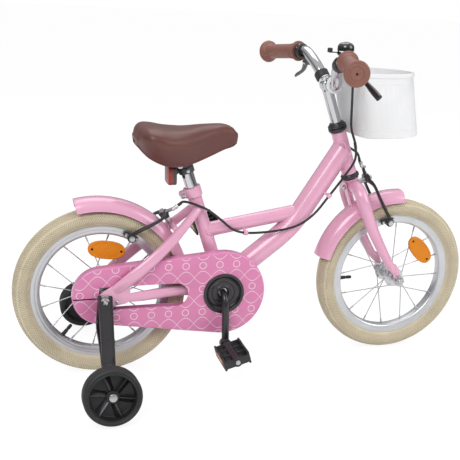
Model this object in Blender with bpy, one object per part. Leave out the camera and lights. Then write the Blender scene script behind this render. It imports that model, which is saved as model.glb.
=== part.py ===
"""Children's bicycle with training wheels, front basket, bell and closed chain case.

World frame in metres: +X forward, near side -Y, +Z up, ground at z = 0, origin midway between
the two wheel axles. Every piece is one closed body named for what it is, and each moving group
hangs from an empty that stands on its joint.
"""
import math

import bmesh
import bpy
import numpy as np

GAP = 0.0003

# Overall layout
WHEELBASE = 0.645
WHEEL_RADIUS = 0.173
HEAD_ANGLE = 70.0
SEAT_ANGLE = 72.0
FORK_RAKE = 0.031
CRANK_AHEAD = 0.2445
CRANK_DROP = 0.003
SEAT_TUBE_AHEAD = 0.010

# Wheels
TYRE_WIDTH = 0.047
TYRE_DEPTH = 0.0345
RIM_WIDTH = 0.026
RIM_DEPTH = 0.0185
RIM_BED_DEPTH = 0.0075
RIM_WALL = 0.0013
WHEEL_SIDES = 28
SPOKES = 16
SPOKE_RADIUS = 0.001
REFLECTOR_LENGTH = 0.6167
AXLE_RADIUS = 0.0048
FLANGE_RADIUS = 0.022
FLANGE_OFFSET = 0.0245
FRONT_HALF_WIDTH = 0.046
REAR_HALF_WIDTH = 0.055
VALVE_RADIUS = 0.0042

# Frame tubes
HEAD_TUBE_RADIUS = 0.0158
HEAD_TUBE_LIFT = 0.086
HEAD_TUBE_LENGTH = 0.0935
DOWN_TUBE_RADIUS = 0.0225
DOWN_TUBE_BEND = 0.25
TOP_TUBE_RADIUS = 0.015
SEAT_TUBE_RADIUS = 0.0143
SEAT_TUBE_LENGTH = 0.2245
SHELL_RADIUS = 0.0215
SHELL_HALF = 0.033
DROPOUT_THICKNESS = 0.0045
BRIDGE_RADIUS = 0.006
BRIDGE_LIFT = 0.0095
BRIDGE_OFF_STAYS = 0.00905

# Seat
POST_RADIUS = 0.0125
COLLAR_RADIUS = 0.0178
SADDLE_LENGTH = 0.202
SADDLE_WIDTH = 0.149
SADDLE_TOP = 0.507

# Drive
CHAIN_PITCH = 0.0127
RING_TEETH = 28
SPROCKET_TEETH = 16
CHAIN_LINE = 0.0435
SPROCKET_THICKNESS = 0.003
CRANK_LENGTH = 0.102
CRANK_BAR_RADIUS = 0.0068
PEDAL_OFFSET = 0.085
PEDAL_LENGTH = 0.055
PEDAL_WIDTH = 0.083
PEDAL_THICKNESS = 0.025
PEDAL_TILT = 16.0
SPINDLE_RADIUS = 0.0055
CASE_FACE = 0.0545
CASE_WALL = 0.002
CASE_BACK = 0.0353
CASE_REAR_RADIUS = 0.0585
CASE_FRONT_RADIUS = 0.0885
CASE_CAP_RADIUS = 0.0430

# Steering
STEERER_RADIUS = 0.0127
QUILL_RADIUS = 0.0111
BLADE_SPREAD = 0.0485
BAR_RADIUS = 0.0111
BAR_HALF_WIDTH = 0.25
CLAMP_RISE = 0.0975
CLAMP_AHEAD = 0.009
GRIP_LENGTH = 0.122
GRIP_RADIUS = 0.015
LEVER_ROLL_RIGHT = -42.0
LEVER_ROLL_LEFT = -45.0
CUP_RADIUS = 0.0197

# Fittings
GUARD_CLEARANCE = 0.0145
GUARD_HALF_WIDTH = 0.029
GUARD_DEPTH = 0.023
GUARD_WALL = 0.0018
CABLE_RADIUS = 0.0025
CABLE_STEP = 0.0140
TRAINER_RADIUS = 0.054
TRAINER_WIDTH = 0.034
TRAINER_OFFSET = 0.2435
TRAINER_LEAN = 10.0
TRAINER_BOLT_RADIUS = 0.005
BRACKET_WIDTH = 0.028
BRACKET_WALL = 0.003
BASKET_FRONT = 0.110
BASKET_REAR = 0.040
BASKET_LEAN = 0.026
BASKET_WIDTH = 0.160
BASKET_HEIGHT = 0.128
BASKET_FLOOR = 0.489
BASKET_WALL = 0.0022
BASKET_PANEL = 0.001
BASKET_PANEL_INSET = 0.006
BELL_RADIUS = 0.0165

# Brakes
ARM_THICKNESS = 0.0050
PAD_CLEARANCE = 0.0026
PAD_DROP = 0.0078
BOLT_REACH = 0.024
FRONT_BOLT_LIFT = 0.059
FRONT_BOLT_AHEAD = 0.030


def vec(x, y, z):
    return np.array([x, y, z], float)


def unit(v):
    return np.asarray(v, float) / np.linalg.norm(v)


HALF_BASE = WHEELBASE / 2
REAR_AXLE = vec(-HALF_BASE, 0, WHEEL_RADIUS)
FRONT_AXLE = vec(HALF_BASE, 0, WHEEL_RADIUS)
CRANK_AXLE = REAR_AXLE + vec(CRANK_AHEAD, 0, -CRANK_DROP)
X_AXIS = vec(1, 0, 0)
SIDE = vec(0, 1, 0)
UP = vec(0, 0, 1)
NEAR = vec(0, -1, 0)
HEAD = math.radians(HEAD_ANGLE)
STEER_UP = vec(-math.cos(HEAD), 0, math.sin(HEAD))
STEER_AHEAD = vec(math.sin(HEAD), 0, math.cos(HEAD))
STEER_FOOT = FRONT_AXLE - FORK_RAKE * STEER_AHEAD
SEAT = math.radians(SEAT_ANGLE)
SEAT_UP = vec(-math.cos(SEAT), 0, math.sin(SEAT))
SEAT_BACK = vec(-math.sin(SEAT), 0, -math.cos(SEAT))
SEAT_FOOT = CRANK_AXLE + vec(SEAT_TUBE_AHEAD, 0, 0)
RIM_RADIUS = WHEEL_RADIUS - TYRE_DEPTH
RIM_BED = RIM_RADIUS - RIM_BED_DEPTH
RIM_INNER = RIM_RADIUS - RIM_DEPTH
GUARD_RADIUS = WHEEL_RADIUS + GUARD_CLEARANCE
RING_PITCH = CHAIN_PITCH / (2 * math.sin(math.pi / RING_TEETH))
SPROCKET_PITCH = CHAIN_PITCH / (2 * math.sin(math.pi / SPROCKET_TEETH))
GROWTH = WHEEL_RADIUS - 0.173
HEAD_TUBE_LOW = WHEEL_RADIUS + HEAD_TUBE_LIFT
HEAD_TUBE_TOP = HEAD_TUBE_LOW + HEAD_TUBE_LENGTH
CLAMP_ALONG = HEAD_TUBE_TOP + CLAMP_RISE
DROPOUT_OUTER = REAR_HALF_WIDTH + DROPOUT_THICKNESS
BRACKET_OUTER = DROPOUT_OUTER + GAP + BRACKET_WALL
PEDAL_MIDDLE = 0.0775 + 0.0145 + PEDAL_WIDTH / 2
PAD_RADIUS = RIM_RADIUS - PAD_DROP
FRONT_PAD = FRONT_AXLE + PAD_RADIUS * unit(vec(-0.197, 0, 0.98))
REAR_PAD = REAR_AXLE + PAD_RADIUS * unit(vec(0.455, 0, 0.89))
REAR_BOLT = unit(vec(-0.6, 0, 0.8))
REAR_REACH = -np.cross(SIDE, REAR_BOLT)
BASKET_AT = vec(FRONT_AXLE[0] - 0.0850, 0, BASKET_FLOOR + GROWTH)


def from_rear(x, y, z):
    """A point given ahead of, beside and above the rear axle."""
    return REAR_AXLE + vec(x, y, z)


def on_steering(along, ahead, side=0.0):
    """A point given along the steering axis, ahead of it and beside it."""
    return STEER_FOOT + along * STEER_UP + ahead * STEER_AHEAD + side * SIDE


def on_seat(along, back=0.0, side=0.0):
    """A point given up the seat tube, behind its axis and beside it."""
    return SEAT_FOOT + along * SEAT_UP + back * SEAT_BACK + side * SIDE


def rear_guard_centre():
    return from_rear(-0.006, 0, 0.008)


def guard_point(off, angle):
    """A point beyond the rear guard's crown at an angle above straight ahead."""
    turn = math.radians(angle)
    return rear_guard_centre() + (GUARD_RADIUS + off) * vec(math.cos(turn), 0, math.sin(turn))


def stay_path(side):
    """Seat stay from the seat tube round the wheel to the dropout."""
    return [
        from_rear(0.2015, 0.010 * side, 0.1735),
        from_rear(0.191, 0.018 * side, 0.1625),
        from_rear(0.142, 0.043 * side, 0.1155),
        from_rear(0.088, 0.0634 * side, 0.0730),
        from_rear(0.038, 0.0630 * side, 0.0335),
        from_rear(0.020, 0.0580 * side, 0.0180),
    ]


def bridge_place():
    """Angle round the rear guard and half length of the bridge that lies on the seat stays."""
    high, low = stay_path(1)[1:3]
    run = (high - low) * (1, 0, 1)
    length = np.linalg.norm(run)
    along = run / length
    start = low * (1, 0, 1) - BRIDGE_OFF_STAYS * np.cross(SIDE, along) - rear_guard_centre()
    half = np.dot(start, along)
    share = math.sqrt(half ** 2 - np.dot(start, start) + (GUARD_RADIUS + BRIDGE_LIFT) ** 2) - half
    spot = start + share * along
    beside = low[1] + (high[1] - low[1]) * share / length
    return math.degrees(math.atan2(spot[2], spot[0])), beside - 0.0014


REAR_BRIDGE_ANGLE, REAR_BRIDGE_HALF = bridge_place()
REAR_PIVOT = guard_point(BRIDGE_LIFT, REAR_BRIDGE_ANGLE) + BOLT_REACH * REAR_BOLT
FRONT_PIVOT = on_steering(WHEEL_RADIUS + FRONT_BOLT_LIFT, FRONT_BOLT_AHEAD)


def material(name, colour, roughness, metallic=0.0):
    made = bpy.data.materials.new(name)
    made.use_nodes = True
    shader = made.node_tree.nodes["Principled BSDF"]
    shader.inputs["Base Color"].default_value = (*colour, 1.0)
    shader.inputs["Roughness"].default_value = roughness
    shader.inputs["Metallic"].default_value = metallic
    made.diffuse_color = (*colour, 1.0)
    return made


def shape(verts, faces):
    """A scratch object holding a closed mesh with its faces turned out."""
    mesh = bpy.data.meshes.new("shape")
    mesh.from_pydata([tuple(v) for v in verts], [], faces)
    work = bmesh.new()
    work.from_mesh(mesh)
    bmesh.ops.delete(work, geom=[v for v in work.verts if not v.link_faces], context="VERTS")
    bmesh.ops.recalc_face_normals(work, faces=work.faces)
    work.to_mesh(mesh)
    work.free()
    made = bpy.data.objects.new("shape", mesh)
    bpy.context.scene.collection.objects.link(made)
    return made


def combine(base, others, operation):
    """Applies an exact Boolean of each other shape to the base and drops those shapes."""
    for other in others:
        step = base.modifiers.new("step", "BOOLEAN")
        step.operation = operation
        step.solver = "EXACT"
        step.object = other
    bpy.context.view_layer.update()
    graph = bpy.context.evaluated_depsgraph_get()
    mesh = bpy.data.meshes.new_from_object(base.evaluated_get(graph))
    base.modifiers.clear()
    base.data = mesh
    for other in others:
        bpy.data.objects.remove(other)
    return base


def union(shapes):
    return combine(shapes[0], shapes[1:], "UNION")


def cut(base, cutters):
    return combine(base, cutters, "DIFFERENCE")


def lathe(profile, origin, axis, sides, across=None, start=0.0, arc=None):
    """Turns (radius, height) pairs about an axis. A profile off the axis closes on itself."""
    axis = unit(axis)
    if across is None:
        across = X_AXIS if abs(axis[0]) < 0.9 else UP
    first = unit(np.asarray(across) - np.dot(across, axis) * axis)
    second = np.cross(axis, first)
    steps = sides if arc is None else sides + 1
    turn = math.tau if arc is None else math.radians(arc[1] - arc[0])
    begin = math.radians(start if arc is None else arc[0])
    verts, rings, faces = [], [], []
    for radius, height in profile:
        ring = []
        for k in range(1 if radius < 1e-9 else steps):
            angle = begin + turn * k / sides
            spread = math.cos(angle) * first + math.sin(angle) * second
            ring.append(len(verts))
            verts.append(origin + height * axis + radius * spread)
        rings.append(ring)
    open_ended = profile[0][0] < 1e-9
    flat = [open_ended and profile[end][1] == profile[beside][1] for end, beside in ((0, 1), (-1, -2))]
    if flat[0]:
        rings = rings[1:]
        faces.append(rings[0])
    if flat[1]:
        rings = rings[:-1]
        faces.append(rings[-1])
    for i in range(len(rings) - (1 if open_ended else 0)):
        low, high = rings[i], rings[(i + 1) % len(rings)]
        for k in range(sides):
            m = (k + 1) % steps
            corners = [low[k % len(low)], low[m % len(low)], high[m % len(high)], high[k % len(high)]]
            faces.append(list(dict.fromkeys(corners)))
    if arc is not None:
        faces.append([ring[0] for ring in rings])
        faces.append([ring[-1] for ring in rings])
    return shape(verts, faces)


def rod(start, end, radius, sides=12):
    """A round bar between two points."""
    span = np.asarray(end, float) - start
    length = np.linalg.norm(span)
    return lathe([(0, 0), (radius, 0), (radius, length), (0, length)], start, span, sides)


def bore(start, end, radius, sides=12):
    """A cutter whose flats clear a round bar of this radius by the working gap."""
    return rod(start, end, around(radius, sides), sides)


def around(radius, sides):
    """Corner radius of a polygonal hole that clears a round bar by the working gap."""
    return (radius + GAP) / math.cos(math.pi / sides)


def stepped(origin, axis, steps, sides=8):
    """A turned pin from (radius, height) corners, starting and ending on its axis."""
    return lathe([(0, steps[0][1])] + list(steps) + [(0, steps[-1][1])], origin, axis, sides)


def ring(centre, axis, inner, outer, half, sides=16):
    profile = [(inner, -half), (outer, -half), (outer, half), (inner, half)]
    return lathe(profile, centre, axis, sides)


def smooth_path(points, spacing):
    """Points at an even spacing on a centripetal curve through the given ones."""
    p = np.asarray(points, float)
    p = np.vstack([2 * p[0] - p[1], p, 2 * p[-1] - p[-2]])
    dense = [p[1]]
    for a, b, c, d in zip(p[:-3], p[1:-2], p[2:-1], p[3:]):
        ta = np.linalg.norm(b - a) ** 0.5
        tb = ta + np.linalg.norm(c - b) ** 0.5
        tc = tb + np.linalg.norm(d - c) ** 0.5
        for t in np.linspace(ta, tb, 17)[1:]:
            one = a + (b - a) * t / ta
            two = b + (c - b) * (t - ta) / (tb - ta)
            three = c + (d - c) * (t - tb) / (tc - tb)
            four = one + (two - one) * t / tb
            five = two + (three - two) * (t - ta) / (tc - ta)
            dense.append(four + (five - four) * (t - ta) / (tb - ta))
    dense = np.array(dense)
    run = np.concatenate([[0], np.cumsum(np.linalg.norm(np.diff(dense, axis=0), axis=1))])
    marks = np.linspace(0, run[-1], max(2, round(run[-1] / spacing) + 1))
    return np.column_stack([np.interp(marks, run, dense[:, k]) for k in range(3)])


def tangents(points):
    steps = np.diff(points, axis=0)
    steps /= np.linalg.norm(steps, axis=1)[:, None]
    middle = steps[:-1] + steps[1:]
    middle /= np.linalg.norm(middle, axis=1)[:, None]
    return np.vstack([steps[:1], middle, steps[-1:]])


def sweep(points, sizes, sides=12, up=None):
    """Carries an oval along a path. Sizes are radii, or pairs measured along up and across it."""
    points = np.asarray(points, float)
    along = tangents(points)
    sizes = [sizes] * len(points) if np.isscalar(sizes) else sizes
    guide = UP if up is None else np.asarray(up, float)
    if up is None and abs(along[0][2]) > 0.9:
        guide = X_AXIS
    verts, faces = [], []
    for i, (point, direction, size) in enumerate(zip(points, along, sizes)):
        tall, wide = (size, size) if np.isscalar(size) else size
        normal = unit(guide - np.dot(guide, direction) * direction)
        guide = normal if up is None else guide
        beside = np.cross(direction, normal)
        for k in range(sides):
            angle = math.tau * (k + 0.5) / sides
            verts.append(point + tall * math.cos(angle) * normal + wide * math.sin(angle) * beside)
        if i:
            low = (i - 1) * sides
            for k in range(sides):
                m = (k + 1) % sides
                faces.append([low + k, low + m, low + sides + m, low + sides + k])
    faces.append(list(range(sides)))
    faces.append(list(range(len(verts) - sides, len(verts))))
    return shape(verts, faces)


def follow(points, section, across):
    """Carries a flat section along a path with mitred corners. Section pairs are (across, off)."""
    points = np.asarray(points, float)
    steps = np.diff(points, axis=0)
    steps /= np.linalg.norm(steps, axis=1)[:, None]
    across = unit(across)
    verts, faces, count = [], [], len(section)
    for i, point in enumerate(points):
        before = steps[max(0, i - 1)]
        after = steps[min(len(steps) - 1, i)]
        off_before = unit(np.cross(before, across))
        off = unit(off_before + unit(np.cross(after, across)))
        off = off / np.dot(off, off_before)
        verts += [point + a * across + b * off for a, b in section]
        if i:
            low = (i - 1) * count
            for k in range(count):
                m = (k + 1) % count
                faces.append([low + k, low + m, low + count + m, low + count + k])
    faces.append(list(range(count)))
    faces.append(list(range(len(verts) - count, len(verts))))
    return shape(verts, faces)


def prism(outline, origin, first, second, low, high):
    """Raises a flat outline between two heights along first x second."""
    first, second = unit(first), unit(second)
    normal = np.cross(first, second)
    count = len(outline)
    verts = []
    for height in (low, high):
        verts += [origin + a * first + b * second + height * normal for a, b in outline]
    faces = [list(range(count)), list(range(count, 2 * count))]
    for k in range(count):
        m = (k + 1) % count
        faces.append([k, m, count + m, count + k])
    return shape(verts, faces)


def block(centre, first, second, sizes):
    """A box by its centre, two directions and full sizes along them and their cross product."""
    a, b, c = (size / 2 for size in sizes)
    return prism([(-a, -b), (a, -b), (a, b), (-a, b)], centre, first, second, -c, c)


def belt(rear, rear_radius, front, front_radius, count):
    """The line of a belt round two circles, as x and z pairs, with the same count on each end."""
    span = np.array([front[0] - rear[0], front[2] - rear[2]])
    lean = math.atan2(span[1], span[0])
    tilt = math.acos((rear_radius - front_radius) / np.linalg.norm(span))
    line = []
    for k in range(count):
        angle = lean + tilt + (math.tau - 2 * tilt) * k / (count - 1)
        line.append((rear[0] + rear_radius * math.cos(angle), rear[2] + rear_radius * math.sin(angle)))
    for k in range(count):
        angle = lean - tilt + 2 * tilt * k / (count - 1)
        line.append((front[0] + front_radius * math.cos(angle), front[2] + front_radius * math.sin(angle)))
    return line


def upright(outline, near, far):
    """An outline of x and z pairs given thickness between two distances to the near side."""
    return prism(outline, vec(0, 0, 0), X_AXIS, UP, near, far)


def gear(teeth, pitch_radius, tip, root):
    """The toothed outline of a sprocket."""
    line = []
    for k in range(teeth):
        for part, radius in ((-0.12, tip), (0.12, tip), (0.5, root)):
            angle = math.tau * (k + 0.5 + part) / teeth
            reach = pitch_radius + radius
            line.append((reach * math.cos(angle), reach * math.sin(angle)))
    return line


BODIES = {}


def body(name, pivot):
    made = bpy.data.objects.new(name + "_body", None)
    made.empty_display_size = 0.02
    made.location = pivot
    bpy.context.scene.collection.objects.link(made)
    BODIES[name] = made


def finish(made, name, look, group):
    """Names a piece, gives it its material and hangs it from its group's joint."""
    made.name = name
    made.data.name = name
    made.data.materials.clear()
    made.data.materials.append(look)
    pivot = BODIES[group].location
    if made.type == "MESH":
        made.data.shade_smooth()
        made.data.set_sharp_from_angle(angle=math.radians(35))
        coords = np.empty(len(made.data.vertices) * 3, np.float32)
        made.data.vertices.foreach_get("co", coords)
        coords = coords.reshape(-1, 3) - np.array(pivot, np.float32)
        made.data.vertices.foreach_set("co", coords.ravel())
    else:
        made.location = -pivot
    made.parent = BODIES[group]


def cable(name, points, look, group):
    """A round cable held along its route."""
    path = smooth_path(points, CABLE_STEP)
    data = bpy.data.curves.new(name, "CURVE")
    data.dimensions = "3D"
    data.bevel_depth = CABLE_RADIUS
    data.bevel_resolution = 2
    data.use_fill_caps = True
    line = data.splines.new("POLY")
    line.points.add(len(path) - 1)
    for point, place in zip(line.points, path):
        point.co = (*place, 1.0)
    made = bpy.data.objects.new(name, data)
    bpy.context.scene.collection.objects.link(made)
    finish(made, name, look, group)


def clip_on(path, index, inner, outer, half):
    """A short sleeve round a cable at one point of its path."""
    along = tangents(path)[index]
    return ring(path[index], along, inner, outer, half, 10)


# Wheels

def wheel_tyre():
    half = TYRE_WIDTH / 2
    bead = RIM_WIDTH / 2 - RIM_WALL - GAP
    side = [
        (WHEEL_RADIUS, 0.25 * half),
        (WHEEL_RADIUS - 0.0045, 0.68 * half),
        (WHEEL_RADIUS - 0.60 * TYRE_DEPTH, half),
        (RIM_RADIUS + 0.0012, bead),
        (RIM_BED + GAP, bead),
        (RIM_BED + GAP, bead - 0.0035),
        (WHEEL_RADIUS - 0.66 * TYRE_DEPTH, half - 0.007),
        (WHEEL_RADIUS - 0.005, 0.2 * half),
    ]
    return side


def wheel_tube():
    half = TYRE_WIDTH / 2
    bead = RIM_WIDTH / 2 - RIM_WALL - GAP
    return [
        (RIM_BED + GAP, bead - 0.0035 - GAP),
        (WHEEL_RADIUS - 0.66 * TYRE_DEPTH, half - 0.007 - GAP),
        (WHEEL_RADIUS - 0.005 - GAP, 0.2 * half - GAP / 2),
    ]


def wheel_rim():
    half = RIM_WIDTH / 2
    return [
        (RIM_RADIUS, half),
        (RIM_INNER + 0.006, half),
        (RIM_INNER, 0.5 * half),
    ]


def both_sides(half_profile):
    return half_profile + [(r, -h) for r, h in reversed(half_profile)]


def wheel_lathe(profile, axle):
    """A ring of the wheel whose lowest facet lies flat on the ground."""
    grow = 1 / math.cos(math.pi / WHEEL_SIDES)
    wide = [(r * grow, h) for r, h in profile]
    return lathe(wide, axle, NEAR, WHEEL_SIDES, X_AXIS, 180 / WHEEL_SIDES)


def valve_rod(axle, angle, inner, outer, radius):
    ray = math.cos(math.radians(angle)) * X_AXIS + math.sin(math.radians(angle)) * UP
    return lathe([(0, inner), (radius, inner), (radius, outer), (0, outer)], axle, ray, 8, SIDE, 22.5)


def spoke_set(axle, phase, lean, signs, flange, sign):
    """The spokes that lean one way, as closed bars that stop just short of the rim."""
    verts, faces = [], []
    for k in range(SPOKES):
        if signs[k % 4] != sign:
            continue
        beside = (NEAR if k % 2 == 0 else SIDE) * flange
        outer = math.radians(phase + 360 / SPOKES * k)
        inner = outer + math.radians(lean) * signs[k % 4]
        start = axle + beside * (1 + 0.03 * signs[k % 4])
        start = start + 0.019 * (math.cos(inner) * X_AXIS + math.sin(inner) * UP)
        end = axle + (RIM_INNER - GAP - 0.0002) * (math.cos(outer) * X_AXIS + math.sin(outer) * UP)
        along = unit(end - start)
        first = unit(np.cross(along, SIDE))
        second = np.cross(along, first)
        base = len(verts)
        for place in (start, end):
            for a, b in ((1, 0), (-0.5, 0.87), (-0.5, -0.87)):
                verts.append(place + 1.2 * SPOKE_RADIUS * (a * first + b * second))
        for m in range(3):
            n = (m + 1) % 3
            faces.append([base + m, base + n, base + 3 + n, base + 3 + m])
        faces.append([base + 2, base + 1, base])
        faces.append([base + 3, base + 4, base + 5])
    return shape(verts, faces)


def wheel_hub(axle, phase, lean, signs, far_end, near_end, thread_radius):
    """Hub shell with two flanges and its spokes."""
    inner = AXLE_RADIUS + GAP
    low, high = FLANGE_OFFSET - 0.0015, FLANGE_OFFSET + 0.0015
    profile = [
        (inner, -far_end), (0.0115, -far_end), (0.0115, -high), (FLANGE_RADIUS, -high),
        (FLANGE_RADIUS, -low), (0.0105, -low), (0.0105, low), (FLANGE_RADIUS, low),
        (FLANGE_RADIUS, high), (thread_radius, high), (thread_radius, near_end), (inner, near_end),
    ]
    shell = lathe(profile, axle, NEAR, 12, X_AXIS)
    sets = [spoke_set(axle, phase, lean, signs, FLANGE_OFFSET, sign) for sign in (-1, 1)]
    return union([shell] + sets)


def wheel_reflector(axle, angle, reach, spreads, stand):
    """Long oval reflector clipped on two near spokes. Reach and spreads are shares of the rim's radius."""
    ray = math.cos(math.radians(angle)) * X_AXIS + math.sin(math.radians(angle)) * UP
    tangent = np.cross(NEAR, ray)
    centre = axle + reach * RIM_INNER * ray
    long, tall = REFLECTOR_LENGTH * RIM_INNER / 2, REFLECTOR_LENGTH * RIM_INNER / 4
    outline = []
    for k in range(16):
        a = math.tau * k / 16
        c, s = math.cos(a), math.sin(a)
        outline.append((long * math.copysign(abs(c) ** 0.75, c), tall * math.copysign(abs(s) ** 0.8, s)))
    plate = prism(outline, centre, tangent, ray, -0.0188, -0.0118)
    clips = []
    for spread in spreads:
        foot = centre + spread * RIM_INNER * tangent
        clips.append(rod(foot + NEAR * stand, foot + NEAR * 0.014, 0.003, 8))
    return union([plate] + clips)


def make_wheel(prefix, axle, valve_angle, group, looks):
    tyre = wheel_lathe(both_sides(wheel_tyre()), axle)
    finish(tyre, prefix + "_tyre", looks["tyre"], group)
    tube = wheel_lathe(both_sides(wheel_tube()), axle)
    stem = valve_rod(axle, valve_angle, RIM_INNER - 0.028, RIM_BED + 0.006, VALVE_RADIUS)
    finish(union([tube, stem]), prefix + "_inner_tube", looks["rubber"], group)
    half = RIM_WIDTH / 2 - RIM_WALL
    profile = wheel_rim() + [(r, -h) for r, h in reversed(wheel_rim())]
    profile += [(RIM_RADIUS, -half), (RIM_BED, -half), (RIM_BED, half), (RIM_RADIUS, half)]
    rim = wheel_lathe(profile, axle)
    hole = valve_rod(axle, valve_angle, RIM_INNER - 0.01, RIM_BED + 0.01, VALVE_RADIUS + 2 * GAP)
    finish(cut(rim, [hole]), prefix + "_rim", looks["alloy"], group)


def axle_shape(axle, cone_start, seat, lock_start, end):
    """A threaded axle with cones inside its seats and nuts outside them."""
    thin = AXLE_RADIUS

    def half(cone):
        return [
            (thin, cone), (0.0075, cone), (0.0075, seat - GAP), (thin, seat - GAP),
            (thin, lock_start), (0.0088, lock_start), (0.0088, lock_start + 0.008),
            (thin, lock_start + 0.008), (thin, end), (0, end),
        ]

    far = [(r, -h) for r, h in reversed(half(cone_start[0]))]
    return lathe(far + half(cone_start[1]), axle, NEAR, 8, X_AXIS)


def make_wheels(looks):
    make_wheel("rear", REAR_AXLE, 229.2, "rear_wheel", looks)
    hub = wheel_hub(REAR_AXLE, 13.5, 80, (-1, -1, 1, 1), 0.030, 0.0475, 0.016)
    finish(hub, "rear_hub", looks["alloy"], "rear_wheel")
    reflector = wheel_reflector(REAR_AXLE, 82.5, 0.754, (-0.285, 0.254), 0.0068)
    finish(reflector, "rear_wheel_reflector", looks["amber"], "rear_wheel")
    make_wheel("front", FRONT_AXLE, 181.6, "front_wheel", looks)
    hub = wheel_hub(FRONT_AXLE, 19.5, 90, (1, 1, -1, -1), 0.030, 0.030, 0.0115)
    finish(hub, "front_hub", looks["alloy"], "front_wheel")
    reflector = wheel_reflector(FRONT_AXLE, 42.0, 0.712, (-0.246, 0.246), 0.0082)
    finish(reflector, "front_wheel_reflector", looks["amber"], "front_wheel")
    nut = FRONT_HALF_WIDTH + 0.005 + GAP
    axle = axle_shape(FRONT_AXLE, (0.0305, 0.0305), FRONT_HALF_WIDTH, nut, 0.064)
    finish(axle, "front_axle", looks["steel"], "fork")
    nut = BRACKET_OUTER + GAP
    axle = axle_shape(REAR_AXLE, (0.0305, 0.0480), REAR_HALF_WIDTH, nut, 0.080)
    finish(axle, "rear_axle", looks["steel"], "frame")


# Frame

def down_tube_corner():
    """Where the straight runs of the down tube would meet."""
    return CRANK_AXLE + vec(0.1579, 0, 0.1226) + (WHEELBASE - 0.645) * 0.4 * X_AXIS


def top_tube_end():
    return down_tube_corner() + vec(0.0175, 0, 0.0337)


def down_tube_path():
    """Head tube to crank shell with one smooth bend."""
    top = on_steering(HEAD_TUBE_TOP - 0.0383, 0)
    low = CRANK_AXLE
    corner = down_tube_corner()
    back, forth = unit(top - corner), unit(low - corner)
    half = math.acos(np.dot(back, forth)) / 2
    reach = DOWN_TUBE_BEND / math.tan(half)
    centre = corner + unit(back + forth) * DOWN_TUBE_BEND / math.sin(half)
    start, end = corner + reach * back, corner + reach * forth
    path = [top]
    for t in np.linspace(0, 1, 7):
        path.append(centre + DOWN_TUBE_BEND * unit((start - centre) * (1 - t) + (end - centre) * t))
    path.append(low)
    return np.array(path)


def chain_stay_path(side):
    return [
        from_rear(0.035, 0.0573 * side, 0.0015),
        from_rear(0.062, 0.0552 * side, 0.002),
        from_rear(0.155, 0.0354 * side, 0.003),
        from_rear(0.184, 0.0334 * side, 0.001),
        from_rear(CRANK_AHEAD - 0.039, 0.0275 * side, 0.0),
        from_rear(CRANK_AHEAD - 0.006, 0.0250 * side, -0.002),
    ]


def dropout(side):
    outline = [(-0.011, -0.012), (0.012, -0.015), (0.046, -0.009), (0.052, 0.004), (0.050, 0.034),
               (0.034, 0.038), (0.016, 0.028), (-0.008, 0.013), (-0.013, 0.002)]
    outline = [(REAR_AXLE[0] + a, REAR_AXLE[2] + b) for a, b in outline]
    near, far = -side * REAR_HALF_WIDTH, -side * DROPOUT_OUTER
    return upright(outline, near, far)


def bridges():
    stay = guard_point(BRIDGE_LIFT, REAR_BRIDGE_ANGLE)
    low = guard_point(BRIDGE_RADIUS + GAP, -3.0)
    return [
        rod(stay + REAR_BRIDGE_HALF * NEAR, stay + REAR_BRIDGE_HALF * SIDE, BRIDGE_RADIUS, 10),
        rod(low + 0.033 * NEAR, low + 0.033 * SIDE, BRIDGE_RADIUS, 10),
    ]


def nearest(path, point):
    return int(np.argmin(np.linalg.norm(path - point, axis=1)))


def make_frame(looks, rear_cable):
    path = down_tube_path()
    clips = [nearest(rear_cable, point) for point in clip_points()]
    pieces = [
        sweep(path, DOWN_TUBE_RADIUS, 14),
        rod(on_steering(HEAD_TUBE_LOW, 0), on_steering(HEAD_TUBE_TOP, 0), HEAD_TUBE_RADIUS, 14),
        rod(on_seat(0), on_seat(SEAT_TUBE_LENGTH), SEAT_TUBE_RADIUS, 14),
        rod(CRANK_AXLE + SHELL_HALF * NEAR, CRANK_AXLE + SHELL_HALF * SIDE, SHELL_RADIUS, 14),
        rod(on_seat(0.128), top_tube_end(), TOP_TUBE_RADIUS, 12),
    ]
    upper = [(0.0085, 0.0085), (0.0085, 0.0085), (0.0105, 0.0095), (0.0115, 0.0072),
             (0.0120, 0.0070), (0.0100, 0.0030)]
    lower = [(0.008, 0.0020), (0.0105, 0.0060), (0.011, 0.0072), (0.011, 0.0070), (0.011, 0.0066),
             (0.011, 0.0064)]
    for side in (-1, 1):
        pieces.append(sweep(stay_path(side), upper, 8, vec(0.75, 0, -1)))
        pieces.append(sweep(chain_stay_path(side), lower, 8, UP))
        pieces.append(dropout(side))
    pieces += bridges()
    tubes = (down_tube_corner(), path[0]), (on_seat(0.128), top_tube_end())
    for index, (start, end) in zip(clips, tubes):
        held = rear_cable[index]
        along = unit(end - start)
        root = start + np.dot(held - start, along) * along
        pieces.append(clip_on(rear_cable, index, 0.001, CABLE_RADIUS + 0.0026, 0.0045))
        pieces.append(rod(root, held, 0.0028, 8))
    frame = union(pieces)
    cutters = [
        bore(on_steering(HEAD_TUBE_LOW - 0.02, 0), on_steering(HEAD_TUBE_TOP + 0.02, 0),
             STEERER_RADIUS, 14),
        bore(on_seat(0.095), on_seat(SEAT_TUBE_LENGTH + 0.02), POST_RADIUS, 14),
        bore(CRANK_AXLE + 0.05 * NEAR, CRANK_AXLE + 0.05 * SIDE, 0.0172, 12),
        bore(REAR_AXLE + 0.08 * NEAR, REAR_AXLE + 0.08 * SIDE, AXLE_RADIUS, 10),
        bore(*rear_bolt_line(0.04, 0.02), 0.003, 8),
    ]
    for index in clips:
        along = tangents(rear_cable)[index]
        centre = rear_cable[index]
        reach = 0.012 * along
        cutters.append(bore(centre - reach, centre + reach, CABLE_RADIUS + 2 * GAP, 10))
    finish(cut(frame, cutters), "main_frame", looks["pink"], "frame")


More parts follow.
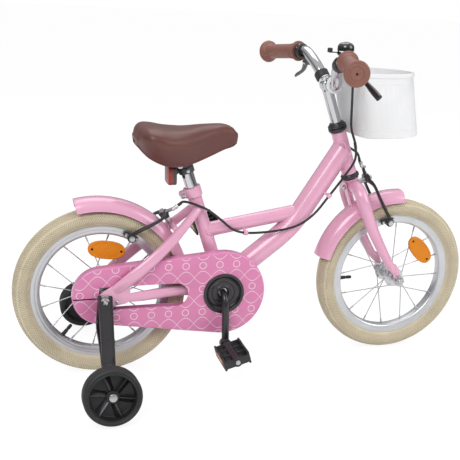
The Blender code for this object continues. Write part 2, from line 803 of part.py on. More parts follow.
def rear_bolt_line(back, forth):
    """Ends of the rear brake bolt, from behind the bridge to beyond the arms."""
    return REAR_PIVOT - back * REAR_BOLT, REAR_PIVOT + forth * REAR_BOLT


def make_headset(looks):
    inner = around(STEERER_RADIUS, 12)
    profile = [(inner, 0), (CUP_RADIUS - 0.003, 0), (CUP_RADIUS, 0.003),
               (CUP_RADIUS, 0.0085), (HEAD_TUBE_RADIUS + 0.001, 0.0115), (inner, 0.0115)]
    lower = lathe(profile, on_steering(HEAD_TUBE_LOW - GAP - 0.0115, 0), STEER_UP, 12)
    finish(lower, "headset_lower_cup", looks["black"], "frame")
    profile = [(inner, 0), (HEAD_TUBE_RADIUS + 0.001, 0), (CUP_RADIUS, 0.003), (CUP_RADIUS, 0.0085),
               (inner, 0.0085)]
    upper = lathe(profile, on_steering(HEAD_TUBE_TOP + GAP, 0), STEER_UP, 12)
    finish(upper, "headset_upper_cup", looks["black"], "frame")
    base = on_steering(HEAD_TUBE_TOP + 2 * GAP + 0.0085, 0)
    narrow = around(QUILL_RADIUS, 12)
    profile = [(inner, 0), (CUP_RADIUS - 0.001, 0), (CUP_RADIUS - 0.001, 0.005), (0.0150, 0.0105),
               (narrow, 0.0105), (narrow, 0.0065), (inner, 0.0065)]
    finish(lathe(profile, base, STEER_UP, 12), "headset_locknut", looks["black"], "fork")


def make_cups(looks):
    inner = CRANK_BAR_RADIUS + GAP
    for side, name, seat in ((NEAR, "bottom_bracket_cup_right", CASE_BACK + GAP),
                             (SIDE, "bottom_bracket_cup_left", SHELL_HALF + GAP)):
        profile = [(inner, SHELL_HALF - 0.013), (0.0172, SHELL_HALF - 0.013), (0.0172, seat),
                   (0.0210, seat), (0.0200, seat + 0.004), (inner, seat + 0.004)]
        finish(lathe(profile, CRANK_AXLE, side, 12), name, looks["black"], "frame")


def make_collar(looks):
    top = SEAT_TUBE_LENGTH - 0.002
    centre = on_seat(top - 0.008)
    collar = ring(centre, SEAT_UP, SEAT_TUBE_RADIUS + GAP, COLLAR_RADIUS, 0.010, 16)
    ears = block(centre + 0.0215 * SEAT_BACK, SEAT_BACK, SIDE, (0.013, 0.016, 0.015))
    bolt_at = centre + 0.0225 * SEAT_BACK
    bolt = rod(bolt_at + 0.013 * NEAR, bolt_at + 0.012 * SIDE, 0.0045, 8)
    slot = block(centre + 0.020 * SEAT_BACK, SEAT_BACK, SIDE, (0.014, 0.0024, 0.03))
    collar = cut(union([collar, ears]), [slot])
    finish(union([collar, bolt]), "seat_collar", looks["pink"], "frame")


def guard_section():
    wide, deep = GUARD_HALF_WIDTH, GUARD_DEPTH
    outer = [(-deep, wide), (-0.42 * deep, 0.93 * wide), (-0.07 * deep, 0.52 * wide)]
    inner = [(-deep, wide - GUARD_WALL), (-0.42 * deep - 0.0004, 0.93 * wide - GUARD_WALL),
             (-0.07 * deep - GUARD_WALL, 0.50 * wide)]
    outer = outer + [(r, -h) for r, h in reversed(outer)]
    inner = inner + [(r, -h) for r, h in reversed(inner)]
    return [(GUARD_RADIUS + r, h) for r, h in outer + inner[::-1]]


def make_guards(looks):
    centre = rear_guard_centre()
    guard = lathe(guard_section(), centre, NEAR, 16, X_AXIS, arc=(4, 103))
    bridge = guard_point(0, REAR_BRIDGE_ANGLE)
    out = unit(bridge - centre)
    boss = rod(bridge - 0.003 * out, bridge + (BRIDGE_LIFT - BRIDGE_RADIUS - GAP) * out, 0.005, 8)
    finish(union([guard, boss]), "rear_mudguard", looks["pink"], "frame")
    centre = FRONT_AXLE + vec(0, 0, 0.0065)
    guard = lathe(guard_section(), centre, NEAR, 12, X_AXIS, arc=(88, 165))
    tab_back = -0.0148 - GAP
    low = on_steering(WHEEL_RADIUS + 0.009, tab_back)
    tab = follow(
        [low, on_steering(WHEEL_RADIUS + 0.071, tab_back)],
        [(-0.009, 0), (0.009, 0), (0.009, 0.0018), (-0.009, 0.0018)], SIDE)
    tab = cut(tab, [bore(*front_bolt_line(0.06, 0.0), 0.003, 8)])
    finish(union([guard, tab]), "front_mudguard", looks["pink"], "fork")


def front_bolt_line(back, forth):
    return FRONT_PIVOT - back * STEER_AHEAD, FRONT_PIVOT + forth * STEER_AHEAD


# Chain case and drive

def case_centres():
    return from_rear(-0.003, 0, 0.005), CRANK_AXLE


def case_outline(inset, count=15):
    rear, front = case_centres()
    return belt(rear, CASE_REAR_RADIUS - inset, front, CASE_FRONT_RADIUS - inset, count)


def slot_outline(x_low, x_high, z_low, z_high):
    """A slot with a rounded front end, about the rear axle."""
    middle, radius = (z_low + z_high) / 2, (z_high - z_low) / 2
    line = [(x_low, z_high), (x_low, z_low)]
    for angle in range(-90, 91, 30):
        turn = math.radians(angle)
        line.append((x_high - radius + radius * math.cos(turn), middle + radius * math.sin(turn)))
    return [(REAR_AXLE[0] + a, REAR_AXLE[2] + b) for a, b in line]


def make_chain_case(looks):
    lip = CASE_BACK + GAP
    cover = upright(case_outline(0), lip, CASE_FACE)
    hollow = upright(case_outline(CASE_WALL), 0, CASE_FACE - CASE_WALL)
    slot = upright(slot_outline(-0.0095, 0.1695, -0.023, 0.025), 0.02, 0.08)
    slit = upright(slot_outline(-0.10, 0.0, 0.0005, 0.0035), 0.02, 0.08)
    eye = rod(CRANK_AXLE + 0.02 * NEAR, CRANK_AXLE + 0.08 * NEAR, CASE_CAP_RADIUS - 0.0022, 16)
    cover = cut(cover, [hollow, slot, slit, eye])
    finish(cover, "chain_case_cover", looks["magenta"], "frame")
    back = upright(case_outline(0), SHELL_HALF + GAP, CASE_BACK)
    opening = upright(slot_outline(-0.030, 0.2155, -0.024, 0.026), 0.02, 0.08)
    eye = rod(CRANK_AXLE + 0.02 * NEAR, CRANK_AXLE + 0.08 * NEAR, 0.0172 + GAP, 16)
    finish(cut(back, [opening, eye]), "chain_case_back", looks["magenta"], "frame")
    rim, face = CASE_CAP_RADIUS, CASE_FACE + GAP
    depth = CHAIN_LINE + SPROCKET_THICKNESS / 2 + 0.0010
    profile = [
        (CRANK_BAR_RADIUS + 0.0028, depth), (rim - 0.0080, depth), (rim - 0.0032, depth + 0.004),
        (rim - 0.0032, face), (rim, face), (rim - 0.0004, face + 0.0018), (rim - 0.0058, face + 0.0018),
        (rim - 0.0090, depth + 0.0016), (CRANK_BAR_RADIUS + 0.0028, depth + 0.0016),
    ]
    finish(lathe(profile, CRANK_AXLE, NEAR, 16), "chain_case_cap", looks["black"], "frame")


def make_chain(looks):
    rear, front = REAR_AXLE, CRANK_AXLE
    inner = belt(rear, SPROCKET_PITCH + 0.0030, front, RING_PITCH + 0.0030, 14)
    outer = belt(rear, SPROCKET_PITCH + 0.0048, front, RING_PITCH + 0.0048, 14)
    verts, faces, count = [], [], len(inner)
    for line, near in ((inner, 0.0398), (inner, 0.0472), (outer, 0.0472), (outer, 0.0398)):
        verts += [vec(a, -near, b) for a, b in line]
    for lap in range(4):
        for k in range(count):
            m = (k + 1) % count
            low, high = lap * count, (lap + 1) % 4 * count
            faces.append([low + k, low + m, high + m, high + k])
    finish(shape(verts, faces), "chain", looks["steel"], "frame")


def make_sprockets(looks):
    half = SPROCKET_THICKNESS / 2
    tip, root = 0.0024, -0.0040
    outline = gear(SPROCKET_TEETH, SPROCKET_PITCH, tip, root)
    wheel = prism(outline, REAR_AXLE, X_AXIS, UP, CHAIN_LINE - half, CHAIN_LINE + half)
    shell = rod(REAR_AXLE + 0.0365 * NEAR, REAR_AXLE + 0.0468 * NEAR, 0.0215, 12)
    hole = bore(REAR_AXLE + 0.02 * NEAR, REAR_AXLE + 0.07 * NEAR, 0.016, 12)
    finish(cut(union([wheel, shell]), [hole]), "rear_sprocket", looks["steel"], "sprocket")
    outline = gear(RING_TEETH, RING_PITCH, tip, root)
    wheel = prism(outline, CRANK_AXLE, X_AXIS, UP, CHAIN_LINE - half, CHAIN_LINE + half)
    hole = bore(CRANK_AXLE + 0.02 * NEAR, CRANK_AXLE + 0.07 * NEAR, CRANK_BAR_RADIUS, 10)
    finish(cut(wheel, [hole]), "chainring", looks["steel"], "crank")


def crank_arm(sign):
    """The bent half of the bar on one side. The near half hangs down and the far half stands up."""
    run = [(0.047, 0.0), (0.057, 0.001), (0.0640, 0.0065), (0.0685, 0.0165), (0.0712, 0.030),
           (0.0740, 0.060), (0.0775, CRANK_LENGTH)]
    return [CRANK_AXLE + sign * (side * SIDE + up * UP) for side, up in run]


def make_crank(looks):
    path = crank_arm(-1)[::-1] + crank_arm(1)
    pieces = [sweep(path, CRANK_BAR_RADIUS, 8, X_AXIS)]
    for sign in (-1, 1):
        eye = CRANK_AXLE + sign * (0.0775 * SIDE + CRANK_LENGTH * UP)
        out = sign * SIDE
        pieces.append(rod(eye - 0.0075 * out, eye + 0.0075 * out, 0.0115, 10))
        pieces.append(rod(eye + 0.006 * out, eye + 0.012 * out, 0.0075, 8))
        pieces.append(rod(eye + 0.006 * out, eye + (0.0165 + PEDAL_WIDTH) * out, SPINDLE_RADIUS, 8))
    finish(union(pieces), "crank", looks["black"], "crank")


def pedal_axis(sign):
    return CRANK_AXLE + sign * (PEDAL_MIDDLE * SIDE + CRANK_LENGTH * UP)


def make_pedal(sign, name, looks):
    centre = pedal_axis(sign)
    tilt = math.radians(PEDAL_TILT)
    ahead = vec(math.cos(tilt), 0, math.sin(tilt))
    thick = vec(-math.sin(tilt), 0, math.cos(tilt))
    length, width, half = PEDAL_LENGTH / 2, PEDAL_WIDTH / 2, PEDAL_THICKNESS / 2
    chamfer = 0.008
    outline = [(-length + chamfer, -width), (length - chamfer, -width), (length, -width + chamfer),
               (length, width - chamfer), (length - chamfer, width), (-length + chamfer, width),
               (-length, width - chamfer), (-length, -width + chamfer)]
    cage = prism(outline, centre, ahead, SIDE, -half, half)
    cutters = [bore(centre - 0.06 * SIDE, centre + 0.06 * SIDE, SPINDLE_RADIUS, 8)]
    for end in (-1, 1):
        hole = [(end * 0.0105, -width + 0.008), (end * (length - 0.005), -width + 0.012),
                (end * (length - 0.005), -0.004), (end * 0.0105, -0.010)]
        cutters.append(prism(hole, centre, ahead, SIDE, -0.03, 0.03))
        hole = [(a, -b) for a, b in hole]
        cutters.append(prism(hole, centre, ahead, SIDE, -0.03, 0.03))
        for step in (-1, 0, 1):
            middle = centre + end * length * ahead + step * 0.024 * SIDE
            cutters.append(block(middle, SIDE, thick, (0.017, 0.012, 0.020)))
    finish(cut(cage, cutters), name, looks["resin"], name)


# Fork, brakes and cockpit

def blade_path(side):
    spread = BLADE_SPREAD * side
    crown = WHEEL_RADIUS + 0.0575
    return [
        on_steering(crown, 0.0, 0.002 * side),
        on_steering(crown - 0.001, 0.0, 0.40 * spread),
        on_steering(crown - 0.007, -0.0005, 0.74 * spread),
        on_steering(crown - 0.024, -0.002, 0.96 * spread),
        on_steering(0.84 * WHEEL_RADIUS, 0.0015, spread),
        on_steering(0.45 * WHEEL_RADIUS, 0.0125, 1.02 * spread),
        on_steering(0.21 * WHEEL_RADIUS, 0.0225, 1.02 * spread),
        on_steering(0.115 * WHEEL_RADIUS, FORK_RAKE - 0.004, spread),
    ]


def make_fork(looks):
    crown = WHEEL_RADIUS + 0.0575
    seat = HEAD_TUBE_LOW - 2 * GAP - 0.0115
    pieces = [
        rod(on_steering(crown, 0), on_steering(HEAD_TUBE_TOP + 0.0145, 0), STEERER_RADIUS, 14),
        rod(on_steering(crown - 0.012, 0), on_steering(seat, 0), 0.0145, 14),
    ]
    sizes = [0.0142, 0.0142, 0.0141, 0.0138, 0.0125, 0.0105, 0.0085, 0.0042]
    for side in (-1, 1):
        pieces.append(sweep(blade_path(side), sizes, 10, STEER_AHEAD))
        near, far = -side * FRONT_HALF_WIDTH, -side * (FRONT_HALF_WIDTH + 0.005)
        outline = []
        for k in range(10):
            turn = math.tau * k / 10
            outline.append((0.011 * math.cos(turn), 0.0115 * math.sin(turn) + 0.001))
        pieces.append(prism(outline, FRONT_AXLE, X_AXIS, UP, near, far))
        neck = [(-0.0065, 0.0), (0.0065, 0.0), (0.0045, 0.036), (-0.0095, 0.036)]
        pieces.append(prism(neck, FRONT_AXLE, STEER_AHEAD, STEER_UP, near, far))
    fork = union(pieces)
    cutters = [
        bore(on_steering(HEAD_TUBE_LOW - 0.021, 0), on_steering(HEAD_TUBE_TOP + 0.04, 0),
             QUILL_RADIUS, 14),
        bore(*front_bolt_line(0.06, 0.02), 0.003, 8),
        bore(FRONT_AXLE + 0.08 * NEAR, FRONT_AXLE + 0.08 * SIDE, AXLE_RADIUS, 10),
    ]
    finish(cut(fork, cutters), "fork", looks["pink"], "fork")


def make_arm(pivot, axis, reach, pad_at, axle, side, layer, cable_side, lift, name, looks):
    """One arm of a side pull brake, from its cable end past the bolt to its pad."""
    drop, ahead = np.dot(pad_at - pivot, reach), np.dot(pad_at - pivot, axis)
    base = 0.0005 + layer * (ARM_THICKNESS + GAP)
    middle = base + ARM_THICKNESS / 2

    def at(down, beside, out):
        return pivot + down * reach + beside * SIDE + out * axis

    wide = GUARD_HALF_WIDTH + 0.0075
    pad_gap = RIM_WIDTH / 2 + PAD_CLEARANCE
    shell = rod(at(0, 0, base), at(0, 0, base + ARM_THICKNESS), 0.0095, 8)
    line = [at(0.001, 0, middle), at(0.001, 0.55 * wide * side, middle),
            at(0.008, 0.92 * wide * side, middle + 0.10 * ahead),
            at(0.45 * drop, wide * side, middle + 0.40 * ahead),
            at(0.75 * drop, 0.97 * wide * side, middle + 0.72 * ahead),
            at(drop - 0.006, 0.84 * wide * side, ahead + 0.004)]
    half = ARM_THICKNESS / 2
    sizes = [(half, 0.0065), (half, 0.0062), (half, 0.0055), (0.0030, 0.0050), (0.0032, 0.0048),
             (0.0035, 0.0055)]
    arm = sweep(line, sizes, 6, axis)
    lever = [at(-0.001, 0, middle), at(-0.5 * lift - 0.002, 0.6 * cable_side, middle),
             at(-lift, cable_side, middle)]
    horn = sweep(lever, [(half, 0.006), (half, 0.005), (half, 0.0055)], 6, axis)
    pad_centre = at(drop, (pad_gap + 0.005) * side, ahead)
    ray = unit(pad_at - axle)
    pad = block(pad_centre, np.cross(SIDE, ray), ray, (0.030, 0.009, 0.0095))
    post = rod(at(drop, (pad_gap + 0.004) * side, ahead), at(drop, (0.84 * wide + 0.008) * side, ahead),
               0.0035, 8)
    ear = rod(at(drop, (0.84 * wide - 0.003) * side, ahead), at(drop, (0.84 * wide + 0.004) * side, ahead),
              0.0078, 8)
    thick = 0.0042 if layer else half
    barrel = rod(at(-lift + 0.006, cable_side, middle), at(-lift - 0.008, cable_side, middle), thick, 8)
    made = union([shell, arm, horn, pad, post, ear, barrel])
    finish(cut(made, [bore(at(0, 0, -0.01), at(0, 0, 0.03), 0.003, 8)]), name, looks["brake"], name)


def make_brakes(looks):
    front = (FRONT_PIVOT, STEER_AHEAD, -STEER_UP, FRONT_PAD, FRONT_AXLE)
    make_arm(*front, -1, 0, 0.026, 0.001, "front_brake_arm_right", looks)
    make_arm(*front, 1, 1, 0.026, 0.022, "front_brake_arm_left", looks)
    rear = (REAR_PIVOT, REAR_BOLT, REAR_REACH, REAR_PAD, REAR_AXLE)
    make_arm(*rear, 1, 0, -0.022, 0.001, "rear_brake_arm_left", looks)
    make_arm(*rear, -1, 1, -0.022, 0.024, "rear_brake_arm_right", looks)
    outer = 2 * (ARM_THICKNESS + GAP) + 0.0005
    thin = 0.003
    bolt = stepped(FRONT_PIVOT, STEER_AHEAD, [
        (0.0055, -0.0530), (0.0055, -0.0472), (thin, -0.0472), (thin, -0.0152), (0.0060, -0.0152),
        (0.0060, 0.0002), (thin, 0.0002), (thin, outer), (0.0055, outer), (0.0055, outer + 0.005)])
    finish(bolt, "front_brake_bolt", looks["steel"], "fork")
    seat = BRIDGE_RADIUS + GAP
    bolt = stepped(REAR_PIVOT, REAR_BOLT, [
        (0.0055, -BOLT_REACH - seat - 0.005), (0.0055, -BOLT_REACH - seat), (thin, -BOLT_REACH - seat),
        (thin, -BOLT_REACH + seat), (0.0060, -BOLT_REACH + seat), (0.0060, 0.0002), (thin, 0.0002),
        (thin, outer), (0.0055, outer), (0.0055, outer + 0.005)])
    finish(bolt, "rear_brake_bolt", looks["steel"], "frame")


def make_stem(looks):
    clamp = on_steering(CLAMP_ALONG, CLAMP_AHEAD)
    pieces = [
        rod(on_steering(HEAD_TUBE_LOW + 0.012, 0), on_steering(CLAMP_ALONG + 0.010, 0), QUILL_RADIUS, 14),
        rod(clamp + 0.0165 * NEAR, clamp + 0.0165 * SIDE, BAR_RADIUS + 0.0052, 16),
        rod(on_steering(CLAMP_ALONG - 0.005, 0), on_steering(CLAMP_ALONG + 0.0185, 0), 0.0085, 12),
    ]
    hole = bore(clamp + 0.03 * NEAR, clamp + 0.03 * SIDE, BAR_RADIUS, 14)
    finish(cut(union(pieces), [hole]), "stem", looks["chrome"], "handlebar")


def bar_side(side):
    """Half of the handlebar from the stem clamp to the grip end."""
    clamp = on_steering(CLAMP_ALONG, CLAMP_AHEAD)
    run = [(0.0, 0.0250, 0.0), (-0.0005, 0.0310, 0.0028), (-0.0025, 0.0370, 0.0095),
           (-0.0060, 0.0440, 0.0195), (-0.0100, 0.0540, 0.0300), (-0.0135, 0.0680, 0.0400),
           (-0.0155, 0.0830, 0.0478), (-0.0168, 0.0985, 0.0535), (-0.0178, 0.1120, 0.0560)]
    points = [clamp + vec(a, b * side, c) for a, b, c in run]
    return points + [bar_end(side)]


def bar_end(side):
    clamp = on_steering(CLAMP_ALONG, CLAMP_AHEAD)
    return clamp + vec(-0.0545, BAR_HALF_WIDTH * side, 0.0436)


def grip_line(side):
    """Start point of the straight grip part and its direction outward."""
    points = bar_side(side)
    return points[-2], unit(points[-1] - points[-2])


def make_bar(looks):
    path = bar_side(-1)[::-1] + bar_side(1)
    finish(sweep(path, BAR_RADIUS, 12, X_AXIS), "handlebar", looks["chrome"], "handlebar")
    for side, name in ((-1, "grip_right"), (1, "grip_left")):
        start, out = grip_line(side)
        inner = around(BAR_RADIUS, 12)
        end = np.linalg.norm(bar_end(side) - start)
        low = end - GRIP_LENGTH
        profile = [
            (inner, low), (0.0200, low), (0.0210, low + 0.003), (0.0195, low + 0.008),
            (GRIP_RADIUS, low + 0.013), (GRIP_RADIUS, end - 0.012), (0.0225, end - 0.006),
            (0.0235, end - 0.001), (0.0215, end + 0.0035), (0.004, end + 0.0035),
            (0.004, end + GAP), (inner, end + GAP),
        ]
        finish(lathe(profile, start, out, 12, UP), name, looks["brown"], "handlebar")


def lever_frame(side):
    """Clamp centre on the bar, outward direction, reach direction and hinge direction."""
    start, out = grip_line(side)
    roll = math.radians(LEVER_ROLL_RIGHT if side < 0 else LEVER_ROLL_LEFT)
    ahead = unit(X_AXIS - np.dot(X_AXIS, out) * out)
    over = np.cross(out, ahead) * side
    over = over if over[2] > 0 else -over
    reach = math.cos(roll) * ahead + math.sin(roll) * over
    end = np.linalg.norm(bar_end(side) - start)
    centre = start + (end - GRIP_LENGTH - 0.0085) * out
    return centre, out, reach, unit(np.cross(out, reach))


def lever_pivot(side):
    centre, out, reach, hinge = lever_frame(side)
    return centre + 0.010 * out + 0.0275 * reach


def make_lever_set(side, word, looks):
    centre, out, reach, hinge = lever_frame(side)

    def at(a, b, c=0.0):
        return centre + a * out + b * reach + c * hinge

    pivot = lever_pivot(side)
    arm = prism([(-0.006, 0.006), (0.006, 0.006), (0.0062, 0.0226), (0.015, 0.0236), (0.015, 0.034),
                 (-0.010, 0.034), (-0.016, 0.024)], centre, out, reach, -0.0065, 0.0065)
    barrel = rod(at(-0.006, 0.0275), at(-0.024, 0.0275), 0.0042, 10)
    bracket = union([arm, rod(at(-0.0065, 0), at(0.0065, 0), BAR_RADIUS + 0.0042, 14), barrel])
    mouth = prism([(-0.0035, 0.0195), (0.03, 0.0195), (0.03, 0.040), (-0.0035, 0.040)],
                  centre, out, reach, -0.0036, 0.0036)
    bracket = cut(bracket, [mouth, bore(at(-0.02, 0), at(0.02, 0), BAR_RADIUS, 14)])
    pin = rod(pivot - 0.0075 * hinge, pivot + 0.0075 * hinge, 0.0022, 8)
    finish(union([bracket, pin]), "lever_bracket_" + word, looks["black"], "handlebar")
    line = [at(0.004, 0.0262), at(0.014, 0.0300), at(0.026, 0.0405), at(0.045, 0.0535),
            at(0.070, 0.0640), at(0.088, 0.0700)]
    sizes = [(0.0033, 0.0052), (0.0033, 0.0058), (0.0042, 0.0052), (0.0056, 0.0044),
             (0.0062, 0.0040), (0.0056, 0.0036)]
    blade = sweep(line, sizes, 8, hinge)
    blade = cut(blade, [bore(pivot - 0.01 * hinge, pivot + 0.01 * hinge, 0.0022, 8)])
    finish(blade, "brake_lever_" + word, looks["black"], "brake_lever_" + word)


def bell_frame():
    """Point of the near bar half under the bell, and the bar's direction there."""
    points = bar_side(-1)
    return (points[5] + points[6]) / 2, unit(points[6] - points[5])


def bell_hinge():
    centre, along = bell_frame()
    return centre + vec(0.010, 0, 0.0215) + vec(-0.0125, 0.006, 0.0)


def make_bell(looks):
    centre, along = bell_frame()
    top = centre + vec(0.010, 0, 0.0)
    pieces = [
        rod(centre - 0.006 * along, centre + 0.006 * along, BAR_RADIUS + 0.0035, 14),
        rod(top + 0.009 * UP, top + 0.0205 * UP, 0.0075, 10),
        rod(top + 0.0175 * UP, top + 0.0215 * UP, 0.0150, 14),
        rod(top + 0.0200 * UP, top + 0.0270 * UP, 0.0035, 8),
    ]
    hole = bore(centre - 0.02 * along, centre + 0.02 * along, BAR_RADIUS, 14)
    hinge = bell_hinge()
    pin = rod(hinge - 0.001 * UP, hinge + 0.0042 * UP, 0.0018, 8)
    finish(union([cut(union(pieces), [hole]), pin]), "bell_base", looks["black"], "handlebar")
    radius = BELL_RADIUS
    low = 0.0262
    profile = [(0, low + 0.0165), (0.007, low + 0.0160), (0.0130, low + 0.0130), (radius, low + 0.0065),
               (radius, low), (radius - 0.0014, low), (radius - 0.0014, low + 0.0060),
               (0.0120, low + 0.0115), (0.0065, low + 0.0143), (0, low + 0.0148)]
    dome = lathe(profile, top, UP, 14)
    neck = rod(top + (0.0270 + GAP) * UP, top + (low + 0.0155) * UP, 0.003, 8)
    finish(union([dome, neck]), "bell_dome", looks["bell"], "handlebar")
    base = hinge + 0.0006 * UP
    lever = follow([base + vec(0.0055, 0, 0.0009), base + vec(-0.018, 0, 0.0009)],
                   [(-0.0035, -0.0009), (0.0035, -0.0009), (0.0035, 0.0009), (-0.0035, 0.0009)], SIDE)
    pad = rod(base + vec(-0.0175, 0, 0), base + vec(-0.0175, 0, 0.0085), 0.0050, 8)
    hole = bore(hinge - 0.01 * UP, hinge + 0.01 * UP, 0.0018, 8)
    finish(cut(union([lever, pad]), [hole]), "bell_lever", looks["black"], "bell_lever")


def basket_ring(height, inset):
    """A rounded rectangle round the basket at a height above its floor."""
    share = height / BASKET_HEIGHT
    centre = BASKET_AT + vec(-BASKET_LEAN * share, 0, height)
    wide = BASKET_WIDTH / 2 * (0.92 + 0.08 * share) - inset
    line = []
    for k in range(24):
        turn = math.tau * (k + 0.5) / 24
        c, s = math.cos(turn), math.sin(turn)
        power, long = (0.90, BASKET_FRONT - inset) if c > 0 else (0.5, BASKET_REAR - inset)
        line.append(centre + vec(long * math.copysign(abs(c) ** power, c),
                                 wide * math.copysign(abs(s) ** power, s), 0))
    return line


def basket_shell():
    rows = [basket_ring(0, 0), basket_ring(BASKET_HEIGHT - 0.008, 0),
            basket_ring(BASKET_HEIGHT - 0.008, -0.0022), basket_ring(BASKET_HEIGHT, -0.0022),
            basket_ring(BASKET_HEIGHT, BASKET_WALL), basket_ring(BASKET_WALL, BASKET_WALL),
            basket_ring(BASKET_WALL, BASKET_WALL + BASKET_PANEL_INSET),
            basket_ring(BASKET_WALL + BASKET_PANEL, BASKET_WALL + BASKET_PANEL_INSET)]
    verts = [point for row in rows for point in row]
    count = len(rows[0])
    faces = [list(range(count)), list(range(len(verts) - count, len(verts)))]
    for i in range(len(rows) - 1):
        for k in range(count):
            m = (k + 1) % count
            faces.append([i * count + k, i * count + m, (i + 1) * count + m, (i + 1) * count + k])
    return shape(verts, faces)


def make_basket(looks):
    pieces = [basket_shell()]
    cutters = []
    for side in (-1, 1):
        centre = on_steering(CLAMP_ALONG, CLAMP_AHEAD, 0.0204 * side)
        behind = 0.0015 - BASKET_REAR - 0.80 * BASKET_LEAN
        rear = BASKET_AT + vec(behind, 0.0245 * side, 0.80 * BASKET_HEIGHT)
        pieces.append(rod(centre - 0.0033 * SIDE, centre + 0.0033 * SIDE, BAR_RADIUS + 0.0055, 14))
        pieces.append(rod(centre + 0.014 * unit(rear - centre), rear, 0.0034, 8))
        cutters.append(bore(centre - 0.0045 * SIDE, centre + 0.0045 * SIDE, BAR_RADIUS + 2 * GAP, 12))
    finish(cut(union(pieces), cutters), "basket", looks["white"], "handlebar")


# Seat

SADDLE_STATIONS = (
    (0.000, 0.42, -0.020, -0.034), (0.030, 0.78, -0.007, -0.045), (0.090, 0.955, 0.000, -0.056),
    (0.180, 1.00, -0.001, -0.066), (0.280, 0.97, -0.005, -0.073), (0.400, 0.86, -0.0065, -0.074),
    (0.520, 0.69, -0.0055, -0.071), (0.640, 0.51, -0.002, -0.064), (0.760, 0.385, 0.000, -0.055),
    (0.870, 0.315, 0.001, -0.046), (0.950, 0.265, -0.005, -0.040), (1.000, 0.13, -0.017, -0.034),
)
SECTION = ((0.66, 0.0), (0.86, 0.28), (1.0, 0.60), (0.96, 0.80), (0.72, 0.955), (0.34, 1.0), (0.0, 0.985))


def saddle_rows(inset, low_inset):
    """Cross sections of the saddle skin, drawn in at the skirt and crowned on top."""
    rows = []
    for along, width, top, low in SADDLE_STATIONS:
        reach = along * SADDLE_LENGTH
        reach = min(max(reach, inset), SADDLE_LENGTH - inset)
        half = max(SADDLE_WIDTH / 2 * width - inset, 0.004)
        high = SADDLE_TOP + top - inset
        base = SADDLE_TOP + low + low_inset
        base = min(base, high - 0.006)
        row = [(a * half, base + b * (high - base)) for a, b in SECTION]
        row = row + [(-a, b) for a, b in reversed(row[:-1])]
        rows.append([vec(REAR_AXLE[0] + 0.0725 + reach, a, b + GROWTH) for a, b in row])
    return rows


def saddle_solid(rows):
    """Skins the sections with triangles that are mirrored side to side, so nested skins stay parallel."""
    count = len(rows[0])
    verts = [point for row in rows for point in row]
    faces = [list(range(count)), list(range(len(verts) - count, len(verts)))]
    for i in range(len(rows) - 1):
        for k in range(count):
            m = (k + 1) % count
            a, b, c, d = i * count + k, i * count + m, (i + 1) * count + m, (i + 1) * count + k
            faces += [[a, b, c], [a, c, d]] if k < count // 2 else [[a, b, d], [b, c, d]]
    return shape(verts, faces)


def make_saddle(looks):
    cushion = saddle_solid(saddle_rows(0.0, 0.0))
    hollow = saddle_solid(saddle_rows(0.010, -0.012))
    finish(cut(cushion, [hollow]), "saddle_cushion", looks["brown"], "seat")
    base = saddle_solid(saddle_rows(0.0104, -0.0115))
    below = saddle_solid(saddle_rows(0.0135, -0.030))
    skirt = [(REAR_AXLE[0] + 0.0725 + along * SADDLE_LENGTH, SADDLE_TOP + GROWTH + low + 0.004)
             for along, width, top, low in SADDLE_STATIONS]
    floor = SADDLE_TOP - 0.15
    skirt = [(skirt[0][0] - 0.05, floor), (skirt[0][0] - 0.05, skirt[0][1])] + skirt
    skirt += [(skirt[-1][0] + 0.05, skirt[-1][1]), (skirt[-1][0] + 0.05, floor)]
    base = cut(base, [below, upright(skirt, -0.1, 0.1)])
    boss = rod(on_seat(0.290), on_seat(0.3295), 0.0175, 12)
    finish(union([base, boss]), "saddle_base", looks["black"], "seat")


def make_seat(looks):
    finish(rod(on_seat(0.110), on_seat(0.2893), POST_RADIUS, 14), "seat_post", looks["chrome"], "seat")
    clamp = ring(on_seat(0.2785), SEAT_UP, POST_RADIUS + GAP, 0.0178, 0.0105, 14)
    bolt_at = on_seat(0.2765, 0.012)
    bolt = rod(bolt_at + 0.022 * NEAR, bolt_at + 0.022 * SIDE, 0.0045, 8)
    keep = bore(on_seat(0.26), on_seat(0.2995), POST_RADIUS, 14)
    clamp = cut(union([clamp, bolt]), [keep])
    finish(clamp, "saddle_clamp", looks["black"], "seat")
    centre = on_seat(0.2610)
    strap = ring(centre, SEAT_UP, POST_RADIUS + GAP, POST_RADIUS + 0.0035, 0.0060, 14)
    rear = REAR_AXLE + vec(0.1345, 0, 0)
    face = vec(rear[0], 0, centre[2] - 0.0095)
    arm = rod(face + vec(0.012, 0, 0), centre, 0.005, 8)
    lens = [(0.0, -0.0225), (0.0165, -0.020), (0.0165, 0.020), (0.0, 0.0225)]
    plate = prism(lens, face, X_AXIS, SIDE, -0.019, 0.019)
    made = union([strap, arm, plate])
    keep = bore(on_seat(0.235), on_seat(0.285), POST_RADIUS, 14)
    finish(cut(made, [keep]), "rear_reflector", looks["red"], "seat")


# Training wheels

def trainer_hub(side):
    """Centre of a training wheel that stands on the ground and leans in at the top, and its axis."""
    lean = math.radians(TRAINER_LEAN)
    out = vec(0, side * math.cos(lean), math.sin(lean))
    height = TRAINER_RADIUS * math.cos(lean) + TRAINER_WIDTH / 2 * math.sin(lean)
    return vec(REAR_AXLE[0] - 0.012, TRAINER_OFFSET * side, height), out


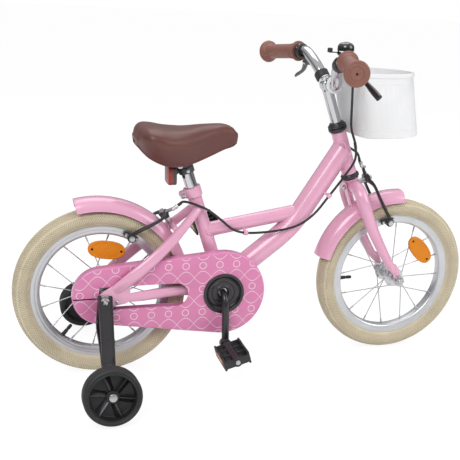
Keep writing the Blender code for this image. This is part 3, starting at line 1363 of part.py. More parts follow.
def make_trainer(side, word, looks):
    inner = DROPOUT_OUTER + GAP + BRACKET_WALL / 2
    hub, out = trainer_hub(side)
    foot = hub - 0.0285 * out
    rise = unit(UP - np.dot(UP, out) * out)
    path = [
        from_rear(0.001, inner * side, 0.010),
        from_rear(-0.001, inner * side, -0.012),
        from_rear(-0.004, inner * side, -0.045),
        foot + 0.016 * rise - 0.002 * out, foot + 0.008 * rise, foot - 0.014 * rise,
    ]
    half, deep, wall = BRACKET_WIDTH / 2, 0.007, BRACKET_WALL / 2
    section = [(-half, -wall), (half, -wall), (half, deep), (half - 0.0025, deep), (half - 0.0025, wall),
               (-half + 0.0025, wall), (-half + 0.0025, deep), (-half, deep)]
    section = [(a, -b * side) for a, b in section]
    bracket = follow(path, section, X_AXIS)
    bracket = cut(bracket, [bore(REAR_AXLE + 0.04 * side * SIDE, REAR_AXLE + 0.09 * side * SIDE,
                                 AXLE_RADIUS, 10)])
    cap = TRAINER_WIDTH / 2
    bolt = stepped(hub, out, [
        (0.0085, -0.0345), (0.0085, -0.0270), (TRAINER_BOLT_RADIUS, -0.0270),
        (TRAINER_BOLT_RADIUS, cap - 0.0062), (0.0080, cap - 0.0062), (0.0080, cap - 0.001)], 10)
    finish(union([bracket, bolt]), "training_bracket_" + word, looks["black"], "frame")
    finish(trainer_wheel(hub, out), "training_wheel_" + word, looks["resin"], "training_wheel_" + word)


def trainer_wheel(hub, out):
    """A moulded wheel with a treaded rim and six leaning vanes, closed behind by a web."""
    half = TRAINER_WIDTH / 2
    radius = TRAINER_RADIUS / math.cos(math.pi / 20)
    hole = around(TRAINER_BOLT_RADIUS, 20) + GAP
    profile = [
        (hole, -half + 0.006), (0.013, -half + 0.006), (0.013, -0.004), (0.040, -0.004),
        (0.043, -half), (radius, -half), (radius, half - 0.004), (radius - 0.004, half),
        (0.044, half), (0.040, 0.000), (0.013, 0.000), (0.013, half - 0.0065), (hole, half - 0.0065),
    ]
    wheel = lathe(profile, hub, out, 20, UP, 180 / 20)
    vanes = []
    for k in range(6):
        turn = math.tau * k / 6
        ray = math.cos(turn) * UP + math.sin(turn) * X_AXIS
        beside = np.cross(out, ray)
        start = hub + 0.011 * ray + 0.003 * out
        end = hub + 0.0415 * ray + 0.004 * out + 0.010 * beside
        centre = (start + end) / 2
        vanes.append(block(centre, unit(end - start), unit(out + 1.1 * beside),
                           (np.linalg.norm(end - start) + 0.002, 0.017, 0.0022)))
    return union([wheel] + vanes)


def lever_cable_start(side):
    centre, out, reach, hinge = lever_frame(side)
    return centre - (0.024 + 3 * GAP) * out + 0.0275 * reach, -out


def clip_points():
    """Where the rear cable is held against the down tube and the top tube."""
    front = FRONT_AXLE[0] - 0.645
    return [vec(front + 0.473, -0.0275, 0.362 + GROWTH), from_rear(0.2985, -0.0165, 0.1140)]


def rear_cable_points():
    """Route of the rear brake cable from the near lever, under the frame clips, to the brake."""
    start, way = lever_cable_start(-1)
    seat_side = REAR_PIVOT - (0.024 + 0.008 + GAP) * REAR_REACH - 0.022 * SIDE
    middle = 0.0005 + ARM_THICKNESS + GAP + ARM_THICKNESS / 2
    end = seat_side + middle * REAR_BOLT
    front = FRONT_AXLE[0] - 0.645
    points = [
        start, start + 0.010 * way,
        vec(front + 0.496, -0.058, 0.548 + GROWTH), vec(front + 0.506, -0.042, 0.505 + GROWTH),
        vec(front + 0.520, -0.036, 0.472 + GROWTH), vec(front + 0.524, -0.0325, 0.440 + GROWTH),
        vec(front + 0.503, -0.0305, 0.404 + GROWTH), clip_points()[0],
        vec(front + 0.443, -0.0285, 0.326 + GROWTH), vec(front + 0.410, -0.0290, 0.3035 + GROWTH),
        from_rear(0.366, -0.0260, 0.1190), clip_points()[1],
        from_rear(0.270, -0.0200, 0.123), from_rear(0.243, -0.0215, 0.145),
        from_rear(0.220, -0.0225, 0.163), from_rear(0.205, -0.0235 - 0.25 * abs(GROWTH), 0.172),
        end - 0.012 * REAR_REACH, end,
    ]
    return points


def front_cable_points():
    """Route of the front brake cable from the far lever down to the front brake."""
    start, way = lever_cable_start(1)
    middle = 0.0005 + ARM_THICKNESS + GAP + ARM_THICKNESS / 2
    end = FRONT_PIVOT + (0.022 + 0.008 + GAP) * STEER_UP + 0.026 * SIDE + middle * STEER_AHEAD
    return [
        start, start + 0.010 * way,
        on_steering(WHEEL_RADIUS + 0.2455, 0.0184, 0.034),
        on_steering(WHEEL_RADIUS + 0.2121, 0.0168, 0.029),
        on_steering(WHEEL_RADIUS + 0.1789, 0.0144, 0.028),
        on_steering(WHEEL_RADIUS + 0.1396, 0.0171, 0.020),
        end + 0.020 * STEER_UP, end,
    ]


def main():
    for made in list(bpy.data.objects):
        bpy.data.objects.remove(made)
    looks = {
        "pink": material("pink_paint", (0.80, 0.28, 0.47), 0.25),
        "magenta": material("chain_case_pink", (0.76, 0.16, 0.42), 0.30),
        "tyre": material("cream_rubber", (0.66, 0.56, 0.36), 0.75),
        "rubber": material("black_rubber", (0.02, 0.02, 0.02), 0.80),
        "alloy": material("silver_alloy", (0.62, 0.63, 0.65), 0.30, 0.9),
        "steel": material("zinc_steel", (0.50, 0.51, 0.53), 0.32, 1.0),
        "chrome": material("chrome", (0.80, 0.81, 0.83), 0.08, 1.0),
        "black": material("black_paint", (0.02, 0.02, 0.022), 0.35),
        "resin": material("black_resin", (0.025, 0.025, 0.027), 0.50),
        "brake": material("black_pressed_steel", (0.03, 0.03, 0.033), 0.35, 0.4),
        "brown": material("brown_cover", (0.18, 0.06, 0.035), 0.50),
        "white": material("white_plastic", (0.85, 0.85, 0.86), 0.35),
        "amber": material("amber_lens", (0.90, 0.28, 0.01), 0.20),
        "red": material("red_lens", (0.55, 0.02, 0.02), 0.20),
        "bell": material("black_bell", (0.02, 0.02, 0.02), 0.15, 0.6),
        "cable": material("black_cable", (0.012, 0.012, 0.013), 0.40),
    }
    hubs = {side: trainer_hub(side)[0] for side in (-1, 1)}
    for name, pivot in {
        "frame": vec(0, 0, 0), "seat": on_seat(SEAT_TUBE_LENGTH), "rear_wheel": REAR_AXLE,
        "sprocket": REAR_AXLE, "crank": CRANK_AXLE, "pedal_right": pedal_axis(-1),
        "pedal_left": pedal_axis(1), "fork": on_steering(HEAD_TUBE_LOW, 0),
        "handlebar": on_steering(HEAD_TUBE_TOP, 0), "front_wheel": FRONT_AXLE,
        "front_brake_arm_right": FRONT_PIVOT, "front_brake_arm_left": FRONT_PIVOT,
        "rear_brake_arm_right": REAR_PIVOT, "rear_brake_arm_left": REAR_PIVOT,
        "brake_lever_right": lever_pivot(-1), "brake_lever_left": lever_pivot(1),
        "bell_lever": bell_hinge(), "training_wheel_right": hubs[-1], "training_wheel_left": hubs[1],
    }.items():
        body(name, pivot)
    bpy.context.view_layer.update()
    rear_cable = smooth_path(rear_cable_points(), CABLE_STEP)
    make_wheels(looks)
    make_frame(looks, rear_cable)
    make_headset(looks)
    make_cups(looks)
    make_collar(looks)
    make_guards(looks)
    make_chain_case(looks)
    make_chain(looks)
    make_sprockets(looks)
    make_crank(looks)
    make_pedal(-1, "pedal_right", looks)
    make_pedal(1, "pedal_left", looks)
    make_fork(looks)
    make_brakes(looks)
    make_stem(looks)
    make_bar(looks)
    make_lever_set(-1, "right", looks)
    make_lever_set(1, "left", looks)
    make_bell(looks)
    make_basket(looks)
    make_saddle(looks)
    make_seat(looks)
    make_trainer(-1, "right", looks)
    make_trainer(1, "left", looks)
    cable("rear_brake_cable", rear_cable_points(), looks["cable"], "frame")
    cable("front_brake_cable", front_cable_points(), looks["cable"], "handlebar")


main()
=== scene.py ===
"""Looks of a children's bicycle with training wheels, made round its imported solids.

Points and paths are in metres, and the sizes given to Form, mm and outline in millimetres. +X is
forward, -Y the near side, +Z up, the ground z = 0 and the origin midway between the wheel axles.
Each class makes one sub-assembly, dresses it and hangs it from the body that carries it.
"""
from __future__ import annotations

import logging
import math
from dataclasses import dataclass, field
from enum import Enum

import bmesh
import bpy
import numpy as np
from mathutils import Matrix, Vector

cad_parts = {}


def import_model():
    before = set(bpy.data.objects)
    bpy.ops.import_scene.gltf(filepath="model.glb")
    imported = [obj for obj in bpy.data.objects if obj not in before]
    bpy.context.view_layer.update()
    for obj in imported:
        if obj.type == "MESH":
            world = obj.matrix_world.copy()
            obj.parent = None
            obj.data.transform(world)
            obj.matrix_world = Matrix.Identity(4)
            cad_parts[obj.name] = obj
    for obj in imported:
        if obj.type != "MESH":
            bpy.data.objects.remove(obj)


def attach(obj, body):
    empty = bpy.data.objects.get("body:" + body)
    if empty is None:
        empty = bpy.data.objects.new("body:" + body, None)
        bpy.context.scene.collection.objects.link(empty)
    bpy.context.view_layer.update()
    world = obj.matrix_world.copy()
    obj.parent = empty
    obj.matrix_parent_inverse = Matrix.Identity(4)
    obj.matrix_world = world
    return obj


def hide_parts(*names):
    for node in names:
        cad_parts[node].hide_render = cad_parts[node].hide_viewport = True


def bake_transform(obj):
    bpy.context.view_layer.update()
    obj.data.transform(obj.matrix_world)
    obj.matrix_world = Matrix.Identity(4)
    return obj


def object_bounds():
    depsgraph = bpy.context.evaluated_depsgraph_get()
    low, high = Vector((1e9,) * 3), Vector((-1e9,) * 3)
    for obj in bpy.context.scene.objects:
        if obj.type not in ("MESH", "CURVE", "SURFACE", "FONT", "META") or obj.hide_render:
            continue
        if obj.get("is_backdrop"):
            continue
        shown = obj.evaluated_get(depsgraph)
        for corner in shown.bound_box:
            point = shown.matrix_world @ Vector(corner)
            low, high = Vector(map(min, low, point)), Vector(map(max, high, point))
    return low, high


LOG = logging.getLogger("bicycle")
Vec = np.ndarray
TAU = math.tau
QUARTER = math.pi / 2
MM = 0.001


# Small vector helpers

def vec(x: float, y: float, z: float) -> Vec:
    """A point or direction as an array."""
    return np.array([x, y, z], float)


def mm(*values: float, columns: int = 2) -> Vec:
    """Rows of pairs, or of more columns, in metres from a run of millimetres."""
    return np.array(values, float).reshape(-1, columns) * MM


def spots(*values: float) -> Vec:
    """Points in metres from a run of millimetres."""
    return mm(*values, columns=3)


def unit(v: Vec) -> Vec:
    """The direction of a vector, or of each row: the vector over its length."""
    return np.asarray(v, float) / np.linalg.norm(v, axis=-1, keepdims=True)


X, Y, Z = np.eye(3)
NEAR = -Y
SIDES = ((-1, "right"), (1, "left"))
HALF_BASE = 0.3225
WHEEL_RADIUS = 0.173
RIM_RADIUS = 0.1385
REAR = vec(-HALF_BASE, 0, WHEEL_RADIUS)
FRONT = vec(HALF_BASE, 0, WHEEL_RADIUS)
CRANK = REAR + vec(0.2445, 0, -0.003)
CRANK_THROW = 0.102
CRANK_SPREAD = 0.0775
HEAD = math.radians(70)
STEER_UP = vec(-math.cos(HEAD), 0, math.sin(HEAD))
STEER_AHEAD = vec(math.sin(HEAD), 0, math.cos(HEAD))
STEER_FOOT = FRONT - 0.031 * STEER_AHEAD
SEAT = math.radians(72)
SEAT_UP = vec(-math.cos(SEAT), 0, math.sin(SEAT))
SEAT_BACK = vec(-math.sin(SEAT), 0, -math.cos(SEAT))
SEAT_FOOT = CRANK + vec(0.010, 0, 0)
HEAD_LOW = 0.259
HEAD_TOP = 0.3525
CLAMP = STEER_FOOT + 0.450 * STEER_UP + 0.009 * STEER_AHEAD
BAR_RADIUS = 11.1
CABLE_RADIUS = 2.5
GUARD_CENTRE = REAR + vec(-0.006, 0, 0.008)
GUARD_RADIUS = 0.1875
BRIDGE_ANGLE = 39.2


def rear(x: float, y: float, z: float) -> Vec:
    """A point ahead of, beside and above the rear axle."""
    return REAR + vec(x, y, z)


def steer(along: float, ahead: float = 0.0, side: float = 0.0) -> Vec:
    """A point along the steering axis, ahead of it and beside it."""
    return STEER_FOOT + along * STEER_UP + ahead * STEER_AHEAD + side * Y


def seat(along: float, back: float = 0.0) -> Vec:
    """A point up the seat tube and behind its axis."""
    return SEAT_FOOT + along * SEAT_UP + back * SEAT_BACK


def heading(degrees: float) -> Vec:
    """The direction at an angle above straight ahead."""
    turn = math.radians(degrees)
    return vec(math.cos(turn), 0, math.sin(turn))


def guard_at(off: float, angle: float) -> Vec:
    """A point beyond the rear guard's crown at an angle above straight ahead."""
    return GUARD_CENTRE + (GUARD_RADIUS + off) * heading(angle)


def nearest(path: Vec, spot: Vec) -> int:
    """The number of the path's point that is closest to a spot."""
    return int(np.argmin(np.linalg.norm(path - spot, axis=1)))


def travelled(line: Vec) -> Vec:
    """The distance along a line at each of its points."""
    return np.concatenate([[0], np.cumsum(np.linalg.norm(np.diff(line, axis=0), axis=1))])


def powered(values: Vec, power: float) -> Vec:
    """Sizes raised to a power, with their signs kept."""
    return np.sign(values) * np.abs(values) ** power


# Surfaces as grids of points

def frame_across(axis: Vec, across: Vec | None = None) -> tuple[Vec, Vec]:
    """Two directions square to an axis: the guide less its part along the axis, and their cross."""
    axis = unit(axis)
    if across is None:
        across = X if abs(axis[0]) < 0.9 else Z
    first = unit(across - np.dot(across, axis) * axis)
    return first, np.cross(axis, first)


def rays(axis: Vec, angles: Vec) -> Vec:
    """Directions round an axis: cos a * first + sin a * second."""
    first, second = frame_across(axis)
    return np.cos(angles)[:, None] * first + np.sin(angles)[:, None] * second


def fillet(corners: Vec, radius: float, steps: int = 3, closed: bool = False) -> Vec:
    """Rounds the corners of a flat line.

    Each corner is replaced by the quadratic curve from a point before it to a point after it, with
    the corner as its middle control: (1-t)^2 a + 2t(1-t) c + t^2 b.

    Args:
        corners: pairs along the line.
        radius: how far before and after a corner the curve starts, at most 0.45 of an edge.
        steps: spans in each curve.
        closed: whether the line joins its own start.

    Returns:
        An array of pairs.
    """
    c = np.asarray(corners, float)

    def beside(shift: int) -> Vec:
        """The curves' ends on one side of the corners."""
        way = np.roll(c, shift, 0) - c
        size = np.linalg.norm(way, axis=1)
        return c + way * (np.minimum(radius, 0.45 * size) / np.maximum(size, 1e-12))[:, None]

    a, b = beside(1), beside(-1)
    t = np.linspace(0, 1, steps + 1)[None, :, None]
    curve = (1 - t) ** 2 * a[:, None] + 2 * t * (1 - t) * c[:, None] + t ** 2 * b[:, None]
    if closed:
        return curve.reshape(-1, 2)
    return np.vstack([c[:1], curve[1:-1].reshape(-1, 2), c[-1:]])


def outline(radius: float, steps: int, *values: float) -> Vec:
    """A closed outline through corners, rounded by a radius, all in millimetres."""
    return fillet(mm(*values), radius * MM, steps, True)


def box(low: float, bottom: float, high: float, top: float, radius: float, steps: int = 3) -> Vec:
    """A rectangle with rounded corners, in millimetres."""
    return outline(radius, steps, low, bottom, high, bottom, high, top, low, top)


def band(bore: float, shoulder: float, outer: float, flat: float, half: float) -> Vec:
    """A band's section in millimetres: bore, chamfered shoulders and an outer face."""
    return mm(bore, -half, shoulder, -half, outer, -flat, outer, flat, shoulder, half, bore, half)


def mirrored(half: Vec) -> Vec:
    """A profile followed by its mirror image in the second number, without repeating the middle."""
    return np.vstack([half, half[-2::-1] * (1, -1)])


def turned(profile: Vec, origin: Vec, axis: Vec, sides: int = 64, across: Vec | None = None,
           arc: tuple[float, float] | None = None) -> Vec:
    """A profile of (radius, height) pairs turned about an axis.

    Point = origin + height * axis + radius * (cos a * first + sin a * second), with a going round.

    Args:
        profile: the pairs, in order.
        origin: where height is zero.
        axis: the axis turned about.
        sides: steps round.
        across: the direction of angle zero.
        arc: first and last angle in degrees, or the whole turn.

    Returns:
        Points as rows (one per pair) by columns (one per angle).
    """
    profile = np.asarray(profile, float)
    first, second = frame_across(axis, across)
    angle = np.arange(sides) * TAU / sides if arc is None else np.radians(np.linspace(*arc, sides + 1))
    ray = np.cos(angle)[:, None] * first + np.sin(angle)[:, None] * second
    return origin + profile[:, 1, None, None] * unit(axis) + profile[:, 0, None, None] * ray[None]


def smooth(points: Vec, spacing: float) -> Vec:
    """Evenly spaced points on a centripetal curve through the given ones, by its pyramid of mixes."""
    p = np.asarray(points, float)
    p = np.vstack([2 * p[0] - p[1], p, 2 * p[-1] - p[-2]])
    gaps = np.linalg.norm(np.diff(p, axis=0), axis=1)[:, None, None] ** 0.5
    ta, tb, tc = gaps[:-2], gaps[:-2] + gaps[1:-1], gaps[:-2] + gaps[1:-1] + gaps[2:]
    a, b, c, d = (q[:, None] for q in (p[:-3], p[1:-2], p[2:-1], p[3:]))
    t = ta + (tb - ta) * np.linspace(0, 1, 17)[None, 1:, None]
    one = a + (b - a) * t / ta
    two = b + (c - b) * (t - ta) / (tb - ta)
    three = c + (d - c) * (t - tb) / (tc - tb)
    four = one + (two - one) * t / tb
    five = two + (three - two) * (t - ta) / (tc - ta)
    line = np.vstack([p[1], (four + (five - four) * (t - ta) / (tb - ta)).reshape(-1, 3)])
    run = travelled(line)
    marks = np.linspace(0, run[-1], max(3, round(run[-1] / spacing) + 1))
    return np.column_stack([np.interp(marks, run, line[:, k]) for k in range(3)])


def resample(values: Vec, count: int) -> Vec:
    """Rows of sizes stretched to another count by linear mixing."""
    marks = np.linspace(0, len(values) - 1, count)
    return np.column_stack([np.interp(marks, np.arange(len(values)), column) for column in values.T])


def piped(path: Vec, sizes: Vec, sides: int = 32, guide: Vec | None = None, square: float = 1.0) -> Vec:
    """An oval carried along a path.

    Point = path + tall * cos a * normal + wide * sin a * beside, where normal is the guide less its
    part along the path and beside is their cross. A square under 1 swells the oval's corners by
    raising the size of sine and cosine to that power.

    Args:
        path: the points followed.
        sizes: one (tall, wide) pair for all, or one for each point.
        sides: steps round.
        guide: the direction of tall.
        square: the power, 1 for an oval.

    Returns:
        Points as rows along the path by columns round it.
    """
    path = np.asarray(path, float)
    along = unit(np.gradient(path, axis=0))
    if guide is None:
        choices = [X, Y, Z, unit(X + Y), unit(Y + Z), unit(X + Z)]
        guide = min(choices, key=lambda g: np.abs(along @ g).max())
    normal = unit(guide - (along @ guide)[:, None] * along)
    beside = np.cross(along, normal)
    angle = (np.arange(sides) + 0.5) * TAU / sides
    c, s = powered(np.cos(angle), square), powered(np.sin(angle), square)
    return (path[:, None] + sizes[:, :1, None] * c[None, :, None] * normal[:, None]
            + sizes[:, 1:, None] * s[None, :, None] * beside[:, None])


def ended(rows: Vec, round_over: float = 0.0) -> Vec:
    """Closes both ends of a pipe with rows that shrink to its middle, bulged by a quarter round."""
    turn = np.linspace(0, QUARTER, 5)[1:] if round_over else np.array([QUARTER])

    def caps(end: int, beside: int) -> Vec:
        """The rows beyond one end."""
        middle = rows[end].mean(0)
        way = unit(middle - rows[beside].mean(0))
        return np.array([middle + (rows[end] - middle) * max(math.cos(a), 0.0)
                         + round_over * math.sin(a) * way for a in turn])

    return np.vstack([caps(0, 1)[::-1], rows, caps(-1, -2)])


def looped(path: Vec, radius: float, sides: int = 10) -> Vec:
    """A round bead along a closed path: path + radius * (cos a * normal + sin a * beside)."""
    along = unit(np.roll(path, -1, 0) - np.roll(path, 1, 0))
    out = path - path.mean(0)
    normal = unit(out - (out * along).sum(1)[:, None] * along)
    beside = np.cross(along, normal)
    angle = np.arange(sides) * TAU / sides
    return (path[:, None] + radius * np.cos(angle)[None, :, None] * normal[:, None]
            + radius * np.sin(angle)[None, :, None] * beside[:, None])


def weld_line(origin: Vec, way: Vec, radius: float, other: Vec, axis: Vec, reach: float) -> Vec:
    """Where a round tube meets a round tube that it runs into.

    For each point of the first tube's circle, the distance t along its way solves
    |w + t u|^2 = reach^2, with w and u the parts of the offset and the way square to the other axis.

    Args:
        origin: a point on the first tube's axis, outside the second tube.
        way: direction towards the second tube.
        radius: the first tube's radius.
        other: a point on the second tube's axis.
        axis: the second tube's direction.
        reach: the second tube's radius.

    Returns:
        The closed line as points.
    """
    way, axis = unit(way), unit(axis)
    circle = origin + radius * rays(way, np.arange(48) * TAU / 48)
    w = circle - other
    w = w - (w @ axis)[:, None] * axis
    u = way - np.dot(way, axis) * axis
    mixed = w @ u
    inside = np.maximum(mixed ** 2 - np.dot(u, u) * ((w * w).sum(1) - reach ** 2), 0)
    return circle + ((-mixed - np.sqrt(inside)) / np.dot(u, u))[:, None] * way


def closed_at_middles(rows: list[Vec]) -> Vec:
    """Rows with a row at the middle of the first before them and one at that of the last after them."""
    first, last = (np.broadcast_to(rows[end].mean(0), rows[end].shape) for end in (0, -1))
    return np.array([first, *rows, last])


def slab(flat: Vec, origin: Vec, first: Vec, second: Vec, low: float, high: float, edge: float) -> Vec:
    """A flat outline raised between two heights with its edges rounded over.

    Each row is the outline drawn in by edge * (1 - sin a) at a height edge * (1 - cos a) from the
    face, drawn in along the mean of the two edge normals at each corner.

    Args:
        flat: pairs along first and second, in turning order.
        origin: where the pairs and heights are zero.
        first: direction of the first number.
        second: direction of the second number.
        low: height of the lower face along first x second.
        high: height of the upper face.
        edge: the radius of the rounding.

    Returns:
        Points as rows by columns, with both faces closed at their middles.
    """
    step = np.roll(flat, -1, 0) - flat
    normal = np.column_stack([step[:, 1], -step[:, 0]])
    normal /= np.maximum(np.linalg.norm(normal, axis=1), 1e-12)[:, None]
    area = np.sum(flat[:, 0] * np.roll(flat[:, 1], -1) - np.roll(flat[:, 0], -1) * flat[:, 1])
    normal *= math.copysign(1, area)
    mean = normal + np.roll(normal, 1, 0)
    mean /= np.maximum((mean * mean).sum(1) / 2, 0.6)[:, None]
    first, second = unit(first), unit(second)
    turn = np.linspace(0, QUARTER, 3)
    inset, rise = edge * (1 - np.sin(turn)), edge * (1 - np.cos(turn))
    levels = [*zip(inset, low + rise), *zip(inset[::-1], high - rise[::-1])]
    up = np.cross(first, second)
    return closed_at_middles([origin + (flat - a * mean) @ np.array([first, second]) + h * up
                              for a, h in levels])


def oval(wide: float, tall: float, count: int = 40, power: float = 1.0) -> Vec:
    """An oval outline in millimetres; a power under 1 swells its corners towards a box."""
    angle = np.arange(count) * TAU / count
    return np.column_stack([wide * powered(np.cos(angle), power), tall * powered(np.sin(angle), power)]) * MM


class Form:
    """Gathers grids of points into one closed mesh with a UV map in metres; sizes in millimetres."""

    def __init__(self) -> None:
        """Starts with nothing in it."""
        self.points: list[Vec] = []
        self.quads: list[Vec] = []
        self.uvs: list[Vec] = []
        self.looks: list[Vec] = []
        self.count = 0

    def add(self, rows: Vec, wrap: bool = True, close: bool = False, look: int = 0) -> Form:
        """Adds one grid.

        Each face joins a point to the next column and the next row. The UV map is the mean distance
        travelled round a row and along the columns.

        Args:
            rows: points as rows by columns.
            wrap: whether the last column meets the first.
            close: whether the last row meets the first.
            look: number of the material slot.

        Returns:
            This form, so that calls can follow each other.
        """
        m, n = rows.shape[:2]
        down, across = np.arange(m + close) % m, np.arange(n + wrap) % n

        def corners(grid: Vec) -> Vec:
            """The four corners of each face of a grid."""
            return np.stack([grid[:-1, :-1], grid[:-1, 1:], grid[1:, 1:], grid[1:, :-1]], 2)

        index = (np.arange(m * n).reshape(m, n) + self.count)[down][:, across]
        whole = rows[down][:, across]
        u = np.linalg.norm(np.diff(whole, axis=1), axis=2).max(0)
        v = np.linalg.norm(np.diff(whole, axis=0), axis=2).mean(1)
        uv = np.stack(np.meshgrid(*(np.concatenate([[0], np.cumsum(w)]) for w in (u, v))), -1)
        quads = corners(index).reshape(-1, 4)
        self.points.append(rows.reshape(-1, 3))
        self.quads.append(quads)
        self.uvs.append(corners(uv).reshape(-1, 2))
        self.looks.append(np.full(len(quads), look, np.int32))
        self.count += m * n
        return self

    def bar(self, start: Vec, end: Vec, radius: float, sides: int = 32, edge: float = 0.6,
            look: int = 0) -> Form:
        """Adds a round bar with softened ends between two points."""
        length = float(np.linalg.norm(end - start)) / MM
        return self.lathe(mm(0, 0, radius, 0, radius, length, 0, length), start, end - start, sides, edge, look)

    def rod(self, centre: Vec, axis: Vec, low: float, high: float, radius: float, sides: int = 32,
            edge: float = 0.6, look: int = 0) -> Form:
        """Adds a round bar between two distances along an axis from a centre."""
        return self.bar(centre + low * MM * axis, centre + high * MM * axis, radius, sides, edge, look)

    def lathe(self, corners: Vec, origin: Vec, axis: Vec, sides: int = 48, edge: float = 0.6, look: int = 0,
              closed: bool = False, steps: int = 3) -> Form:
        """Adds a turned body from (radius, height) corners in metres, softened by the edge size."""
        rows = turned(fillet(corners, edge * MM, steps, closed), origin, axis, sides)
        return self.add(rows, close=closed, look=look)

    def ring(self, corners: Vec, origin: Vec, axis: Vec, sides: int = 48, edge: float = 0.6,
             look: int = 0, steps: int = 3) -> Form:
        """Adds a turned body whose section is a closed loop."""
        return self.lathe(corners, origin, axis, sides, edge, look, True, steps)

    def sleeve(self, origin: Vec, axis: Vec, bore: float, outer: float, low: float, high: float,
               sides: int = 48, edge: float = 0.6, look: int = 0) -> Form:
        """Adds a plain ring between two radii and two heights."""
        return self.ring(mm(bore, low, outer, low, outer, high, bore, high), origin, axis, sides, edge, look)

    def slab(self, flat: Vec, origin: Vec, first: Vec, second: Vec, low: float, high: float,
             edge: float = 0.5, look: int = 0) -> Form:
        """Adds a flat plate with rounded edges."""
        return self.add(slab(flat, origin, first, second, low * MM, high * MM, edge * MM), look=look)

    def nut(self, centre: Vec, axis: Vec, radius: float, low: float, high: float, look: int = 0) -> Form:
        """Adds a nut between two heights along an axis, six sided with softened corners."""
        angle = np.arange(6) * TAU / 6
        corners = radius * MM * np.column_stack([np.cos(angle), np.sin(angle)])
        flat = fillet(corners, 0.12 * radius * MM, 2, True)
        return self.slab(flat, centre, *frame_across(axis), low, high, 0.5, look)

    def tube(self, path: Vec, sizes: float | Vec, sides: int = 32, guide: Vec | None = None,
             square: float = 1.0, cap: float = 0.0, look: int = 0) -> Form:
        """Adds a pipe along a path with closed ends.

        Args:
            path: the points followed.
            sizes: a radius, or a run of radii or (tall, wide) pairs stretched along the path.
            sides: steps round.
            guide: the direction of tall.
            square: under 1 for swollen corners.
            cap: how far the ends bulge.
            look: number of the material slot.

        Returns:
            This form.
        """
        sizes = np.asarray(sizes, float)
        sizes = sizes if sizes.ndim == 2 else sizes.reshape(-1, 1) * np.ones(2)
        sizes = resample(sizes * MM, len(path))
        return self.add(ended(piped(path, sizes, sides, guide, square), cap * MM), look=look)

    def build(self, name: str, looks: list[bpy.types.Material], angle: float = 38.0) -> bpy.types.Object:
        """Makes the object.

        Args:
            name: the piece's name.
            looks: its materials, by slot number.
            angle: faces that meet at more degrees than this keep a sharp edge.

        Returns:
            The object, at the origin, with doubles merged and faces turned out.
        """
        points, quads = np.vstack(self.points), np.vstack(self.quads)
        mesh = bpy.data.meshes.new(name)
        mesh.vertices.add(len(points))
        mesh.vertices.foreach_set("co", points.ravel())
        mesh.loops.add(quads.size)
        mesh.loops.foreach_set("vertex_index", quads.ravel().astype(np.int32))
        mesh.polygons.add(len(quads))
        mesh.polygons.foreach_set("loop_start", np.arange(0, quads.size, 4, dtype=np.int32))
        mesh.polygons.foreach_set("material_index", np.concatenate(self.looks))
        mesh.update(calc_edges=True)
        mesh.uv_layers.new(name="UVMap").data.foreach_set("uv", np.vstack(self.uvs).ravel())
        work = bmesh.new()
        work.from_mesh(mesh)
        bmesh.ops.remove_doubles(work, verts=work.verts, dist=2e-6)
        bmesh.ops.dissolve_degenerate(work, edges=work.edges, dist=1e-7)
        bmesh.ops.recalc_face_normals(work, faces=work.faces)
        work.to_mesh(mesh)
        work.free()
        mesh.shade_smooth()
        mesh.set_sharp_from_angle(angle=math.radians(angle))
        for look in looks:
            mesh.materials.append(look)
        made = bpy.data.objects.new(name, mesh)
        bpy.context.scene.collection.objects.link(made)
        return made


def applied(piece: bpy.types.Object, angle: float) -> bpy.types.Object:
    """Turns a piece's modifiers into its mesh, with sharp edges above an angle."""
    bpy.context.view_layer.update()
    old = piece.data
    mesh = bpy.data.meshes.new_from_object(piece.evaluated_get(bpy.context.evaluated_depsgraph_get()))
    piece.modifiers.clear()
    piece.data = mesh
    mesh.name = piece.name
    bpy.data.meshes.remove(old)
    mesh.set_sharp_from_angle(angle=math.radians(angle))
    return piece


def modify(piece: bpy.types.Object, kind: str, **settings: object) -> None:
    """Adds a modifier of a kind, with its settings."""
    step = piece.modifiers.new(kind.lower(), kind)
    for key, value in settings.items():
        setattr(step, key, value)


def cut(piece: bpy.types.Object, cutters: list[bpy.types.Object]) -> None:
    """Takes each cutter from a piece by an exact Boolean and drops the cutters."""
    for cutter in cutters:
        modify(piece, "BOOLEAN", operation="DIFFERENCE", solver="EXACT", object=cutter)
    applied(piece, 38.0)
    for cutter in cutters:
        bpy.data.objects.remove(cutter)


# Finishes

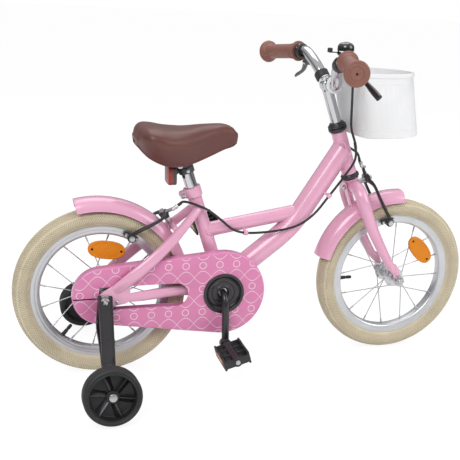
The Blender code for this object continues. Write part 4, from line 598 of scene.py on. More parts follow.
class Graph:
    """Builds a node tree in short lines."""

    def __init__(self, tree: bpy.types.NodeTree) -> None:
        """Keeps the tree."""
        self.tree = tree

    def add(self, kind: str, values: dict | None = None, **settings: object) -> bpy.types.Node:
        """Adds a node.

        Args:
            kind: the node's type, without its ShaderNode start.
            values: constants and sockets for its inputs, by name or number.
            settings: properties of the node.

        Returns:
            The node.
        """
        node = self.tree.nodes.new(kind if kind.startswith("Node") else "ShaderNode" + kind)
        for key, value in settings.items():
            setattr(node, key, value)
        return self.give(node, values or {})

    def give(self, node: bpy.types.Node, values: dict) -> bpy.types.Node:
        """Sets constants and joins sockets to a node's inputs."""
        for key, value in values.items():
            if isinstance(value, bpy.types.NodeSocket):
                self.tree.links.new(value, node.inputs[key])
            else:
                node.inputs[key].default_value = value
        return node

    def math(self, operation: str, *values: object) -> bpy.types.NodeSocket:
        """Adds a Math node and returns its result."""
        return self.add("Math", dict(enumerate(values)), operation=operation).outputs[0]

    def ramp(self, *values: object) -> bpy.types.NodeSocket:
        """Maps a value from one span to another (to 0 and 1 if not given), held at its ends."""
        return self.add("MapRange", dict(enumerate(values))).outputs[0]

    def mix(self, factor: object, one: object, two: object) -> bpy.types.NodeSocket:
        """Mixes two colours and returns the result."""
        return self.add("Mix", {0: factor, 6: one, 7: two}, data_type="RGBA").outputs[2]

    def place(self, kind: str = "Object") -> bpy.types.NodeSocket:
        """Texture coordinates of a kind."""
        return self.add("TexCoord").outputs[kind]

    def noise(self, place: object, scale: object, detail: float = 3.0, output: int = 0) -> bpy.types.NodeSocket:
        """A noise over coordinates: its value, or its colour as output 1."""
        return self.add("TexNoise", {"Vector": place, "Scale": scale, "Detail": detail}).outputs[output]

    def stretch(self, place: object, scale: tuple, turn: tuple = (0, 0, 0)) -> bpy.types.NodeSocket:
        """Scales and turns coordinates."""
        return self.add("Mapping", {"Vector": place, "Scale": scale, "Rotation": turn}).outputs[0]


class EffectGraph(Graph):
    """A node group with float inputs and the outputs Value and Height."""

    def __init__(self, name: str, **inputs: float) -> None:
        """Starts the group with named inputs and their start values."""
        super().__init__(bpy.data.node_groups.new(name, "ShaderNodeTree"))
        face = self.tree.interface
        for key, value in inputs.items():
            face.new_socket(key, in_out="INPUT", socket_type="NodeSocketFloat").default_value = value
        for key in ("Value", "Height"):
            face.new_socket(key, in_out="OUTPUT", socket_type="NodeSocketFloat")
        self.given = self.add("NodeGroupInput").outputs

    def done(self, value: bpy.types.NodeSocket, height: bpy.types.NodeSocket | None = None) -> bpy.types.NodeTree:
        """Joins the two results, the height being the value if not given, and returns the group."""
        self.add("NodeGroupOutput", {"Value": value, "Height": height or value})
        return self.tree


def grain_group(name: str) -> bpy.types.NodeTree:
    """Broad colour drift and a fine skin: two noises of object coordinates."""
    g = EffectGraph(name, Broad=18.0, Fine=900.0)
    place = g.place()
    return g.done(g.noise(place, g.given["Broad"], 4.0), g.noise(place, g.given["Fine"]))


def scratches_group(name: str) -> bpy.types.NodeTree:
    """Hairline handling marks: ridges of a long, thin noise where a broad noise is high."""
    g = EffectGraph(name, Amount=0.5)
    place = g.place()
    lines = []
    for turn, scale in (((0.3, 0.9, 0.4), 420.0), ((1.2, 0.2, 2.1), 300.0)):
        thin = g.noise(g.stretch(place, (1.0, 0.05, 1.0), turn), scale, 2.0)
        lines.append(g.ramp(g.math("ABSOLUTE", g.math("SUBTRACT", thin, 0.5)), 0.0, 0.012, 1.0, 0.0))
    where = g.ramp(g.noise(place, 26.0), 0.48, 0.66)
    return g.done(g.math("MULTIPLY", g.math("MULTIPLY", g.math("MAXIMUM", *lines), where), g.given["Amount"]))


def leather_group(name: str) -> bpy.types.NodeTree:
    """Soft grained cover: rounded cells of two sizes with creases between them."""
    g = EffectGraph(name, Scale=700.0)
    place = g.place()
    bent = g.add("VectorMath", {0: g.noise(place, 260.0, 2.0, 1), 1: (0.0022,) * 3}, operation="MULTIPLY")
    bent = g.add("VectorMath", {0: place, 1: bent.outputs[0]}, operation="ADD").outputs[0]
    cell = g.add("TexVoronoi", {"Vector": bent, "Scale": g.given["Scale"]}, feature="DISTANCE_TO_EDGE")
    crease = g.ramp(cell.outputs["Distance"], 0.0, 0.16)
    height = g.math("ADD", crease, g.math("MULTIPLY", g.noise(place, 2600.0, 2.0), 0.35))
    drift = g.math("MULTIPLY", g.noise(place, 34.0, 4.0), 0.55)
    return g.done(g.math("ADD", g.math("MULTIPLY", crease, 0.45), drift), height)


def spangle_group(name: str) -> bpy.types.NodeTree:
    """Zinc crystals: cells with their own brightness, over a fine noise."""
    g = EffectGraph(name, Scale=800.0)
    place = g.place()
    cell = g.add("TexVoronoi", {"Vector": place, "Scale": g.given["Scale"]})
    tone = g.add("SeparateColor", {0: cell.outputs["Color"]}).outputs[0]
    return g.done(tone, g.noise(place, 1800.0, 2.0))


def edge_highlight_group(name: str) -> bpy.types.NodeTree:
    """Painted edge highlight: convex places found by the surface's pointiness, broken by a noise."""
    g = EffectGraph(name, Start=0.54)
    start = g.given["Start"]
    edge = g.ramp(g.add("NewGeometry").outputs["Pointiness"], start, g.math("ADD", start, 0.08))
    return g.done(g.math("MULTIPLY", edge, g.ramp(g.noise(g.place(), 150.0, 4.0), 0.42, 0.62)))


def prisms_group(name: str) -> bpy.types.NodeTree:
    """Corner prisms of a reflector: the ridges of three sets of lines at sixty degrees, used as a bump and as a
    painted glint on each ridge.
    """
    g = EffectGraph(name, Pitch=0.0024)
    x, y, z = g.add("SeparateXYZ", {0: g.place()}).outputs
    across = g.math("ADD", x, g.math("MULTIPLY", y, 0.9))
    ridges = []
    for turn in (0.3, 0.3 + TAU / 6, 0.3 + TAU / 3):
        run = g.math("ADD", g.math("MULTIPLY", across, math.cos(turn)), g.math("MULTIPLY", z, math.sin(turn)))
        ridges.append(g.math("PINGPONG", g.math("DIVIDE", run, g.given["Pitch"]), 0.5))
    return g.done(g.math("DIVIDE", g.math("ADD", g.math("ADD", ridges[0], ridges[1]), ridges[2]), 1.5))


def trellis_group(name: str) -> bpy.types.NodeTree:
    """White line print: crossing waves z = n * step + a sin(kx) and their mirror, with a ring in each gap."""
    g = EffectGraph(name, Step=0.050, Line=0.0009)
    wave_length, swing, ring = 0.0112, 0.0132, 0.0068
    x, _, z = g.add("SeparateXYZ", {0: g.place()}).outputs
    z = g.math("SUBTRACT", z, 0.008)
    half_step = g.math("MULTIPLY", g.given["Step"], 0.5)
    wave = g.math("MULTIPLY", g.math("SINE", g.math("DIVIDE", x, wave_length)), swing)
    marks = [g.math("PINGPONG", g.math(way, z, wave), half_step) for way in ("ADD", "SUBTRACT")]
    quarter = wave_length * QUARTER
    ring_x = g.math("PINGPONG", g.math("ADD", x, quarter), quarter)
    ring_z = g.math("PINGPONG", g.math("ADD", z, half_step), half_step)
    reach = g.math("SQRT", g.math("ADD", g.math("POWER", ring_x, 2.0), g.math("POWER", ring_z, 2.0)))
    off_ring = g.math("ABSOLUTE", g.math("SUBTRACT", reach, ring))
    closest = g.math("MINIMUM", g.math("MINIMUM", *marks), off_ring)
    half, edge = (g.math("MULTIPLY", g.given["Line"], share) for share in (0.5, 0.85))
    return g.done(g.ramp(closest, half, edge, 1.0, 0.0))


def knurl_group(name: str) -> bpy.types.NodeTree:
    """Crossing grooves on a tyre's shoulders, where |sin| of u + v or u - v is small.

    The UV map runs round the tyre and over it; the mask keeps the grooves to the bands at both
    sides of the middle of the tread. Its value darkens the grooves as painted shade, and its
    height sinks them as a bump.
    """
    g = EffectGraph(name, Pitch=0.0064, Shoulder=0.0135, Half=0.0125, Middle=0.0415)
    along, over, _ = g.add("SeparateXYZ", {0: g.place("UV")}).outputs
    pitch, half = g.given["Pitch"], g.given["Half"]
    slant = g.math("MULTIPLY", over, 0.9)
    marks = [g.math("PINGPONG", g.math(way, along, slant), g.math("MULTIPLY", pitch, 0.5))
             for way in ("ADD", "SUBTRACT")]
    groove = g.ramp(g.math("DIVIDE", g.math("MINIMUM", *marks), pitch), 0.07, 0.16, 1.0, 0.0)
    aside = g.math("ABSOLUTE", g.math("SUBTRACT", over, g.given["Middle"]))
    off = g.math("ABSOLUTE", g.math("SUBTRACT", aside, g.given["Shoulder"]))
    value = g.math("MULTIPLY", groove, g.ramp(off, g.math("MULTIPLY", half, 0.85), half, 1.0, 0.0))
    return g.done(g.math("MULTIPLY", value, 0.75), g.math("SUBTRACT", 1.0, value))


def brushed_group(name: str) -> bpy.types.NodeTree:
    """Polishing lines that run round a turned piece: a noise stretched along the UV map's first way."""
    g = EffectGraph(name, Scale=2600.0)
    return g.done(g.noise(g.stretch(g.place("UV"), (0.02, 1.0, 1.0)), g.given["Scale"]))


class Effect(Enum):
    """Shared effects, each a node group that reads object coordinates or the UV map."""

    GRAIN = "grain"
    SCRATCHES = "fine_scratches"
    LEATHER = "leather_grain"
    SPANGLE = "zinc_spangle"
    # a painted highlight on convex edges
    EDGE_HIGHLIGHT = "painted_edge_highlight"
    PRISMS = "lens_prisms"
    TRELLIS = "trellis_print"
    KNURL = "knurl"
    BRUSHED = "brushed_lines"

    def group(self) -> bpy.types.NodeTree:
        """The effect's node group, made once."""
        return bpy.data.node_groups.get(self.value) or MAKERS[self](self.value)


MAKERS = dict(zip(Effect, (grain_group, scratches_group, leather_group, spangle_group, edge_highlight_group,
                           prisms_group, trellis_group, knurl_group, brushed_group)))
Colour = tuple[float, float, float]


@dataclass(frozen=True)
class Finish:
    """One surface finish of the bicycle and how strongly each effect shows in it."""

    name: str
    slot: str
    colour: Colour
    roughness: float
    metallic: float = 0.0
    coat: float = 0.0
    drift: float = 0.08
    rough_drift: float = 0.08
    broad: float = 18.0
    fine: float = 900.0
    bump: float = 0.03
    bump_depth: float = 0.0003
    effect: Effect = Effect.GRAIN
    effect_values: tuple[tuple[str, float], ...] = ()
    second: Colour | None = None
    # colour and strength of the painted highlight on convex edges
    highlight_colour: Colour | None = None
    edge_highlight: float = 0.0
    subsurface: float = 0.0
    specular: float = 0.5

    def build(self) -> bpy.types.Material:
        """Makes the material.

        The base colour drifts darker with the broad noise, takes the second colour where the effect
        is high, and a lighter colour at convex edges as a painted highlight. Roughness drifts with
        the same noise, and a bump carries the fine height.

        Returns:
            The material.
        """
        made = bpy.data.materials.new(self.name)
        made.use_nodes = True
        g = Graph(made.node_tree)

        def place(effect: Effect, **values: float) -> bpy.types.bpy_prop_collection:
            """Puts an effect's group in the material and returns its results."""
            return g.add("Group", values, node_tree=effect.group()).outputs

        grain = place(Effect.GRAIN, Broad=self.broad, Fine=self.fine)
        dark = tuple(c * (1 - self.drift) for c in self.colour)
        light = tuple(min(1.0, c * (1 + 0.5 * self.drift)) for c in self.colour)
        spread = g.ramp(grain["Value"], 0.3, 0.7)
        colour, height, rough_from = g.mix(spread, (*dark, 1), (*light, 1)), grain["Height"], spread
        if self.effect is not Effect.GRAIN:
            extra = place(self.effect, **dict(self.effect_values))
            height = extra["Height"]
            if self.second is not None:
                colour = g.mix(extra["Value"], colour, (*self.second, 1))
            else:
                rough_from = g.math("MULTIPLY_ADD", extra["Value"], 0.7, g.math("MULTIPLY", spread, 0.3))
        half = self.rough_drift / 2
        roughness = g.ramp(rough_from, 0.0, 1.0, max(0.02, self.roughness - half), self.roughness + half)
        # painted highlight: convex edges take the lighter highlight colour
        if self.highlight_colour is not None:
            amount = g.math("MULTIPLY", place(Effect.EDGE_HIGHLIGHT)["Value"], self.edge_highlight)
            colour = g.mix(amount, colour, (*self.highlight_colour, 1))
        bump = g.add("Bump", {"Strength": self.bump, "Distance": self.bump_depth, "Height": height})
        g.give(made.node_tree.nodes["Principled BSDF"], {
            "Base Color": colour, "Roughness": roughness, "Normal": bump.outputs[0],
            "Metallic": self.metallic, "Coat Weight": self.coat, "Coat Roughness": 0.06,
            "Subsurface Weight": self.subsurface, "Specular IOR Level": self.specular,
            "Subsurface Radius": (0.01, 0.008, 0.006), "Subsurface Scale": 0.2})
        made.diffuse_color = (*self.colour, 1)
        return made


class Looks:
    """Every finish of the bicycle, made once and handed out by name."""

    FINISHES = (
        Finish("pink_paint", "pink_paint", (0.775, 0.385, 0.545), 0.22, coat=0.75, drift=0.03, bump=0.05,
               fine=520.0, highlight_colour=(0.86, 0.58, 0.70), edge_highlight=0.35),
        Finish("case_pink", "chain_case_pink", (0.720, 0.255, 0.480), 0.30, coat=0.35, drift=0.03,
               fine=620.0, bump=0.05, highlight_colour=(0.86, 0.42, 0.62), edge_highlight=0.4),
        Finish("case_print", "chain_case_pink", (0.690, 0.215, 0.415), 0.30, coat=0.35, drift=0.03,
               effect=Effect.TRELLIS, second=(0.86, 0.72, 0.80), bump=0.05, bump_depth=0.0001),
        # the darker second colour in the knurl grooves is painted shade
        Finish("cream_rubber", "cream_rubber", (0.655, 0.580, 0.425), 0.72, drift=0.12, rough_drift=0.12,
               broad=26.0, effect=Effect.KNURL, second=(0.34, 0.27, 0.17), bump=0.6, bump_depth=0.0008,
               highlight_colour=(0.73, 0.67, 0.52), edge_highlight=0.3, specular=0.3),
        Finish("black_rubber", "black_rubber", (0.014, 0.014, 0.015), 0.52, drift=0.3, fine=1400.0,
               bump=0.2, highlight_colour=(0.07, 0.07, 0.07), edge_highlight=0.5),
        Finish("silver_alloy", "silver_alloy", (0.640, 0.650, 0.670), 0.34, 0.9, drift=0.08,
               effect=Effect.BRUSHED, bump=0.10, bump_depth=0.0001, rough_drift=0.12),
        Finish("zinc_steel", "zinc_steel", (0.560, 0.565, 0.580), 0.30, 1.0, drift=0.12,
               effect=Effect.SPANGLE, bump=0.12, bump_depth=0.0001, rough_drift=0.18),
        Finish("chrome", "chrome", (0.600, 0.605, 0.620), 0.075, 1.0, drift=0.03, effect=Effect.SCRATCHES,
               effect_values=(("Amount", 0.7),), bump=0.04, bump_depth=0.0001, rough_drift=0.06),
        Finish("black_paint", "black_paint", (0.013, 0.011, 0.014), 0.28, coat=0.4, drift=0.25, fine=700.0,
               bump=0.08, highlight_colour=(0.10, 0.10, 0.105), edge_highlight=0.6),
        Finish("black_resin", "black_resin", (0.026, 0.026, 0.028), 0.42, drift=0.25, fine=1900.0,
               bump=0.35, highlight_colour=(0.085, 0.085, 0.088), edge_highlight=0.7),
        Finish("pressed_steel", "black_pressed_steel", (0.030, 0.030, 0.033), 0.34, 0.3, drift=0.2,
               fine=1100.0, bump=0.15, highlight_colour=(0.16, 0.16, 0.165), edge_highlight=0.7),
        Finish("brown_cover", "brown_cover", (0.132, 0.043, 0.034), 0.37, drift=0.16, rough_drift=0.12,
               effect=Effect.LEATHER, effect_values=(("Scale", 620.0),), bump=0.20, bump_depth=0.00025,
               highlight_colour=(0.22, 0.09, 0.07), edge_highlight=0.3),
        Finish("brown_grip", "brown_cover", (0.255, 0.105, 0.078), 0.46, drift=0.14, fine=1700.0,
               bump=0.3, highlight_colour=(0.30, 0.14, 0.11), edge_highlight=0.5),
        Finish("white_plastic", "white_plastic", (0.830, 0.835, 0.845), 0.34, drift=0.03, fine=1200.0,
               bump=0.12, highlight_colour=(0.90, 0.90, 0.90), edge_highlight=0.3, subsurface=0.15),
        # the lighter second colour on the prism ridges of both lenses is a painted glint
        Finish("amber_lens", "amber_lens", (0.620, 0.145, 0.002), 0.26, coat=0.1, drift=0.10,
               effect=Effect.PRISMS, bump=0.9, bump_depth=0.0012, second=(0.95, 0.340, 0.003), specular=0.25),
        Finish("red_lens", "red_lens", (0.280, 0.020, 0.016), 0.30, coat=0.2, drift=0.10,
               effect=Effect.PRISMS, bump=0.9, bump_depth=0.0012, second=(0.40, 0.045, 0.03)),
        Finish("reflector_back", "black_resin", (0.070, 0.070, 0.072), 0.45, drift=0.2, fine=1500.0,
               bump=0.25, highlight_colour=(0.16, 0.16, 0.16), edge_highlight=0.5),
        Finish("bell_gloss", "black_bell", (0.012, 0.012, 0.013), 0.10, coat=1.0, drift=0.2, fine=400.0,
               bump=0.02, highlight_colour=(0.06, 0.06, 0.06), edge_highlight=0.3),
        Finish("cable_jacket", "black_cable", (0.014, 0.014, 0.015), 0.36, drift=0.25, fine=1600.0,
               bump=0.12, highlight_colour=(0.06, 0.06, 0.06), edge_highlight=0.4),
        # near black stand-in for the shade inside holes: painted shade
        Finish("painted_hole_shade", "black_resin", (0.006, 0.006, 0.006), 0.8, drift=0.3, fine=900.0, bump=0.2),
    )

    def __init__(self) -> None:
        """Makes every finish."""
        self.finishes = {finish.name: finish for finish in self.FINISHES}
        self.made = {name: finish.build() for name, finish in self.finishes.items()}

    def get(self, *names: str) -> list[bpy.types.Material]:
        """The materials of these names, in order."""
        return [self.made[name] for name in names]


@dataclass
class Assembly:
    """A group of pieces that share a look book; hang() puts a piece on its body."""

    looks: Looks

    def hang(self, form: Form | bpy.types.Object, name: str, body: str, looks: tuple[str, ...] | str,
             node: str = "", angle: float = 38.0) -> bpy.types.Object:
        """Makes a piece from its form, gives it its finish and hangs it from a body.

        Args:
            form: the gathered surface, or a finished object.
            name: the piece's name.
            body: the body that carries it.
            looks: its finishes, by slot number.
            node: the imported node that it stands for.
            angle: faces that meet at more degrees than this keep a sharp edge.

        Returns:
            The object.
        """
        looks = (looks,) if isinstance(looks, str) else looks
        if isinstance(form, Form):
            form = form.build(name, self.looks.get(*looks), angle)
        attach(form, body)
        if node:
            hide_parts(node)
        LOG.info("%s: %d faces on %s", name, len(form.data.polygons), body)
        return form


# Wheels

@dataclass
class Wheel(Assembly):
    """A spoked wheel: tyre, tube with its valve, rim, hub, spokes and side reflector."""

    prefix: str
    axle: Vec
    valve_angle: float
    phase: float
    lean: float
    signs: tuple[int, int, int, int]
    near_end: float
    near_radius: float
    reflector_angle: float
    reflector_reach: float
    clip_spreads: tuple[float, float]
    clip_stand: float
    rim_inner: float = 0.1200
    flange_offset: float = 0.0245
    spoke_circle: float = 0.019
    spokes: int = 16
    ribs: int = 190

    def put(self, form: Form, word: str, looks: tuple[str, ...] | str, node: str = "") -> None:
        """Hangs a piece from this wheel under its prefix."""
        node = f"{self.prefix}_{node}" if node else ""
        self.hang(form, f"{self.prefix}_{word}", self.prefix + "_wheel", looks, node)

    def tyre(self) -> None:
        """The cream tyre.

        The section is a smooth curve through half points. Over it, ribs stand out by
        depth * sin(ribs * a + slant * s) above zero, on the two shoulders, with s the distance
        across; they turn the other way on the other side, as a herringbone.
        """
        half = mm(131.3, 7.9, 131.3, 11.3, 137, 11.4, 140, 13.5, 144, 19.5, 150, 22.9, 156.5, 23.4,
                  162.5, 21.2, 168, 16, 171.4, 9, 172.2, 0)
        line = smooth(np.insert(mirrored(half), 2, 0, axis=1), 0.0016)[:, :2]
        steps = 1140
        rows = turned(line, self.axle, NEAR, steps)
        angle = np.arange(steps) * TAU / steps
        across, radius = np.abs(line[:, 1:]), line[:, :1]
        shoulder = np.clip((radius - 0.1560) / 0.004, 0, 1)
        middle = np.clip((across - 0.0022) / 0.0015, 0, 1)
        wave = np.sin(self.ribs * angle + 620 * across)
        height = 0.00075 * np.clip(2.2 * wave, 0, 1) * shoulder * middle
        side = np.clip((radius - 0.1450) / 0.003, 0, 1) * (1 - shoulder)
        cross = np.sin(self.ribs * angle + 900 * across)
        height += 0.00022 * np.clip(2.0 * cross, 0, 1) * side
        out = unit(rows - turned(mm(152, 0), self.axle, NEAR, steps))
        form = Form().add(rows + height[..., None] * out, close=True)
        t = np.linspace(0, TAU, 8, endpoint=False)
        bead = mm(143.2, 18.4) + 0.0006 * np.column_stack([np.cos(t), np.sin(t)])
        for sign in (-1, 1):
            form.add(turned(bead * (1, sign), self.axle, NEAR, 160), close=True)
        self.put(form, "tyre_cover", "cream_rubber", "tyre")

    def tube(self) -> None:
        """The inner tube in the tyre and its valve stem with a ribbed cap."""
        angle = np.linspace(0, TAU, 20, endpoint=False)
        round_section = mm(148.5, 0) + np.column_stack([0.0145 * np.cos(angle), 0.0135 * np.sin(angle)])
        form = Form().add(turned(round_section, self.axle, NEAR, 96), close=True)
        ray = heading(self.valve_angle)
        foot = self.axle + self.rim_inner * ray
        form.lathe(mm(0, -27.5, 2.6, -27.5, 3.3, -25.5, 3.3, -16.5, 3, -15.5, 3, -14.5, 3.7, -13, 4.2, -2,
                      4.2, 16, 0, 16), foot, ray, 24, 0.5)
        for out in rays(ray, np.arange(10) * TAU / 10):
            form.rod(foot + 0.0033 * out, ray, -25, -17, 0.45, 6, 0.2)
        self.put(form, "tube_and_valve", "black_rubber", "inner_tube")

    def rim(self) -> None:
        """The alloy rim: a hollow-backed section with two flat braking sides and a seam round each."""
        half = mm(131, 11.7, 138.5, 11.7, 138.8, 12.4, 138.5, 13, 131.2, 13, 130.6, 12.6, 126.4, 12.6,
                  124, 12.1, 121.6, 10.2, 120.3, 7, 120, 0)
        form = Form().ring(mirrored(half), self.axle, NEAR, 180, steps=2)
        self.put(form, "rim_hoop", "silver_alloy", "rim")

    def hub(self) -> None:
        """The hub shell with its flanges and dust caps."""
        near, end = self.near_radius, self.near_end
        form = Form().ring(mm(5.1, -30, 11, -30, 11.5, -28.5, 11.5, -26.9, 15, -25.9, 22, -25.9, 22, -23.1,
                              14, -23.1, 11.2, -19, 10, -12, 10, 12, 11.2, 19, 14, 23.1, 22, 23.1, 22, 25.9,
                              max(near, 12.5), 25.9, near, 26.9, near, end, 5.1, end),
                           self.axle, NEAR, 64, 0.7)
        self.put(form, "hub_shell", "silver_alloy", "hub")

    def wires(self) -> None:
        """The spokes, crossing as the wheel is laced, with heads at the flange and nipples at the rim."""
        form = Form()
        turn = np.linspace(-QUARTER, QUARTER, 13)
        head = np.column_stack([0.0020 * np.cos(turn), 0.0009 * np.sin(turn)])
        for k in range(self.spokes):
            sign, side = self.signs[k % 4], Y if k % 2 else NEAR
            outer = self.phase + 360 / self.spokes * k
            start = self.axle + side * self.flange_offset * (1 + 0.03 * sign)
            start = start + self.spoke_circle * heading(outer + self.lean * sign)
            end = self.axle + (self.rim_inner + 0.0004) * heading(outer)
            along, inward = unit(end - start), -sign * side
            elbow = [start + 0.0042 * inward, start + 0.0010 * inward, start + 0.0016 * along,
                     start + 0.006 * along, end - 0.010 * along, end - 0.001 * along]
            form.tube(smooth(elbow, 0.004), 1.05, 10)
            form.add(turned(head, elbow[0], side, 32))
            form.lathe(mm(0, -12.5, 1.4, -12.5, 1.7, -11.5, 1.7, -0.5, 2.6, 0, 2.6, 0.8, 0, 0.8),
                       end - 0.0002 * along, along, 12, 0.2)
        self.put(form, "spokes", "zinc_steel")

    def reflector(self) -> None:
        """The amber reflector: two lens faces in a rounded oval with a raised border and two clips."""
        ray = heading(self.reflector_angle)
        tangent = np.cross(NEAR, ray)
        centre = self.axle + self.reflector_reach * ray
        half_height = 18.5
        border = oval(37, half_height, 96, 0.86)
        levels = [(half_height, 11.8), (0.14 * half_height, 11.8), (0.05 * half_height, 11.9), (0, 12.4), (0, 17),
                  (0.7, 18.1), (2, 18.6), (3, 18.3), (3.7, 17.6), (4.4, 17.6), (half_height, 17.8)]
        rows = [centre + (1 - inset / half_height) * border @ np.array([tangent, ray]) + height * MM * NEAR
                for inset, height in levels]
        form = Form().add(np.array(rows))
        # dark discs at both ends of the lens: painted shade in the two screw holes
        for end in (-1, 1):
            form.lathe(mm(0, 16.5, 2.4, 16.5, 2.4, 18.6, 1.2, 19, 0, 19), centre + end * 0.0290 * tangent,
                       NEAR, 24, 0.4, 1)
        for spread in self.clip_spreads:
            form.rod(centre + spread * tangent, NEAR, self.clip_stand, 13.5, 3, 20, 0.8)
        self.put(form, "side_reflector", ("amber_lens", "painted_hole_shade"), "wheel_reflector")

    def make(self) -> None:
        """Makes every piece of the wheel."""
        self.tyre()
        self.tube()
        self.rim()
        self.hub()
        self.wires()
        self.reflector()


def axle_form(centre: Vec, cones: tuple[float, float], seat_at: float, lock: float, end: float) -> Form:
    """An axle with cones inside its seats, washers and flanged nuts outside, and domed end caps."""
    form = Form().rod(centre, NEAR, -end, end, 4.6, 24)
    for way, cone in zip((Y, NEAR), cones):
        form.sleeve(centre, way, 4, 7.8, cone, seat_at - 0.4, 32)
        form.sleeve(centre, way, 4.4, 11.8, lock + 0.1, lock + 1.3, 40, 0.3)
        form.nut(centre, way, 10.2, lock + 1.2, lock + 8.2)
        form.lathe(mm(5.5, lock + 7.9, 6.6, lock + 7.9, 6.4, lock + 9.5, 4.4, end + 0.4, 0, end + 0.8),
                   centre, way, 32, 1.2)
    return form


def add_shell(form: Form, outer: Vec, inner: Vec) -> None:
    """Adds two skins and the four strips that join their borders."""
    form.add(outer, wrap=False).add(inner, wrap=False)
    for edge in (0, -1):
        form.add(np.array([outer[edge], inner[edge]]), wrap=False)
        form.add(np.array([outer[:, edge], inner[:, edge]]), wrap=False)


def guard_form(centre: Vec, arc: tuple[float, float]) -> Form:
    """A mudguard: a smooth arched section turned over an arc, with a rolled hem.

    The section's height across it is radius - deep * |s|^p over a half width, with p 2.3, and its
    inner face lies a wall inside it.

    Args:
        centre: the middle of its circle.
        arc: first and last angle in degrees above straight ahead.

    Returns:
        The form, closed.
    """
    half, deep, wall = 0.029, 0.023, 0.0017
    share = np.linspace(-1, 1, 33)
    bow = np.sign(share) * (1 - (1 - np.abs(share)) ** 1.55)
    outer = np.column_stack([GUARD_RADIUS - deep * np.abs(share) ** 2.3, half * bow])
    step = np.gradient(outer, axis=0)
    normal = unit(np.column_stack([step[:, 1], -step[:, 0]]))
    inner = outer - wall * normal * np.sign(normal[16, 0])
    steps = int(arc[1] - arc[0])
    top, low = (turned(skin, centre, NEAR, steps, X, arc) for skin in (outer, inner))
    form = Form()
    add_shell(form, top, low)
    for edge in (0, -1):
        form.tube((top[edge] + low[edge]) / 2, 1.45, 10)
        form.tube((top[:, edge] + low[:, edge]) / 2, 1.25, 10)
    return form


# Frame

DOWN_CORNER = CRANK + vec(0.1579, 0, 0.1226)
DOWN_TOP = steer(HEAD_TOP - 0.0383)
TOP_TUBE = (seat(0.128), DOWN_CORNER + vec(0.0175, 0, 0.0337))


